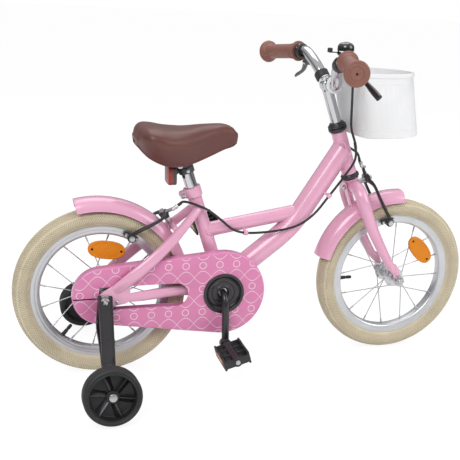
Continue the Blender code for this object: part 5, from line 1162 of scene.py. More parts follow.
@dataclass
class MainFrame(Assembly):
    """The welded frame, its bearings, collar and rear guard; radii in millimetres."""

    down_radius: float = 22.5
    head_radius: float = 15.8
    top_radius: float = 15.0
    seat_radius: float = 14.3
    shell_radius: float = 21.5
    seat_length: float = 0.2245
    bend: float = 0.25

    def down_path(self) -> Vec:
        """Head tube to crank shell with one arc: centre + bend * the turned direction."""
        back, forth = unit(DOWN_TOP - DOWN_CORNER), unit(CRANK - DOWN_CORNER)
        half = math.acos(np.dot(back, forth)) / 2
        reach = self.bend / math.tan(half)
        centre = DOWN_CORNER + unit(back + forth) * self.bend / math.sin(half)
        a, b = (DOWN_CORNER + reach * way - centre for way in (back, forth))
        t = np.linspace(0, 1, 17)[:, None]
        arc = centre + self.bend * unit(a * (1 - t) + b * t)
        share = np.linspace(0, 1, 6)[:, None]
        lead = DOWN_TOP + (arc[0] - DOWN_TOP) * share[:-1]
        return np.vstack([lead, arc, arc[-1] + (CRANK - arc[-1]) * share[1:]])

    def stays(self, form: Form, side: int) -> None:
        """One seat stay and one chain stay, oval tubes that flatten into the dropout, and its plate."""
        upper = spots(201.5, 10, 173.5, 191, 18, 162.5, 142, 43, 115.5, 88, 63.4, 73, 38, 63, 33.5, 20, 58, 18)
        form.tube(smooth(REAR + upper * (1, side, 1), 0.006),
                  [(8.5, 8.5), (8.5, 8.5), (10.5, 9.5), (11.5, 7.2), (12, 6.6), (10, 2.9)],
                  36, unit(vec(0.75, 0, -1)), 0.9)
        lower = spots(35, 57.3, 1.5, 62, 55.2, 2, 155, 35.4, 3, 184, 33.4, 1, 205.5, 27.5, 0, 238.5, 25, -2)
        form.tube(smooth(REAR + lower * (1, side, 1), 0.006),
                  [(8, 1.9), (10.5, 6), (11, 7.2), (11, 6.8), (11, 6.6), (11, 6.4)], 36, Z, 0.9)
        plate = outline(6, 5, -11, -12, 12, -15, 46, -9, 52, 4, 50, 34, 34, 38, 16, 28, -8, 13, -13, 2)
        form.slab(plate, REAR, X, Z, *sorted((-side * 55, -side * 59.5)), 0.9)

    def tubes(self) -> None:
        """The welded tubes with a bead of weld at each joint."""
        path = self.down_path()
        form = Form().tube(path, self.down_radius, 64, Y)
        form.ring(mm(13, 0, 16.2, 0, 16.2, 4, 15.8, 4.8, 15.8, 88.7, 16.2, 89.5, 16.2, 93.5, 13, 93.5),
                  steer(HEAD_LOW), STEER_UP, 64)
        form.sleeve(seat(0), SEAT_UP, 12.8, self.seat_radius, 0, self.seat_length / MM, 64, 0.5)
        form.sleeve(CRANK, NEAR, 17.2, self.shell_radius, -33, 33, 64, 0.8)
        start, end = TOP_TUBE
        form.bar(start, end, self.top_radius, 56)
        for side in (-1, 1):
            self.stays(form, side)
        for middle, half in ((guard_at(0.0095, BRIDGE_ANGLE), 36), (guard_at(0.0063, -3.0), 33)):
            form.rod(middle, Y, -half, half, 6)
        down_way, crank_way, top_way = unit(path[1] - path[0]), unit(path[-1] - path[-2]), unit(end - start)
        thin = self.down_radius - 0.6
        beads = (
            (path[0] + 0.06 * down_way, -down_way, thin, steer(0), STEER_UP, self.head_radius, 0.0021),
            (CRANK - 0.09 * crank_way, crank_way, thin, CRANK, Y, self.shell_radius, 0.0021),
            (start + 0.05 * top_way, -top_way, self.top_radius, seat(0), SEAT_UP, self.seat_radius, 0.0018),
            (seat(0.07), -SEAT_UP, self.seat_radius, CRANK, Y, self.shell_radius, 0.0019),
            (start + 0.02 * top_way, top_way, self.top_radius, path[-10], path[-9] - path[-11],
             self.down_radius, 0.0018))
        for origin, way, radius, other, axis, reach, bead in beads:
            form.add(looped(weld_line(origin, way, radius * MM, other, axis, reach * MM), bead), close=True)
        self.hang(form, "frame_tubes", "frame", "pink_paint", "main_frame", 46.0)

    def bearings(self) -> None:
        """Headset cups and crank shell cups."""
        cups = (
            ("lower_headset_cup", "headset_lower_cup", steer(HEAD_LOW - 0.0118), STEER_UP, 64,
             (13, 0, 16.2, 0, 18, 1.5, 19.7, 3.5, 19.7, 8, 18.6, 9.2, 17.2, 11.3, 13, 11.3)),
            ("upper_headset_cup", "headset_upper_cup", steer(HEAD_TOP + 0.0003), STEER_UP, 64,
             (13, 0, 16.8, 0, 19, 2.2, 19.7, 3.6, 19.7, 8.4, 13, 8.4)),
            *((f"crank_cup_{word}", f"bottom_bracket_cup_{word}", CRANK, side, 56,
               (7.1, 20, 17, 20, 17, at, 21, at, 20.6, at + 2.8, 19.6, at + 4, 12, at + 4, 11, at + 3.2,
                7.1, at + 3.2)) for side, word, at in ((NEAR, "right", 35.6), (Y, "left", 33.3))))
        for name, node, place, axis, sides, section in cups:
            self.hang(Form().ring(mm(*section), place, axis, sides), name, "frame", "black_paint", node)

    def collar(self) -> None:
        """The seat collar with its two ears, gap and clamp bolt."""
        centre = seat(self.seat_length - 0.010)
        form = Form().sleeve(centre, SEAT_UP, 14.7, 17.8, -10, 10, 64, 1)
        for side in (-1, 1):
            form.slab(box(14, -7.2, 27.5, 7.2, 3.5, 4), centre + side * 0.0046 * Y, SEAT_BACK, SEAT_UP,
                      -3.4, 3.4, 0.8)
        bolt = centre + 0.0225 * SEAT_BACK
        form.nut(bolt, NEAR, 5.6, 7.9, 12.2, 1)
        form.lathe(mm(0, 7.8, 5.8, 7.8, 5.8, 10, 4, 11.8, 0, 12.2), bolt, Y, 32, 0.8, 1)
        form.rod(bolt, Y, -13, 11.8, 2.6, 20, look=1)
        self.hang(form, "seat_collar_clamp", "frame", ("pink_paint", "zinc_steel"), "seat_collar")

    def rear_guard(self) -> None:
        """The rear mudguard and its mounting boss with a bolt."""
        form = guard_form(GUARD_CENTRE, (4, 103))
        bridge, out = guard_at(0, BRIDGE_ANGLE), heading(BRIDGE_ANGLE)
        form.rod(bridge, out, -3, 3.1, 5.2, 24)
        form.lathe(mm(0, -5.2, 4.2, -5.2, 5, -3, 5, -1.5, 0, -1.5), bridge, out, 24, 0.5, 1)
        self.hang(form, "rear_guard", "frame", ("pink_paint", "zinc_steel"), "rear_mudguard")

    def rear_axle(self) -> None:
        """The rear axle with its nuts, and a screw on each dropout."""
        form = axle_form(REAR, (30.5, 48), 55, 63.1, 79)
        self.hang(form, "rear_axle_set", "frame", "zinc_steel", "rear_axle")
        form, spot = Form(), rear(0.026, 0, -0.006)
        for side in (NEAR, Y):
            form.lathe(mm(0, 59, 4.6, 59, 4.6, 61.2, 3, 62.6, 0, 62.8), spot, side, 28)
            form.nut(spot, side, 2.6, 62, 63.2)
        self.hang(form, "dropout_screws", "frame", "zinc_steel")

    def make(self) -> None:
        """Makes every piece of the frame."""
        self.tubes()
        self.bearings()
        self.collar()
        self.rear_guard()
        self.rear_axle()


# Seat

@dataclass
class SeatGroup(Assembly):
    """Post, clamp, saddle shell, padded cover and rear reflector."""

    length: float = 0.202
    width: float = 0.149
    top: float = 0.507
    tail: float = -0.25

    STATIONS = np.array((
        0.000, 0.46, -0.017, -0.037, 0.030, 0.76, -0.006, -0.045, 0.090, 0.955, 0.000, -0.056,
        0.180, 1.00, -0.001, -0.066, 0.280, 0.97, -0.005, -0.073, 0.400, 0.86, -0.0065, -0.074,
        0.520, 0.69, -0.0055, -0.071, 0.640, 0.51, -0.002, -0.064, 0.760, 0.385, 0.000, -0.055,
        0.870, 0.315, 0.001, -0.046, 0.955, 0.270, -0.004, -0.041, 1.000, 0.16, -0.014, -0.036)).reshape(-1, 4)
    SECTION = ((0.66, 0.0), (0.86, 0.28), (1.0, 0.60), (0.96, 0.80), (0.72, 0.955), (0.34, 1.0), (0.0, 0.985))

    def sections(self, inset: float, lift: float) -> Vec:
        """Cross sections of the saddle skin as rows of points.

        Each section's half is a smooth curve through (share of half width, share of height) pairs,
        scaled by the width, top and foot at its station. The stations' sizes are themselves mixed
        smoothly along the length.

        Args:
            inset: how far the skin is drawn in at the sides and top.
            lift: how far its lower edge is raised.

        Returns:
            Rows along the saddle by columns over it from one lower edge to the other.
        """
        wide_scale, high_scale, stations = 0.35, 4, 44
        even = np.linspace(0, 1, stations)
        along = 0.35 * (0.5 - 0.5 * np.cos(math.pi * even)) + 0.65 * even
        rows, low = (smooth(self.STATIONS[:, [0, 1, k]] * (1, wide_scale, high_scale), 0.012) for k in (2, 3))
        width = np.interp(along, rows[:, 0], rows[:, 1] / wide_scale)
        high = np.interp(along, rows[:, 0], rows[:, 2] / high_scale)
        foot = np.interp(along, low[:, 0], low[:, 2] / high_scale)
        half = smooth([vec(a, b, 0) for a, b in self.SECTION], 0.0405)[:, :2]
        whole = np.vstack([half, half[-2::-1] * (-1, 1)])
        reach = np.clip(0.001 + along * (self.length - 0.002), inset, self.length - inset)
        side = np.maximum(self.width / 2 * width - inset, 0.004)
        crest = self.top + high - inset
        bottom = np.minimum(self.top + foot + lift, crest - 0.006)
        points = np.empty((len(along), len(whole), 3))
        points[..., 0] = (self.tail + reach)[:, None]
        points[..., 1] = side[:, None] * whole[:, 0]
        points[..., 2] = bottom[:, None] + (crest - bottom)[:, None] * whole[:, 1]
        return points

    def cushion(self) -> None:
        """The padded cover: a skin with a thickness, pressed by cloth pressure, and a rolled lower hem.

        The cloth swells the foam a little between its held lower edge and its shell, so the top
        crowns as a stuffed cover does.
        """
        rows, turn = self.sections(0.0, 0.0), np.linspace(0, QUARTER, 7)[1:, None, None]

        def cap(end: int, way: float) -> Vec:
            """Rows that round off one end: the section drawn to its middle over a quarter turn."""
            middle = rows[end].mean(0) * (1, 0, 1)
            return middle + (rows[end] - middle) * np.cos(turn) + way * 0.0045 * np.sin(turn) * X

        form = Form().add(np.vstack([cap(0, -1.0)[::-1], rows, cap(-1, 1.0)]), wrap=False)
        made = form.build("saddle_cover", self.looks.get("brown_cover"), 60.0)
        modify(made, "SOLIDIFY", thickness=0.0085, offset=-1.0, use_rim=True, use_even_offset=False)
        applied(made, 60.0)
        self.press(made)
        modify(made, "SUBSURF", levels=1, render_levels=1)
        applied(made, 80.0)
        self.hang(made, "saddle_cover", "seat", "brown_cover", "saddle_cushion")
        edge = np.vstack([rows[:, 0], rows[::-1, -1]]) * (1, 0.985, 1) + vec(0, 0, 0.0006)
        form = Form().add(looped(smooth([*edge, edge[0]], 0.004)[:-1], 0.0017, 12), close=True)
        self.hang(form, "saddle_hem", "seat", "brown_cover")

    def press(self, made: bpy.types.Object) -> None:
        """Runs a short cloth pressure on the cover and keeps what it swells, capped at 2.5 mm."""
        most, frames = 0.0025, 14

        def read(mesh: bpy.types.Mesh) -> Vec:
            """The mesh's points."""
            flat = np.empty(len(mesh.vertices) * 3)
            mesh.vertices.foreach_get("co", flat)
            return flat.reshape(-1, 3)

        rest = read(made.data)
        hold = made.vertex_groups.new(name="hold")
        low = np.interp(rest[:, 0], self.tail + self.STATIONS[:, 0] * self.length,
                        self.top + self.STATIONS[:, 3])
        hold.add(np.nonzero(rest[:, 2] < low + 0.016)[0].tolist(), 1.0, "REPLACE")
        cloth = made.modifiers.new("press", "CLOTH")
        for key, value in {"quality": 6, "mass": 0.4, "tension_stiffness": 60, "compression_stiffness": 60,
                           "shear_stiffness": 40, "bending_stiffness": 6, "use_pressure": True,
                           "uniform_pressure_force": 4.0, "vertex_group_mass": "hold"}.items():
            setattr(cloth.settings, key, value)
        cloth.settings.effector_weights.gravity = 0.0
        cloth.collision_settings.use_collision = False
        scene = bpy.context.scene
        for number in range(1, frames + 1):
            scene.frame_set(number)
        swollen = made.evaluated_get(bpy.context.evaluated_depsgraph_get())
        shift = read(swollen.to_mesh()) - rest
        swollen.to_mesh_clear()
        made.modifiers.clear()
        made.vertex_groups.clear()
        scene.frame_set(1)
        size = np.linalg.norm(shift, axis=1)
        shift *= (np.minimum(size, most) / np.maximum(size, 1e-9))[:, None]
        made.data.vertices.foreach_set("co", (rest + shift).ravel())
        made.data.update()
        LOG.info("saddle cover pressed: %.1f mm at most", float(np.minimum(size, most).max()) / MM)

    def shell(self) -> None:
        """The moulded shell under the cover with its ribs and the socket for the post."""
        form = Form()
        add_shell(form, self.sections(0.0092, 0.0010), self.sections(0.0125, 0.0010))
        form.lathe(mm(12.8, 290, 17.2, 290, 17.2, 329.5, 0, 329.5, 0, 320, 12.8, 320), seat(0), SEAT_UP, 48, 1.2)
        rib = outline(1, 2, 16, 296, 30, 318, 30, 327.5, 16, 327.5)
        for ray in rays(SEAT_UP, np.arange(6) * TAU / 6 + 0.26):
            form.slab(rib, seat(0), ray, SEAT_UP, -0.9, 0.9, 0.3)
        self.hang(form, "saddle_shell", "seat", "black_resin", "saddle_base")

    def post(self) -> None:
        """The chromed post, and the saddle clamp with its bolt."""
        form = Form().sleeve(seat(0), SEAT_UP, 10.5, 12.5, 110, 289.3, 56, 0.8)
        self.hang(form, "post_tube", "seat", "chrome", "seat_post")
        form = Form().ring(mm(12.8, 268, 16.8, 268, 17.8, 269.2, 17.8, 287.8, 16.8, 289, 12.8, 289), seat(0),
                           SEAT_UP, 56, 0.8)
        bolt = seat(0.2765, 0.012)
        form.rod(bolt, Y, -16, 16, 5, 24)
        form.nut(bolt, NEAR, 6.2, 16, 20.5, 1).nut(bolt, Y, 6.2, 16, 20.5, 1)
        form.rod(bolt, Y, -22, 22, 3.4, 20, look=1)
        self.hang(form, "saddle_clamp_set", "seat", ("black_paint", "zinc_steel"), "saddle_clamp")

    def reflector(self) -> None:
        """The red rear reflector in its grey housing on a strap round the post."""
        centre = seat(0.2610)
        face = vec(REAR[0] + 0.1345, 0, centre[2] - 0.0095)
        form = Form().sleeve(centre, SEAT_UP, 12.8, 16, -6, 6, 48, 0.6, 1)
        form.bar(face + 0.0120 * X, centre - 0.0125 * X, 4.8, 24, look=1)
        lens = oval(22.5, 19, 72, 0.42)
        form.slab(lens, face, Y, Z, 0, 10.5, 3)
        form.slab(lens * 0.985, face + 0.0082 * X, Y, Z, 0, 8.3, 1.6, 1)
        form.nut(centre, NEAR, 4, 15.8, 19, 2)
        self.hang(form, "rear_reflector_set", "seat", ("red_lens", "reflector_back", "zinc_steel"),
                  "rear_reflector")

    def make(self) -> None:
        """Makes every piece of the seat group."""
        self.cushion()
        self.shell()
        self.post()
        self.reflector()


# Drive

def belt(rear_centre: Vec, rear_radius: float, front_centre: Vec, front_radius: float, count: int) -> Vec:
    """The line of a belt round two circles as (x, z) pairs.

    Each end is an arc between the tangent angles lean + tilt and lean - tilt, where cos tilt is the
    difference of the radii over the distance between the centres.
    """
    span = (front_centre - rear_centre)[[0, 2]]
    lean = math.atan2(span[1], span[0])
    tilt = math.acos((rear_radius - front_radius) / np.linalg.norm(span))
    share = np.linspace(0, 1, count)
    return np.vstack([centre[[0, 2]] + radius * np.column_stack([np.cos(turn), np.sin(turn)])
                      for centre, radius, turn in (
                          (rear_centre, rear_radius, lean + tilt + (TAU - 2 * tilt) * share),
                          (front_centre, front_radius, lean - tilt + 2 * tilt * share))])


def along_belt(line: Vec, count: int) -> tuple[Vec, Vec]:
    """Evenly spaced points on a closed flat line, and the directions there."""
    whole = np.vstack([line, line[:1]])
    run = travelled(whole)
    marks = np.arange(count) / count * run[-1]
    place, ahead = (np.column_stack([np.interp(at, run, column) for column in whole.T])
                    for at in (marks, (marks + 1e-4) % run[-1]))
    return place, unit(ahead - place)


@dataclass
class Drive(Assembly):
    """Chain case, chain, rings, crank and pedals; distances to the near side in millimetres."""

    face: float = 54.5
    back: float = 35.3
    cap_radius: float = 43.0
    chain_line: float = 43.5
    link: float = 0.0127
    ring_teeth: int = 28
    sprocket_teeth: int = 16
    bar_radius: float = 6.8

    def pitch(self, teeth: int) -> float:
        """The pitch radius of a sprocket: a link's length over twice the sine of half its angle."""
        return self.link / (2 * math.sin(math.pi / teeth))

    def raised(self, *levels: float) -> Form:
        """The case's outline as a solid through levels of (inset, distance to the near side)."""
        rows = [np.insert(belt(rear(-0.003, 0, 0.005), 0.0585 - inset, CRANK, 0.0885 - inset, 44),
                          1, -near, axis=1) for inset, near in mm(*levels)]
        return Form().add(closed_at_middles(rows))

    def slot(self, low: float, high: float, bottom: float, top: float) -> bpy.types.Object:
        """A cutter: a slot with a rounded front end, about the rear axle."""
        middle, radius = (bottom + top) / 2, (top - bottom) / 2
        turn = np.radians(np.linspace(-90, 90, 17))
        arc = np.column_stack([high - radius + radius * np.cos(turn), middle + radius * np.sin(turn)])
        line = np.vstack([[(low, top), (low, bottom)], arc]) * MM + REAR[[0, 2]]
        return Form().slab(line, 0 * X, X, Z, 20, 80, 1e-3).build("slot", [])

    def eye(self, radius: float, sides: int) -> bpy.types.Object:
        """A cutter: a round hole about the crank."""
        return Form().rod(CRANK, NEAR, 20, 80, radius, sides).build("eye", [])

    def case(self) -> None:
        """The moulded case: a cover with a rolled shoulder and a printed face, and a back plate."""
        face, back = self.face, self.back
        cover = self.raised(0, back + 0.3, 0, face - 5, 0.3, face - 3, 1.3, face - 1.2, 2.8, face - 0.3, 5, face)
        cover = cover.build("chain_case", self.looks.get("case_pink", "case_print"))
        hollow = self.raised(2, 0, 2, face - 4.5, 5, face - 2).build("hollow", [])
        cut(cover, [hollow, self.slot(-9.5, 169.5, -23, 25), self.slot(-100, 0, 0.5, 3.5),
                    self.eye(self.cap_radius - 2.2, 72)])
        modify(cover, "BEVEL", width=0.0006, segments=2, limit_method="ANGLE", angle_limit=math.radians(40),
               use_clamp_overlap=True, harden_normals=False)
        applied(cover, 50.0)
        faces = cover.data.polygons
        normal, centre = np.empty(len(faces) * 3), np.empty(len(faces) * 3)
        faces.foreach_get("normal", normal)
        faces.foreach_get("center", centre)
        front = (normal[1::3] < -0.98) & (centre[1::3] < 0.0004 - face * MM)
        faces.foreach_set("material_index", front.astype(np.int32))
        self.hang(cover, "chain_case", "frame", ("case_pink", "case_print"), "chain_case_cover")
        plate = self.raised(0.6, 33.3, 0, 33.9, 0, back - 0.5, 0.5, back)
        plate = plate.build("case_back", self.looks.get("case_pink"))
        cut(plate, [self.slot(-30, 215.5, -24, 26), self.eye(17.5, 64)])
        self.hang(plate, "case_back", "frame", "case_pink", "chain_case_back")

    def cap(self) -> None:
        """The dished black disc round the crank, with raised rings and a stepped hub."""
        rim, out, deep = self.cap_radius, self.face + 0.3, self.chain_line + 2.6
        form = Form().ring(mm(
            9.6, deep, rim - 8, deep, rim - 3.4, deep + 4, rim - 3.4, out, rim, out, rim - 0.3, out + 1.6,
            rim - 5.5, out + 1.8, rim - 7.5, out - 1, rim - 9.5, out - 3.2, rim - 12, deep + 4.2,
            26, deep + 3.6, 25.2, deep + 4.4, 24, deep + 4.4, 23.2, deep + 3.4, 16, deep + 3, 15, deep + 4,
            12, deep + 4, 11, deep + 1.8, 9.6, deep + 1.6), CRANK, NEAR, 96, 0.8)
        self.hang(form, "crank_cap", "frame", "black_paint", "chain_case_cap")

    def chain(self) -> None:
        """A bush roller chain of sixty links on the belt round both pitch circles."""
        links = 60
        line = belt(REAR, self.pitch(self.sprocket_teeth), CRANK, self.pitch(self.ring_teeth), links)
        plate = np.array([(a * 0.0064 + 0.0036 * math.cos(t), 0.0036 * math.sin(t)) for a, t in
                          ((1, -1.0), (1, 0.0), (1, 1.0), (0, 1.0), (-1, 2.14), (-1, math.pi), (-1, 4.14),
                           (0, -1.0))])
        form = Form()
        for k, (spot, go) in enumerate(zip(*along_belt(line, links))):
            foot, ahead, across = vec(spot[0], 0, spot[1]), vec(go[0], 0, go[1]), vec(-go[1], 0, go[0])
            for near, far in ((40.2, 41.2), (45.8, 46.8)) if k % 2 else ((41.2, 42), (45, 45.8)):
                form.slab(plate, foot + self.link / 2 * ahead, across, -ahead, near, far, 0.1)
            form.rod(foot, NEAR, 41.8, 45.2, 3.7, 10, 0.1).rod(foot, NEAR, 39.9, 47.1, 1.7, 8, 0.1)
        self.hang(form, "roller_chain", "frame", "zinc_steel", "chain")

    def rings(self) -> None:
        """The toothed ring on the crank, and the sprocket with its lock ring on the hub.

        A tooth row's radius is pitch - 1.0 mm + 3.2 mm * a soft step of cos(teeth * a).
        """
        near, far = (self.chain_line - 1.1) * MM, (self.chain_line + 1.1) * MM
        for name, body, node, teeth, centre, inner in (
                ("toothed_ring", "crank", "chainring", self.ring_teeth, CRANK, 7.1),
                ("freewheel", "sprocket", "rear_sprocket", self.sprocket_teeth, REAR, 16.6)):
            angle = np.arange(teeth * 12) * TAU / (teeth * 12)
            ray = np.column_stack([np.cos(angle), np.sin(angle)])
            flat = ray * (self.pitch(teeth) - 0.0010 + 0.0032 * powered(np.cos(teeth * angle), 0.7))[:, None]
            inside = inner * MM * ray
            rows = [np.insert(row, 1, -level, axis=1) + centre * (1, 0, 1) for row, level in (
                (inside, near), (flat * 0.985, near), (flat, near + 0.0006), (flat, far - 0.0006),
                (flat * 0.985, far), (inside, far))]
            form = Form().add(np.array(rows), close=True)
            if teeth == self.sprocket_teeth:
                form.ring(mm(inner, 36.6, 20.5, 36.6, 21.2, 37.6, 21.2, 46, 19.8, 46.7, inner, 46.7), centre,
                          NEAR, 56, 0.5)
            self.hang(form, name, body, "zinc_steel", node)

    def crank(self) -> None:
        """The one piece bent crank with its eyes and pedal spindles."""
        run = spots(0, 47, 0, 0, 57, 1, 0, 64, 6.5, 0, 68.5, 16.5, 0, 71.2, 30, 0, 74, 60,
                    0, CRANK_SPREAD / MM, CRANK_THROW / MM)
        path = smooth(np.vstack([CRANK - run[::-1], CRANK + run]), 0.004)
        reach = np.clip(np.abs(path[:, 2:] - CRANK[2]) / 0.05, 0, 1)
        form = Form().tube(path, self.bar_radius * (1 + reach * (0.12, -0.10)), 40, X, 0.92)
        for sign in (-1, 1):
            out, eye = sign * Y, CRANK + sign * (CRANK_SPREAD * Y + CRANK_THROW * Z)
            form.ring(band(5, 10.6, 11.5, 6.2, 7.5), eye, out)
            form.nut(eye, out, 8.5, 7.5, 11.8, 1)
            form.lathe(mm(4.8, -7.8, 4.8, 100, 0, 100), eye, out, 28, 0.6, 1)
            form.rod(eye, out, -7.6, 99.5, 5, 28, look=1)
        self.hang(form, "bent_crank", "crank", ("black_paint", "zinc_steel"), "crank")

    def pedal(self, sign: int, word: str) -> None:
        """A moulded pedal: barrel, two toothed rails, end plates, ribs and amber side reflectors."""
        centre = CRANK + sign * ((CRANK_SPREAD + 0.0145 + 0.0415) * Y + CRANK_THROW * Z)
        tilt = 16
        ahead, thick = heading(tilt), heading(tilt + 90)
        length, width, half = 27.5, 41.5, 12.5
        form = Form().ring(mm(5.8, -width, 10.5, -width, 10.5, 8 - width, 8.8, 12 - width, 8.8, width - 12,
                              10, width - 8, 10, width, 5.8, width), centre, sign * Y, 40, 1)
        steps = np.linspace(4 - width, width - 4, 113)
        tooth = half - 2.1 + 2.1 * np.clip(1.6 * np.sin((steps + width) * TAU / 10.5), -1, 1)
        rail = np.vstack([[(6 - width, 3)], np.column_stack([steps, tooth]), [(width - 6, 3)]]) * MM
        for end in (-1, 1):
            place = centre + end * (length - 2) * MM * ahead
            for face in (-1, 1):
                form.slab(rail * (1, face), place, Y, thick, -2, 2)
            form.slab(box(3 - width, -6.2, width - 3, 6.2, 3), place, Y, thick, -2, 2, 0.8)
            low, high = (-0.4, 0.1) if end > 0 else (-0.1, 0.4)
            form.slab(box(-21, -5, 21, 5, 1.2), centre + end * (length + 0.1) * MM * ahead, Y, thick, low, high,
                      0.1, 1)
        rib = box(1 - length, -8, length - 1, 8, 2.5)
        for place in (2.5 - width, -13.5, 13.5, width - 2.5):
            form.slab(rib, centre + place * MM * Y, ahead, thick, -1.6, 1.6)
        form.lathe(mm(0, 36.8, 7.8, 36.8, 7.8, 41.2, 6, 41.8, 0, 41.8), centre, sign * Y, 36)
        name = "pedal_" + word
        self.hang(form, "pedal_block_" + word, name, ("black_resin", "amber_lens"), name)

    def make(self) -> None:
        """Makes every piece of the drive."""
        self.case()
        self.cap()
        self.chain()
        self.rings()
        self.crank()
        for sign, word in SIDES:
            self.pedal(sign, word)


# Steering

@dataclass
class Steering(Assembly):
    """Fork, front guard, lock nut, stem, bar, grips and bell, with the radii in millimetres."""

    steerer: float = 12.7
    quill: float = 11.1
    spread: float = 0.0485
    half_width: float = 0.25
    grip_length: float = 0.122
    grip_radius: float = 15.0
    bell_radius: float = 16.5

    def fork(self) -> None:
        """The fork: steerer, crown race seat, one bent tube for each blade, and flat ends."""
        crown, base, top = WHEEL_RADIUS + 0.0575, HEAD_LOW - 0.0121, HEAD_TOP + 0.0145
        form = Form().sleeve(steer(0), STEER_UP, 11.3, self.steerer, crown / MM, top / MM, 48, 0.5)
        low, high = crown / MM, base / MM
        form.lathe(mm(0, low - 12, 14.5, low - 12, 14.5, high - 4, 17.2, high - 2.5, 17.2, high, 0, high),
                   steer(0), STEER_UP, 56, 0.7)
        places = ((crown, 0.0, 0.04), (crown - 0.001, 0.0, 0.40), (crown - 0.007, -0.0005, 0.74),
                  (crown - 0.024, -0.002, 0.96), (0.84 * WHEEL_RADIUS, 0.0015, 1.0),
                  (0.45 * WHEEL_RADIUS, 0.0125, 1.02), (0.21 * WHEEL_RADIUS, 0.0225, 1.02),
                  (0.115 * WHEEL_RADIUS, 0.027, 1.0))
        far, near = ([steer(a, b, self.spread * side * c) for a, b, c in places] for side in (1, -1))
        points = far[::-1] + near
        path = smooth(points, 0.0045)
        run = np.linspace(0, 1, len(path))
        knots = [run[nearest(path, point)] for point in points]
        sizes = [14.2, 14.2, 14.1, 13.8, 12.5, 10.5, 8.5, 4.6]
        form.tube(path, np.interp(run, knots, sizes[::-1] + sizes), 48, STEER_AHEAD, cap=2)
        end = oval(11, 11.5, 48) + mm(0, 1)
        neck = outline(3, 3, -7.2, 0, 7.2, 0, 5.8, 30, 3.6, 40, -9, 40, -9.8, 30)
        for side in (-1, 1):
            low, high = sorted((-side * 46.2, -side * 50.8))
            form.slab(end, FRONT, X, Z, low, high, 0.8)
            form.slab(neck, FRONT, STEER_AHEAD, STEER_UP, low, high, 0.8)
        self.hang(form, "fork_tubes", "fork", "pink_paint", "fork", 46.0)
        form = axle_form(FRONT, (30.5, 30.5), 46, 51.3, 63)
        self.hang(form, "front_axle_set", "fork", "zinc_steel", "front_axle")

    def guard(self) -> None:
        """The front mudguard with its mounting tab."""
        form = guard_form(FRONT + vec(0, 0, 0.0065), (88, 165))
        form.slab(box(-9, 182, 9, 244, 4, 4), STEER_FOOT, Y, STEER_UP, -17.1, -15.2, 0.4)
        self.hang(form, "front_guard", "fork", "pink_paint", "front_mudguard")

    def lock_nut(self) -> None:
        """The headset's lock nut: a ribbed ring under a rounded cap and a washer."""
        base = steer(HEAD_TOP + 0.0091)
        form = Form().ring(mm(13, 0.3, 18, 0.3, 18.7, 1, 18.7, 5, 17.2, 6.6, 15.2, 8.8, 14.6, 10.5,
                              11.4, 10.5, 11.4, 6.6, 13, 6.6), base, STEER_UP, 64)
        for ray in rays(STEER_UP, np.arange(36) * TAU / 36):
            form.rod(base + 0.0186 * ray, STEER_UP, 1.2, 4.8, 0.6, 6, 0.2)
        self.hang(form, "head_lock_nut", "fork", "black_paint", "headset_locknut")

    def stem(self) -> None:
        """The chromed stem: quill, forged neck, split clamp, clamp bolts and expander bolt."""
        foot, quill = HEAD_LOW / MM + 36, self.quill
        form = Form().lathe(mm(9, foot, quill, foot, quill, 440, 11.8, 445, 11.8, 458.5, 10, 461.5, 0, 461.5),
                            steer(0), STEER_UP, 56, 1.2)
        form.ring(band(11.5, 15.7, 16.3, 15.8, 16.5), CLAMP, Y, 64)
        form.lathe(mm(0, 462, 8.5, 462, 8.5, 467.5, 7.2, 468.5, 4.5, 468.5, 4.5, 465.5, 0, 465.5), steer(0),
                   STEER_UP, 36, 0.5)
        way = unit(STEER_AHEAD + 0.9 * STEER_UP)
        for level in (-0.0100, 0.0100):
            spot = CLAMP + level * Y + 0.0120 * unit(STEER_AHEAD - 0.9 * STEER_UP)
            form.rod(spot, way, -6.5, 6.5, 3.4, 20, look=1).nut(spot, way, 4.4, 6, 8.8, 1)
        self.hang(form, "stem_body", "handlebar", ("chrome", "zinc_steel"), "stem")

    def bar_points(self, side: int) -> Vec:
        """Half of the handlebar from the clamp to the grip end."""
        run = spots(0, 25, 0, -0.5, 31, 2.8, -2.5, 37, 9.5, -6, 44, 19.5, -10, 54, 30, -13.5, 68, 40,
                    -15.5, 83, 47.8, -16.8, 98.5, 53.5, -17.8, 112, 56, -54.5, self.half_width / MM, 43.6)
        return CLAMP + run * (1, side, 1)

    def grip_line(self, side: int) -> tuple[Vec, Vec, float]:
        """Start of the straight part, its direction outward and its length."""
        start, end = self.bar_points(side)[-2:]
        return start, unit(end - start), float(np.linalg.norm(end - start))

    def bar(self) -> None:
        """The chromed bar and the black sleeve next to the clamp on its far half."""
        near, far = self.bar_points(-1), self.bar_points(1)
        form = Form().tube(smooth(np.vstack([near[::-1], far]), 0.0035), BAR_RADIUS, 56, X)
        self.hang(form, "bar_tube", "handlebar", "chrome", "handlebar")
        way = unit(far[2] - far[1])
        form = Form().ring(band(11.2, 14, 14.8, 6.2, 7.5), (far[1] + far[2]) / 2 + 0.010 * way, way)
        self.hang(form, "bar_band", "handlebar", "black_resin")

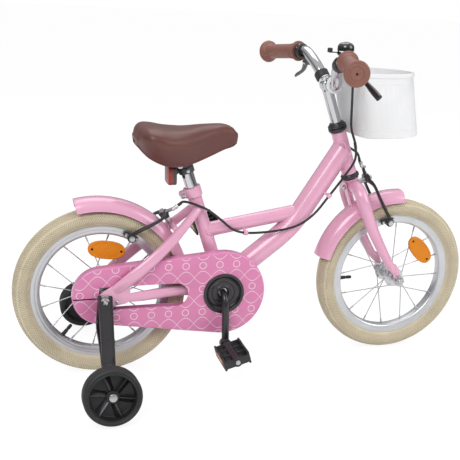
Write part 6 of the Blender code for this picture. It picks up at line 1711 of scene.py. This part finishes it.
    def grip(self, side: int, word: str) -> None:
        """A grip: two flanges, three raised bands, a ribbed palm and rings on its end."""
        start, out, length = self.grip_line(side)
        low, end = (0, length - self.grip_length), (0, length)
        barrel = np.linspace(low[1] + 0.030, length - 0.016, 61)
        palm = self.grip_radius * MM + 0.0004 * np.clip(np.sin(np.arange(61) * 1.05), 0, 1)
        inner = mm(11.3, 0, 19.8, 0, 20.8, 1.2, 21, 4, 19.6, 6.4, 17.2, 9.2, 15.6, 12.5, 15.4, 16, 16.6, 17.2,
                   16.6, 19.2, 15.2, 20.4, 15.2, 22.2, 16.2, 23.2, 16.2, 25, 15, 26.2)
        outer = mm(15.2, -12.5, 17.2, -9.8, 21.5, -7, 23.2, -4, 23.6, -1, 22.8, 2, 20.8, 3.4, 18, 2.6, 17.2, 2.6,
                   16, 3.7, 13.6, 3.7, 12.8, 2.6, 11.8, 2.6, 10.8, 3.7, 6.2, 3.7, 5.6, 2.8, 2.2, 2.8, 2, 0.6,
                   11.3, 0.6)
        profile = np.vstack([inner + low, np.column_stack([palm, barrel]), outer + end])
        form = Form().ring(profile, start, out, 72, 0.5, steps=2)
        # dark disc in the grip's open end: painted shade in the hole
        form.lathe(mm(0, 0.3, 2.4, 0.3, 2.4, 1, 0, 1) + end, start, out, 20, 0.1, 1)
        self.hang(form, "grip_cover_" + word, "handlebar", ("brown_grip", "painted_hole_shade"), "grip_" + word)

    def bell(self) -> None:
        """The bell: strap, base plate, polished dome with a stepped crown, and thumb lever."""
        points = self.bar_points(-1)
        centre, along = (points[5] + points[6]) / 2, unit(points[6] - points[5])
        top = centre + 0.010 * X
        form = Form().ring(band(11.3, 14, 14.6, 5.2, 6), centre, along, 48, 0.5)
        form.lathe(mm(0, 9, 7.5, 9, 7.5, 17, 15, 17.8, 15, 20.8, 14, 21.4, 3.8, 21.4, 3.4, 26.8, 0, 26.8),
                   top, Z)
        hinge = top + vec(-0.0125, 0.006, 0.0215)
        form.lathe(mm(0, -1, 3, -1, 3, 0.3, 1.7, 0.3, 1.7, 4, 0, 4.4), hinge, Z, 24, 0.3)
        self.hang(form, "bell_mount", "handlebar", "black_resin", "bell_base")
        low, r = 26.2, self.bell_radius
        dome = mm(0, 16.5, 3, 16.4, 3.4, 17, 4, 16.3, 8.5, 15.5, 12.5, 13.6, 15, 10.8, 16.1, 7.2, r - 0.2, 4,
                  r, 0.4, r - 0.4, 0, r - 1.2, 0, r - 1.4, 6, 12, 11.2, 6.5, 14, 0, 14.6) + mm(0, low)
        form = Form().lathe(dome, top, Z, 80, 1)
        form.lathe(mm(0, 27.2, 3, 27.2, 3, low + 15, 0, low + 15), top, Z, 24)
        self.hang(form, "bell_cap", "handlebar", "bell_gloss", "bell_dome")
        base = hinge + 0.0006 * Z
        thumb = outline(2, 3, 5.5, -3.6, 5.5, 3.6, -19, 3, -20.5, 0, -19, -3)
        form = Form().slab(thumb, base, X, Y, 0, 1.8, 0.4)
        form.lathe(mm(0, 0.8, 4.6, 0.8, 5, 1.6, 5, 7.8, 4.2, 8.7, 0, 8.4), base - 0.0175 * X, Z, 32)
        for k in range(5):
            form.rod(base + vec(-0.0175, -0.0030 + 0.0015 * k, 0.0086), X, -2.8, 2.8, 0.4, 6, 0.1)
        self.hang(form, "bell_thumb_lever", "bell_lever", "black_resin", "bell_lever")

    def make(self) -> None:
        """Makes every piece of the steering."""
        self.fork()
        self.guard()
        self.lock_nut()
        self.stem()
        self.bar()
        for side, word in SIDES:
            self.grip(side, word)
        self.bell()


# Brakes

@dataclass
class Brakes(Assembly):
    """Two side pull brakes, their levers and cables; arm, gap and start in millimetres."""

    steering: Steering
    rolls: dict[int, float] = field(default_factory=lambda: {-1: -42.0, 1: -45.0})
    arm: float = 5.0
    gap: float = 0.3
    start: float = 0.5
    pad_gap: float = 0.0156
    pad_drop: float = 0.0078
    front_bolt: Vec = field(default_factory=lambda: steer(WHEEL_RADIUS + 0.059, 0.030))
    rear_way: Vec = field(default_factory=lambda: unit(vec(-0.6, 0, 0.8)))

    def __post_init__(self) -> None:
        """Works out the way down to the rear rim and the point that the rear arms turn about."""
        self.rear_reach = -np.cross(Y, self.rear_way)
        self.rear_bolt = guard_at(0.0095, BRIDGE_ANGLE) + 0.024 * self.rear_way

    def base(self, layer: int) -> float:
        """How far in front of the pivot an arm's back is, in millimetres."""
        return self.start + layer * (self.arm + self.gap)

    def middle(self, layer: int) -> float:
        """How far in front of the pivot an arm's middle is."""
        return (self.base(layer) + self.arm / 2) * MM

    def arm_form(self, pivot: Vec, axis: Vec, reach: Vec, pad_at: Vec, axle: Vec, side: int, layer: int,
                 cable_side: float, lift: float) -> Form:
        """One arm: a bent flat forging from its cable end past the bolt to its shoe.

        Args:
            pivot: point turned about.
            axis: direction of the bolt, away from the frame.
            reach: direction down to the rim.
            pad_at: middle of the pad's height on the rim.
            axle: the wheel's axle.
            side: 1 for the far side, -1 for the near side.
            layer: 0 for the inner arm, 1 for the outer.
            cable_side: how far beside the bolt the cable end is.
            lift: how far above the bolt the cable end is.

        Returns:
            The form, with slot 0 for the arm, 1 for hardware and 2 for the pad.
        """
        drop, ahead = np.dot(pad_at - pivot, reach), np.dot(pad_at - pivot, axis)
        base, middle, half, wide = self.base(layer), self.middle(layer), self.arm / 2, 0.0365
        top = base + self.arm

        def at(down: float, beside: float, out: float) -> Vec:
            """A point below the bolt, beside it and in front of it."""
            return pivot + down * reach + beside * Y + out * axis

        form = Form().ring(mm(3.3, base, 8.8, base, 9.5, base + 0.6, 9.5, top - 0.6, 8.8, top, 3.3, top),
                           pivot, axis, 44, 0.4)
        line = smooth([at(0.001, 0, middle), at(0.001, 0.55 * wide * side, middle),
                       at(0.008, 0.92 * wide * side, middle + 0.10 * ahead),
                       at(0.45 * drop, wide * side, middle + 0.40 * ahead),
                       at(0.75 * drop, 0.97 * wide * side, middle + 0.72 * ahead),
                       at(drop - 0.006, 0.84 * wide * side, ahead + 0.004)], 0.003)
        form.tube(line, [(half, 6.5), (half, 6.2), (half, 5.5), (3, 5), (3.2, 4.8), (3.5, 5.5)], 28, axis, 0.75, 0.8)
        horn = smooth([at(-0.001, 0, middle), at(-0.5 * lift - 0.002, 0.6 * cable_side, middle),
                       at(-lift, cable_side, middle)], 0.003)
        form.tube(horn, [(half, 6), (half, 5), (half, 5.5)], 28, axis, 0.75, 0.8, 1 if layer else 0)
        ray = unit(pad_at - axle)
        tangent = np.cross(Y, ray)
        shoe = at(drop, self.pad_gap * side, ahead)
        way = math.copysign(1.0, np.dot(np.cross(tangent, ray), Y) * side)
        pad = box(-15, -4.75, 15, 4.75, 2.2)
        form.slab(pad, shoe, tangent, ray, *sorted((0.5 * way, 6.8 * way)), 0.6, 2)
        form.slab(pad * (0.92, 0.80), shoe, tangent, ray, *sorted((5.2 * way, 9.5 * way)), 0.6, 1)
        for groove in (-0.007, 0.0, 0.007):
            form.rod(shoe + groove * tangent + 0.0036 * side * Y + 0.0044 * ray, Y, -2.4, 2.4, 0.6, 8, 0.1, 2)
        form.bar(at(drop, (self.pad_gap + 0.008) * side, ahead), at(drop, (0.84 * wide + 0.008) * side, ahead),
                 3, 20, look=1)
        eye = at(drop, 0.84 * wide * side, ahead)
        form.sleeve(eye, side * Y, 3.2, 9, -3, 3, 36, 0.9)
        return form.nut(eye, side * Y, 6.4, 3.1, 7.2, 1)

    def calipers(self) -> None:
        """Both brakes' arms with the cable's barrel and clamp, and their bolts."""
        drop = RIM_RADIUS - self.pad_drop
        front = (self.front_bolt, STEER_AHEAD, -STEER_UP, FRONT + drop * unit(vec(-0.197, 0, 0.98)), FRONT)
        back = (self.rear_bolt, self.rear_way, self.rear_reach, REAR + drop * unit(vec(0.455, 0, 0.89)), REAR)
        for wheel, body, brake, spans, arms in (
                ("front", "fork", front, ((-53, -47.2), (-15.2, 0.2), -52),
                 ((-1, 0, 0.001, 0.026, "right"), (1, 1, 0.022, 0.026, "left"))),
                ("rear", "frame", back, ((-35.3, -30.3), (-17.7, 0.2), -34.5),
                 ((1, 0, -0.022, 0.001, "left"), (-1, 1, -0.022, 0.024, "right")))):
            pivot, axis, reach = brake[:3]
            for side, layer, cable_side, lift, word in arms:
                form = self.arm_form(*brake, side, layer, cable_side, lift)
                head = pivot - lift * reach + cable_side * Y + self.middle(layer) * axis
                if layer:
                    form.ring(mm(1.5, -5.5, 3.6, -5.5, 3.6, 2, 4.4, 2.4, 4.4, 6.2, 3.4, 7, 1.5, 7), head, -reach,
                              28, 0.4, 1)
                elif wheel == "front":
                    form.nut(head, axis, 4.2, 2.2, 5.2, 1).rod(head, axis, -3, 6.8, 2.4, 20, look=1)
                name = f"{wheel}_brake_arm_{word}"
                self.hang(form, f"{wheel}_caliper_{word}", name, ("pressed_steel", "zinc_steel", "black_rubber"),
                          name)
            self.bolt(wheel, body, pivot, axis, *spans)

    def bolt(self, wheel: str, body: str, pivot: Vec, axis: Vec, nut: tuple[float, float],
             collar: tuple[float, float], start: float) -> None:
        """A centre bolt: a threaded rod with a nut and collar behind, and a washer and nut before.

        Args:
            wheel: front or rear.
            body: the body that carries it.
            pivot: point that the arms turn about.
            axis: direction of the bolt, away from the frame.
            nut: span of the nut behind, in millimetres along the axis.
            collar: span of the collar, likewise.
            start: where the rod starts.
        """
        outer = self.base(2)
        form = Form().rod(pivot, axis, start, outer + 4.5, 2.8, 24)
        form.nut(pivot, axis, 5.6, *nut).sleeve(pivot, axis, 2.6, 6, *collar, 36, 0.5)
        form.sleeve(pivot, axis, 2.6, 6.2, outer + 0.1, outer + 1, 36, 0.2)
        form.nut(pivot, axis, 5.4, outer + 1, outer + 5)
        self.hang(form, wheel + "_caliper_bolt", body, "zinc_steel", wheel + "_brake_bolt")

    def lever_frame(self, side: int) -> tuple[Vec, Vec, Vec, Vec]:
        """Clamp centre, outward direction, reach direction and hinge direction."""
        start, out, end = self.steering.grip_line(side)
        roll = math.radians(self.rolls[side])
        ahead = unit(X - np.dot(X, out) * out)
        over = np.cross(out, ahead) * side
        over = over if over[2] > 0 else -over
        reach = math.cos(roll) * ahead + math.sin(roll) * over
        return start + (end - self.steering.grip_length - 0.0085) * out, out, reach, unit(np.cross(out, reach))

    def lever(self, side: int, word: str) -> None:
        """A lever and its clamp: band, body, barrel, pin and a blade that thins to a rounded tip."""
        centre, out, reach, hinge = self.lever_frame(side)

        def at(*places: float) -> Vec:
            """Points from pairs of millimetres outward and along the reach."""
            return centre + mm(*places) @ np.array([out, reach])

        form = Form().ring(band(11.3, 14.5, 15.3, 5.5, 6.5), centre, out, 56)
        neck = outline(1.5, 3, -6, 14, 6, 14, 6.2, 19.2, -4, 19.2, -4, 33, -10, 34, -16, 24)
        form.slab(neck, centre, out, reach, -6.2, 6.2, 1.2)
        cheek = outline(3, 4, -8, 19, 6.2, 19, 15, 23.6, 15, 34, -8, 34)
        for low, high in ((-6.5, -4), (4, 6.5)):
            form.slab(cheek, centre, out, reach, low, high, 0.6)
        barrel, pivot, screw = at(0, 27.5, 10, 27.5, 0, -12)
        form.ring(mm(2.7, 10, 4.2, 10, 4.2, 16, 5, 16.4, 5, 22.5, 4, 24, 2.7, 24), barrel, -out, 32, 0.4, 1)
        form.rod(pivot, hinge, -7.8, 7.8, 2.1, 20, look=1)
        for way in (-1, 1):
            form.lathe(mm(0, 6.4, 3.6, 6.4, 3.6, 7.8, 2.2, 8.6, 0, 8.6), pivot, way * hinge, 24, 0.4, 1)
        form.rod(screw, hinge, -6, 6, 3, 20, look=1)
        self.hang(form, "lever_clamp_" + word, "handlebar", ("black_resin", "zinc_steel"), "lever_bracket_" + word)
        line = smooth(at(4, 26.2, 14, 30, 26, 40.5, 45, 53.5, 70, 64, 88, 70), 0.003)
        sizes = [(3.3, 5.2), (3.3, 5.8), (4.4, 5), (5.8, 3.8), (6.4, 3.2), (6.2, 3)]
        form = Form().tube(line, sizes, 40, hinge, 0.7, 3)
        self.hang(form, "lever_blade_" + word, "brake_lever_" + word, "black_paint", "brake_lever_" + word)

    def route(self, side: int, points: Vec, last: float, up: Vec, end: Vec) -> Vec:
        """A cable's line from its lever's barrel through points to its brake.

        Args:
            side: 1 for the far lever, -1 for the near one.
            points: what the cable passes.
            last: how far before its end the cable starts to run straight.
            up: the direction from the end up to that point.
            end: where it ends.

        Returns:
            The line, with its length logged.
        """
        centre, out, reach, _ = self.lever_frame(side)
        start = centre - 0.0249 * out + 0.0275 * reach
        path = smooth([start, start - 0.010 * out, *points, end + last * up, end], 0.004)
        LOG.info("cable on side %d: %.0f mm long", side, travelled(path)[-1] / MM)
        return path

    def jacket(self, path: Vec, name: str) -> bpy.types.Object:
        """The jacket along a path, with a ferrule at each end, in its slot."""
        form = Form().tube(path, CABLE_RADIUS, 20)
        for end, beside in ((0, 3), (-1, -4)):
            form.ring(mm(2.2, 0, 3.1, 0, 3.1, 8.5, 2.6, 9.5, 2.2, 9.5), path[end], unit(path[beside] - path[end]),
                      28, 0.4)
        made = form.build(name, self.looks.get("cable_jacket"))
        return made

    def cables(self) -> None:
        """Both brake cables, each in the parts that its joints let turn."""
        reach = self.rear_reach
        end = self.rear_bolt - 0.0323 * reach - 0.022 * Y + self.middle(1) * self.rear_way
        shift = vec(HALF_BASE - 0.645, 0, 0)
        high = shift + spots(496, -58, 548, 506, -42, 505, 520, -36, 472, 524, -32.5, 440, 503, -30.5, 404,
                             473, -27.5, 362, 443, -28.5, 326, 410, -29, 303.5)
        low = REAR + spots(366, -26, 119, 298.5, -16.5, 114, 270, -20, 123, 243, -21.5, 145, 220, -22.5, 163,
                           205, -23.5, 172)
        path = self.route(-1, [*high, *low], 0.012, -reach, end)
        split, clip, second_clip = (nearest(path, spot) for spot in (high[2], high[5], low[1]))
        upper = self.jacket(path[:split + 2], "rear_cable_upper")
        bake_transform(upper)
        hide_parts("rear_brake_cable")
        lower = self.jacket(path[split:], "rear_cable_lower")
        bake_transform(lower)
        self.clips(path, (clip, second_clip))
        end = self.front_bolt + 0.0303 * STEER_UP + 0.026 * Y + self.middle(1) * STEER_AHEAD
        points = shift + spots(490, 34, 562, 500, 29, 530, 509, 28, 498, 525, 20, 462)
        path = self.route(1, points, 0.020, STEER_UP, end)
        front = self.jacket(path, "front_cable")
        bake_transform(front)
        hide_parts("front_brake_cable")

    def clips(self, path: Vec, places: tuple[int, int]) -> None:
        """The two pink clips that hold the rear cable on the frame, each on a short foot."""
        form = Form()
        for index, (start, end) in zip(places, ((DOWN_CORNER, DOWN_TOP), TOP_TUBE)):
            held = path[index]
            form.ring(band(2.9, 4.7, 5.1, 4, 4.5), held, unit(path[index + 1] - path[index - 1]), 28, 0.4)
            run = unit(end - start)
            root = start + np.dot(held - start, run) * run
            toward = unit(held - root)
            form.bar(root + 0.006 * toward, held - 0.0042 * toward, 2.8, 20)
        self.hang(form, "cable_clips", "frame", "pink_paint")

    def make(self) -> None:
        """Makes every piece of the brakes."""
        self.calipers()
        for side, word in SIDES:
            self.lever(side, word)
        self.cables()


# Basket and training wheels

@dataclass
class Basket(Assembly):
    """The moulded basket: rounded walls, lip, border ridges and fluted sides; no panel closes the floor."""

    at: Vec = field(default_factory=lambda: vec(HALF_BASE - 0.085, 0, 0.489))
    front: float = 0.110
    back: float = 0.040
    width: float = 0.160
    height: float = 0.128
    lean: float = 0.026
    wall: float = 2.2
    count: int = 360
    flutes: int = 60
    flute_depth: float = 0.0006

    def ring(self, level: float, inset: float, flute: float = 0.0) -> Vec:
        """A row round the basket: a superellipse split into a long front and a short square back.

        Args:
            level: height above the floor's underside.
            inset: how far inside the outer wall.
            flute: depth of shallow upright flutes.

        Returns:
            The row of points.
        """
        share = level / self.height
        turn = (np.arange(self.count) + 0.5) * TAU / self.count
        c, s = np.cos(turn), np.sin(turn)
        ridge = inset + flute * np.clip(np.cos(self.flutes * turn), 0, 1) ** 4
        wide = self.width / 2 * (0.92 + 0.08 * share) - ridge
        power = np.where(c > 0, 0.90, 0.5)
        long = np.where(c > 0, self.front, self.back) - ridge
        flat = np.stack([long * powered(c, power), wide * powered(s, power), 0 * c], axis=1)
        return self.at + vec(-self.lean * share, 0, level) + flat

    def make(self) -> None:
        """Makes the basket and the two moulded hooks that hold the bar beside the stem's clamp."""
        tall, wall = self.height / MM, self.wall
        low = mm(0, 4.5, 0, 2.2, 0.8, 0.6, 2.5, 0, 15.5, 0, 16, -0.7, 18, -0.7, 18.5, 0, 20, 0)
        high = mm(102.5, 0, tall - 20.5, 0, tall - 20, -0.6, tall - 18.2, -0.6, tall - 17.7, 0, tall - 8.6, 0,
                  tall - 8, -1, tall - 7.6, -2, tall - 1, -2.2, tall - 0.2, -1.6, tall, -0.6, tall, wall - 0.6,
                  tall - 0.6, wall, tall - 12, wall, 30, wall, wall + 3, wall, wall + 0.8, wall + 0.8,
                  wall, wall + 3, wall, wall + 5.8, wall + 0.8, wall + 6.2, wall + 1, wall + 7.2)
        rows = [self.ring(*level) for level in low]
        rows += [self.ring(0.0230 + k * 0.0085, 0.0, self.flute_depth) for k in range(10)]
        form = Form().add(np.stack(rows + [self.ring(*level) for level in high]), close=True)
        for side in (-1, 1):
            centre = CLAMP + 0.0207 * side * Y
            wall_spot = self.at + vec(0.0015 - self.back - 0.80 * self.lean, 0.0245 * side, 0.80 * self.height)
            form.ring(band(11.5, 16.1, 16.6, 3, 3.6), centre, Y, 56, 0.5)
            form.bar(centre + 0.0150 * unit(wall_spot - centre), wall_spot, 3.3, 20)
            form.lathe(mm(0, -3.5, 7.5, -3.5, 8, -3, 8, -1.5, 0, -1.5), wall_spot, X, 32, 0.4)
        self.hang(form, "basket_shell", "handlebar", "white_plastic", "basket", 32.0)


@dataclass
class Trainers(Assembly):
    """The two training wheels on their channelled brackets; radius and width in millimetres."""

    radius: float = 54.0
    width: float = 34.0
    offset: float = 0.2435
    lean: float = 10.0
    outer: float = 59.8

    def hub(self, side: int) -> tuple[Vec, Vec, Vec]:
        """Centre of a wheel, its axis outward and the direction up its face."""
        turn = math.radians(self.lean)
        out = vec(0, side * math.cos(turn), math.sin(turn))
        height = (self.radius * math.cos(turn) + self.width / 2 * math.sin(turn)) * MM
        rise = unit(Z - np.dot(Z, out) * out)
        return vec(-HALF_BASE - 0.012, self.offset * side, height), out, rise

    def channel(self, path: Vec, side: int) -> Vec:
        """A pressed channel along a path: a flat web between two lips with rounded edges.

        Args:
            path: corners of the web's middle line.
            side: 1 for the far side, -1 for the near side.

        Returns:
            Its closed rows of points.
        """
        section = outline(0.9, 3, -14, -1.5, 14, -1.5, 14, 7, 11.5, 7, 11.5, 1.5, -11.5, 1.5, -11.5, 7, -14, 7)
        line = smooth(path, 0.003)
        way = unit(np.gradient(line, axis=0))
        first = unit(X - np.sum(way * X, axis=1)[:, None] * way)
        second = -side * np.cross(way, first)
        narrow = 1.0 - 0.16 * np.clip((np.linspace(0, 1, len(line))[:, None] - 0.30) / 0.15, 0, 1)
        return (line[:, None] + (narrow * section[:, 0])[..., None] * first[:, None]
                + section[:, 1, None] * second[:, None])

    def bracket(self, side: int, word: str) -> None:
        """One bracket: channelled leg, cap screw, wheel bolt with its nut and washer, and end cap."""
        hub, out, rise = self.hub(side)
        inner = (self.outer + 1.5) * side
        foot = hub - 0.0285 * out
        path = [*(REAR + spots(1, inner, 10, -1, inner, -12, -4, inner, -45)),
                foot + 0.016 * rise - 0.002 * out, foot + 0.008 * rise, foot - 0.014 * rise]
        form = Form().add(self.channel(path, side), close=True)
        form.lathe(mm(0, 1, 5, 1, 5, 1.8, 4, 3.4, 0, 4), rear(-0.004, inner * MM, -0.0440), side * Y, 28, 0.4)
        form.rod(hub, out, -34.5, 16.5, 4.9, 28, look=1).nut(hub, out, 7.2, -34.5, -30, 1)
        form.sleeve(hub, out, 4.5, 8.5, -28.5, -27, 36, 0.3, 1)
        form.lathe(mm(0, 10.8, 7.8, 10.8, 8, 11.5, 8, 15, 7, 16.2, 3.6, 16.6, 3.4, 14, 0, 13.8), hub, out, 40,
                   0.5, 1)
        self.hang(form, "stabiliser_bracket_" + word, "frame", ("black_paint", "zinc_steel"),
                  "training_bracket_" + word)

    def wheel(self, side: int, word: str) -> None:
        """One wheel: a grooved tread, a dished face with a raised lip, six fan blades and a hub boss."""
        hub, out, rise = self.hub(side)
        half, r = self.width / 2, self.radius
        tread = [43, -half, r - 3, -half, r - 0.6, 2.4 - half]
        for h in 5.2 - half + 5.2 * np.arange(5):
            tread += [r, h - 1.3, r, h, r - 1.4, h + 0.6, r - 1.4, h + 1.4, r, h + 2]
        tread += [r, half - 4.5, r - 1.8, half - 1.4, r - 4.5, half]
        face = [47.5, half, 46.5, half - 1, 44.8, half - 1, 44, half, 42.8, half - 0.6, 40, 0.8, 38.5, 0, 13, 0,
                12.4, 1, 12, half - 7.5, 11, half - 6.5, 5.4, half - 6.5]
        back = [5.4, 6 - half, 13, 6 - half, 13, -4, 40, -4]
        form = Form().ring(mm(*tread, *face, *back), hub, out, 120, 0.5, steps=2)
        for turn in np.arange(6) * TAU / 6:
            ray = math.cos(turn) * rise + math.sin(turn) * X
            beside = np.cross(out, ray)
            start, end = hub + 0.0105 * ray + 0.003 * out, hub + 0.0418 * ray + 0.004 * out + 0.010 * beside
            long = float(np.linalg.norm(end - start)) / 2 / MM
            first, up = unit(end - start), unit(out + 1.1 * beside)
            blade = outline(1.6, 3, -long, -5.8, long, -9.8, long, 9.8, -long, 5.8)
            form.slab(blade, (start + end) / 2, first, unit(up - np.dot(up, first) * first), -0.9, 0.9, 0.5, 1)
        form.sleeve(hub, out, 9.5, 15, 0.4, 1.2, 48, 0.3)
        name = "training_wheel_" + word
        self.hang(form, "stabiliser_wheel_" + word, name, ("black_rubber", "black_paint"), name)

    def make(self) -> None:
        """Makes both sides."""
        for side, word in SIDES:
            self.bracket(side, word)
            self.wheel(side, word)


# Studio

@dataclass(frozen=True)
class Studio:
    """Floor, lamps, white surroundings and the camera."""

    place: tuple[float, float, float] = (-0.51144, -1.61143, 0.75691)
    right: tuple[float, float, float] = (0.951419, -0.30422, 0.047456)
    up: tuple[float, float, float] = (0.06295, 0.343065, 0.9372)
    back: tuple[float, float, float] = (-0.301396, -0.888683, 0.345549)
    aim: tuple[float, float, float] = (0, 0, 0.30)
    lens: float = 65.1055
    shift: tuple[float, float] = (-37 / 460, 69 / 460)

    def stand(self, name: str, data: bpy.types.ID) -> bpy.types.Object:
        """Puts an object with its data in the scene."""
        made = bpy.data.objects.new(name, data)
        bpy.context.collection.objects.link(made)
        return made

    def camera(self) -> None:
        """Stands the camera at the photograph's view."""
        eye = bpy.data.cameras.new("camera")
        eye.lens, eye.sensor_width, eye.clip_end = self.lens, 36.0, 50.0
        eye.shift_x, eye.shift_y = self.shift
        grid = Matrix((self.right, self.up, self.back)).transposed().to_4x4()
        grid.translation = Vector(self.place)
        bpy.context.scene.camera = self.stand("camera", eye)
        bpy.context.scene.camera.matrix_world = grid

    def lamp(self, name: str, place: tuple[float, float, float], power: float, size: float) -> None:
        """A square area lamp aimed at the bicycle, with its power in watts and its edge in metres."""
        light = bpy.data.lights.new(name, "AREA")
        light.energy, light.size = power, size
        holder = self.stand(name, light)
        holder.location = place
        holder.rotation_euler = (Vector(self.aim) - Vector(place)).to_track_quat("-Z", "Y").to_euler()

    def world(self) -> None:
        """White where the camera looks past everything, and a soft pale light elsewhere."""
        sky = bpy.data.worlds.new("surroundings")
        bpy.context.scene.world = sky
        sky.use_nodes = True
        sky.node_tree.nodes.clear()
        g = Graph(sky.node_tree)
        upward = g.add("SeparateXYZ", {0: g.place("Generated")}).outputs["Z"]
        ramp = g.add("ValToRGB", {0: g.ramp(upward, -1.0, 1.0)})
        stops = ramp.color_ramp.elements
        stops[0].position, stops[0].color = 0.30, (0.62, 0.62, 0.63, 1)
        stops[1].position, stops[1].color = 0.85, (1.0, 1.0, 1.0, 1)
        stops.new(0.5).color = (0.16, 0.16, 0.17, 1)
        soft = g.add("Background", {0: ramp.outputs[0], 1: 0.70})
        seen = g.add("Background", {0: (1, 1, 1, 1), 1: 1.0})
        camera_ray = g.add("LightPath").outputs["Is Camera Ray"]
        mix = g.add("MixShader", {0: camera_ray, 1: soft.outputs[0], 2: seen.outputs[0]})
        g.add("OutputWorld", {0: mix.outputs[0]})

    def floor(self) -> None:
        """A wide floor: white to the camera with a faint shadow, pale to everything else."""
        mesh = bpy.data.meshes.new("floor")
        wide = 30.0
        mesh.from_pydata([(-wide, -wide, 0), (wide, -wide, 0), (wide, wide, 0), (-wide, wide, 0)], [],
                         [(0, 1, 2, 3)])
        ground = self.stand("floor", mesh)
        pale = bpy.data.materials.new("floor")
        pale.use_nodes = True
        g = Graph(pale.node_tree)
        surface = g.give(g.tree.nodes["Principled BSDF"], {"Base Color": (0.88, 0.88, 0.88, 1), "Roughness": 0.9})
        white = g.add("Emission", {1: 1.10})
        share = g.math("MULTIPLY", g.add("LightPath").outputs["Is Camera Ray"], 0.80)
        mix = g.add("MixShader", {0: share, 1: surface.outputs[0], 2: white.outputs[0]})
        g.give(g.tree.nodes["Material Output"], {0: mix.outputs[0]})
        mesh.materials.append(pale)
        ground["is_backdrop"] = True

    def make(self) -> None:
        """Sets up the floor, the lamps, the surroundings and the camera."""
        self.floor()
        self.world()
        self.lamp("key", (-1.6, -2.2, 2.6), 52.0, 1.8)
        self.lamp("fill", (2.2, -1.6, 1.6), 26.0, 1.6)
        self.lamp("top", (0.2, 1.2, 2.8), 22.0, 2.0)
        self.camera()
        bpy.context.scene.view_settings.view_transform = "Standard"


def measure(first: object, last: object) -> None:
    """Puts the model's bounds before and after dressing into plain lists, which are then dropped.

    Args:
        first: bounds after loading.
        last: bounds before finishing.
    """
    def plain(value: object) -> object:
        """The value as dictionaries, lists and numbers."""
        if isinstance(value, dict):
            return {str(key): plain(item) for key, item in value.items()}
        if isinstance(value, (list, tuple, np.ndarray, Vector)):
            return [plain(item) for item in value]
        return float(value)

    {"before": plain(first), "after": plain(last)}


def main() -> None:
    """Dresses the whole bicycle and sets up its picture."""
    logging.basicConfig(level=logging.INFO, format="%(message)s")
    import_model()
    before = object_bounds()
    looks = Looks()
    rear_wheel = Wheel(looks, "rear", REAR, 229.2, 13.5, 80, (-1, -1, 1, 1), 47.5, 16, 82.5, 0.0905,
                       (-0.0342, 0.0305), 6.8)
    front_wheel = Wheel(looks, "front", FRONT, 181.6, 19.5, 90, (1, 1, -1, -1), 30, 11.5, 42, 0.0854,
                        (-0.029, 0.029), 8.2)
    steering = Steering(looks)
    for assembly in (MainFrame(looks), rear_wheel, front_wheel, Drive(looks), SeatGroup(looks), steering,
                     Brakes(looks, steering), Basket(looks), Trainers(looks)):
        LOG.info("making %s", type(assembly).__name__)
        assembly.make()
    Studio().make()
    measure(before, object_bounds())


if __name__ == "__main__":
    main()
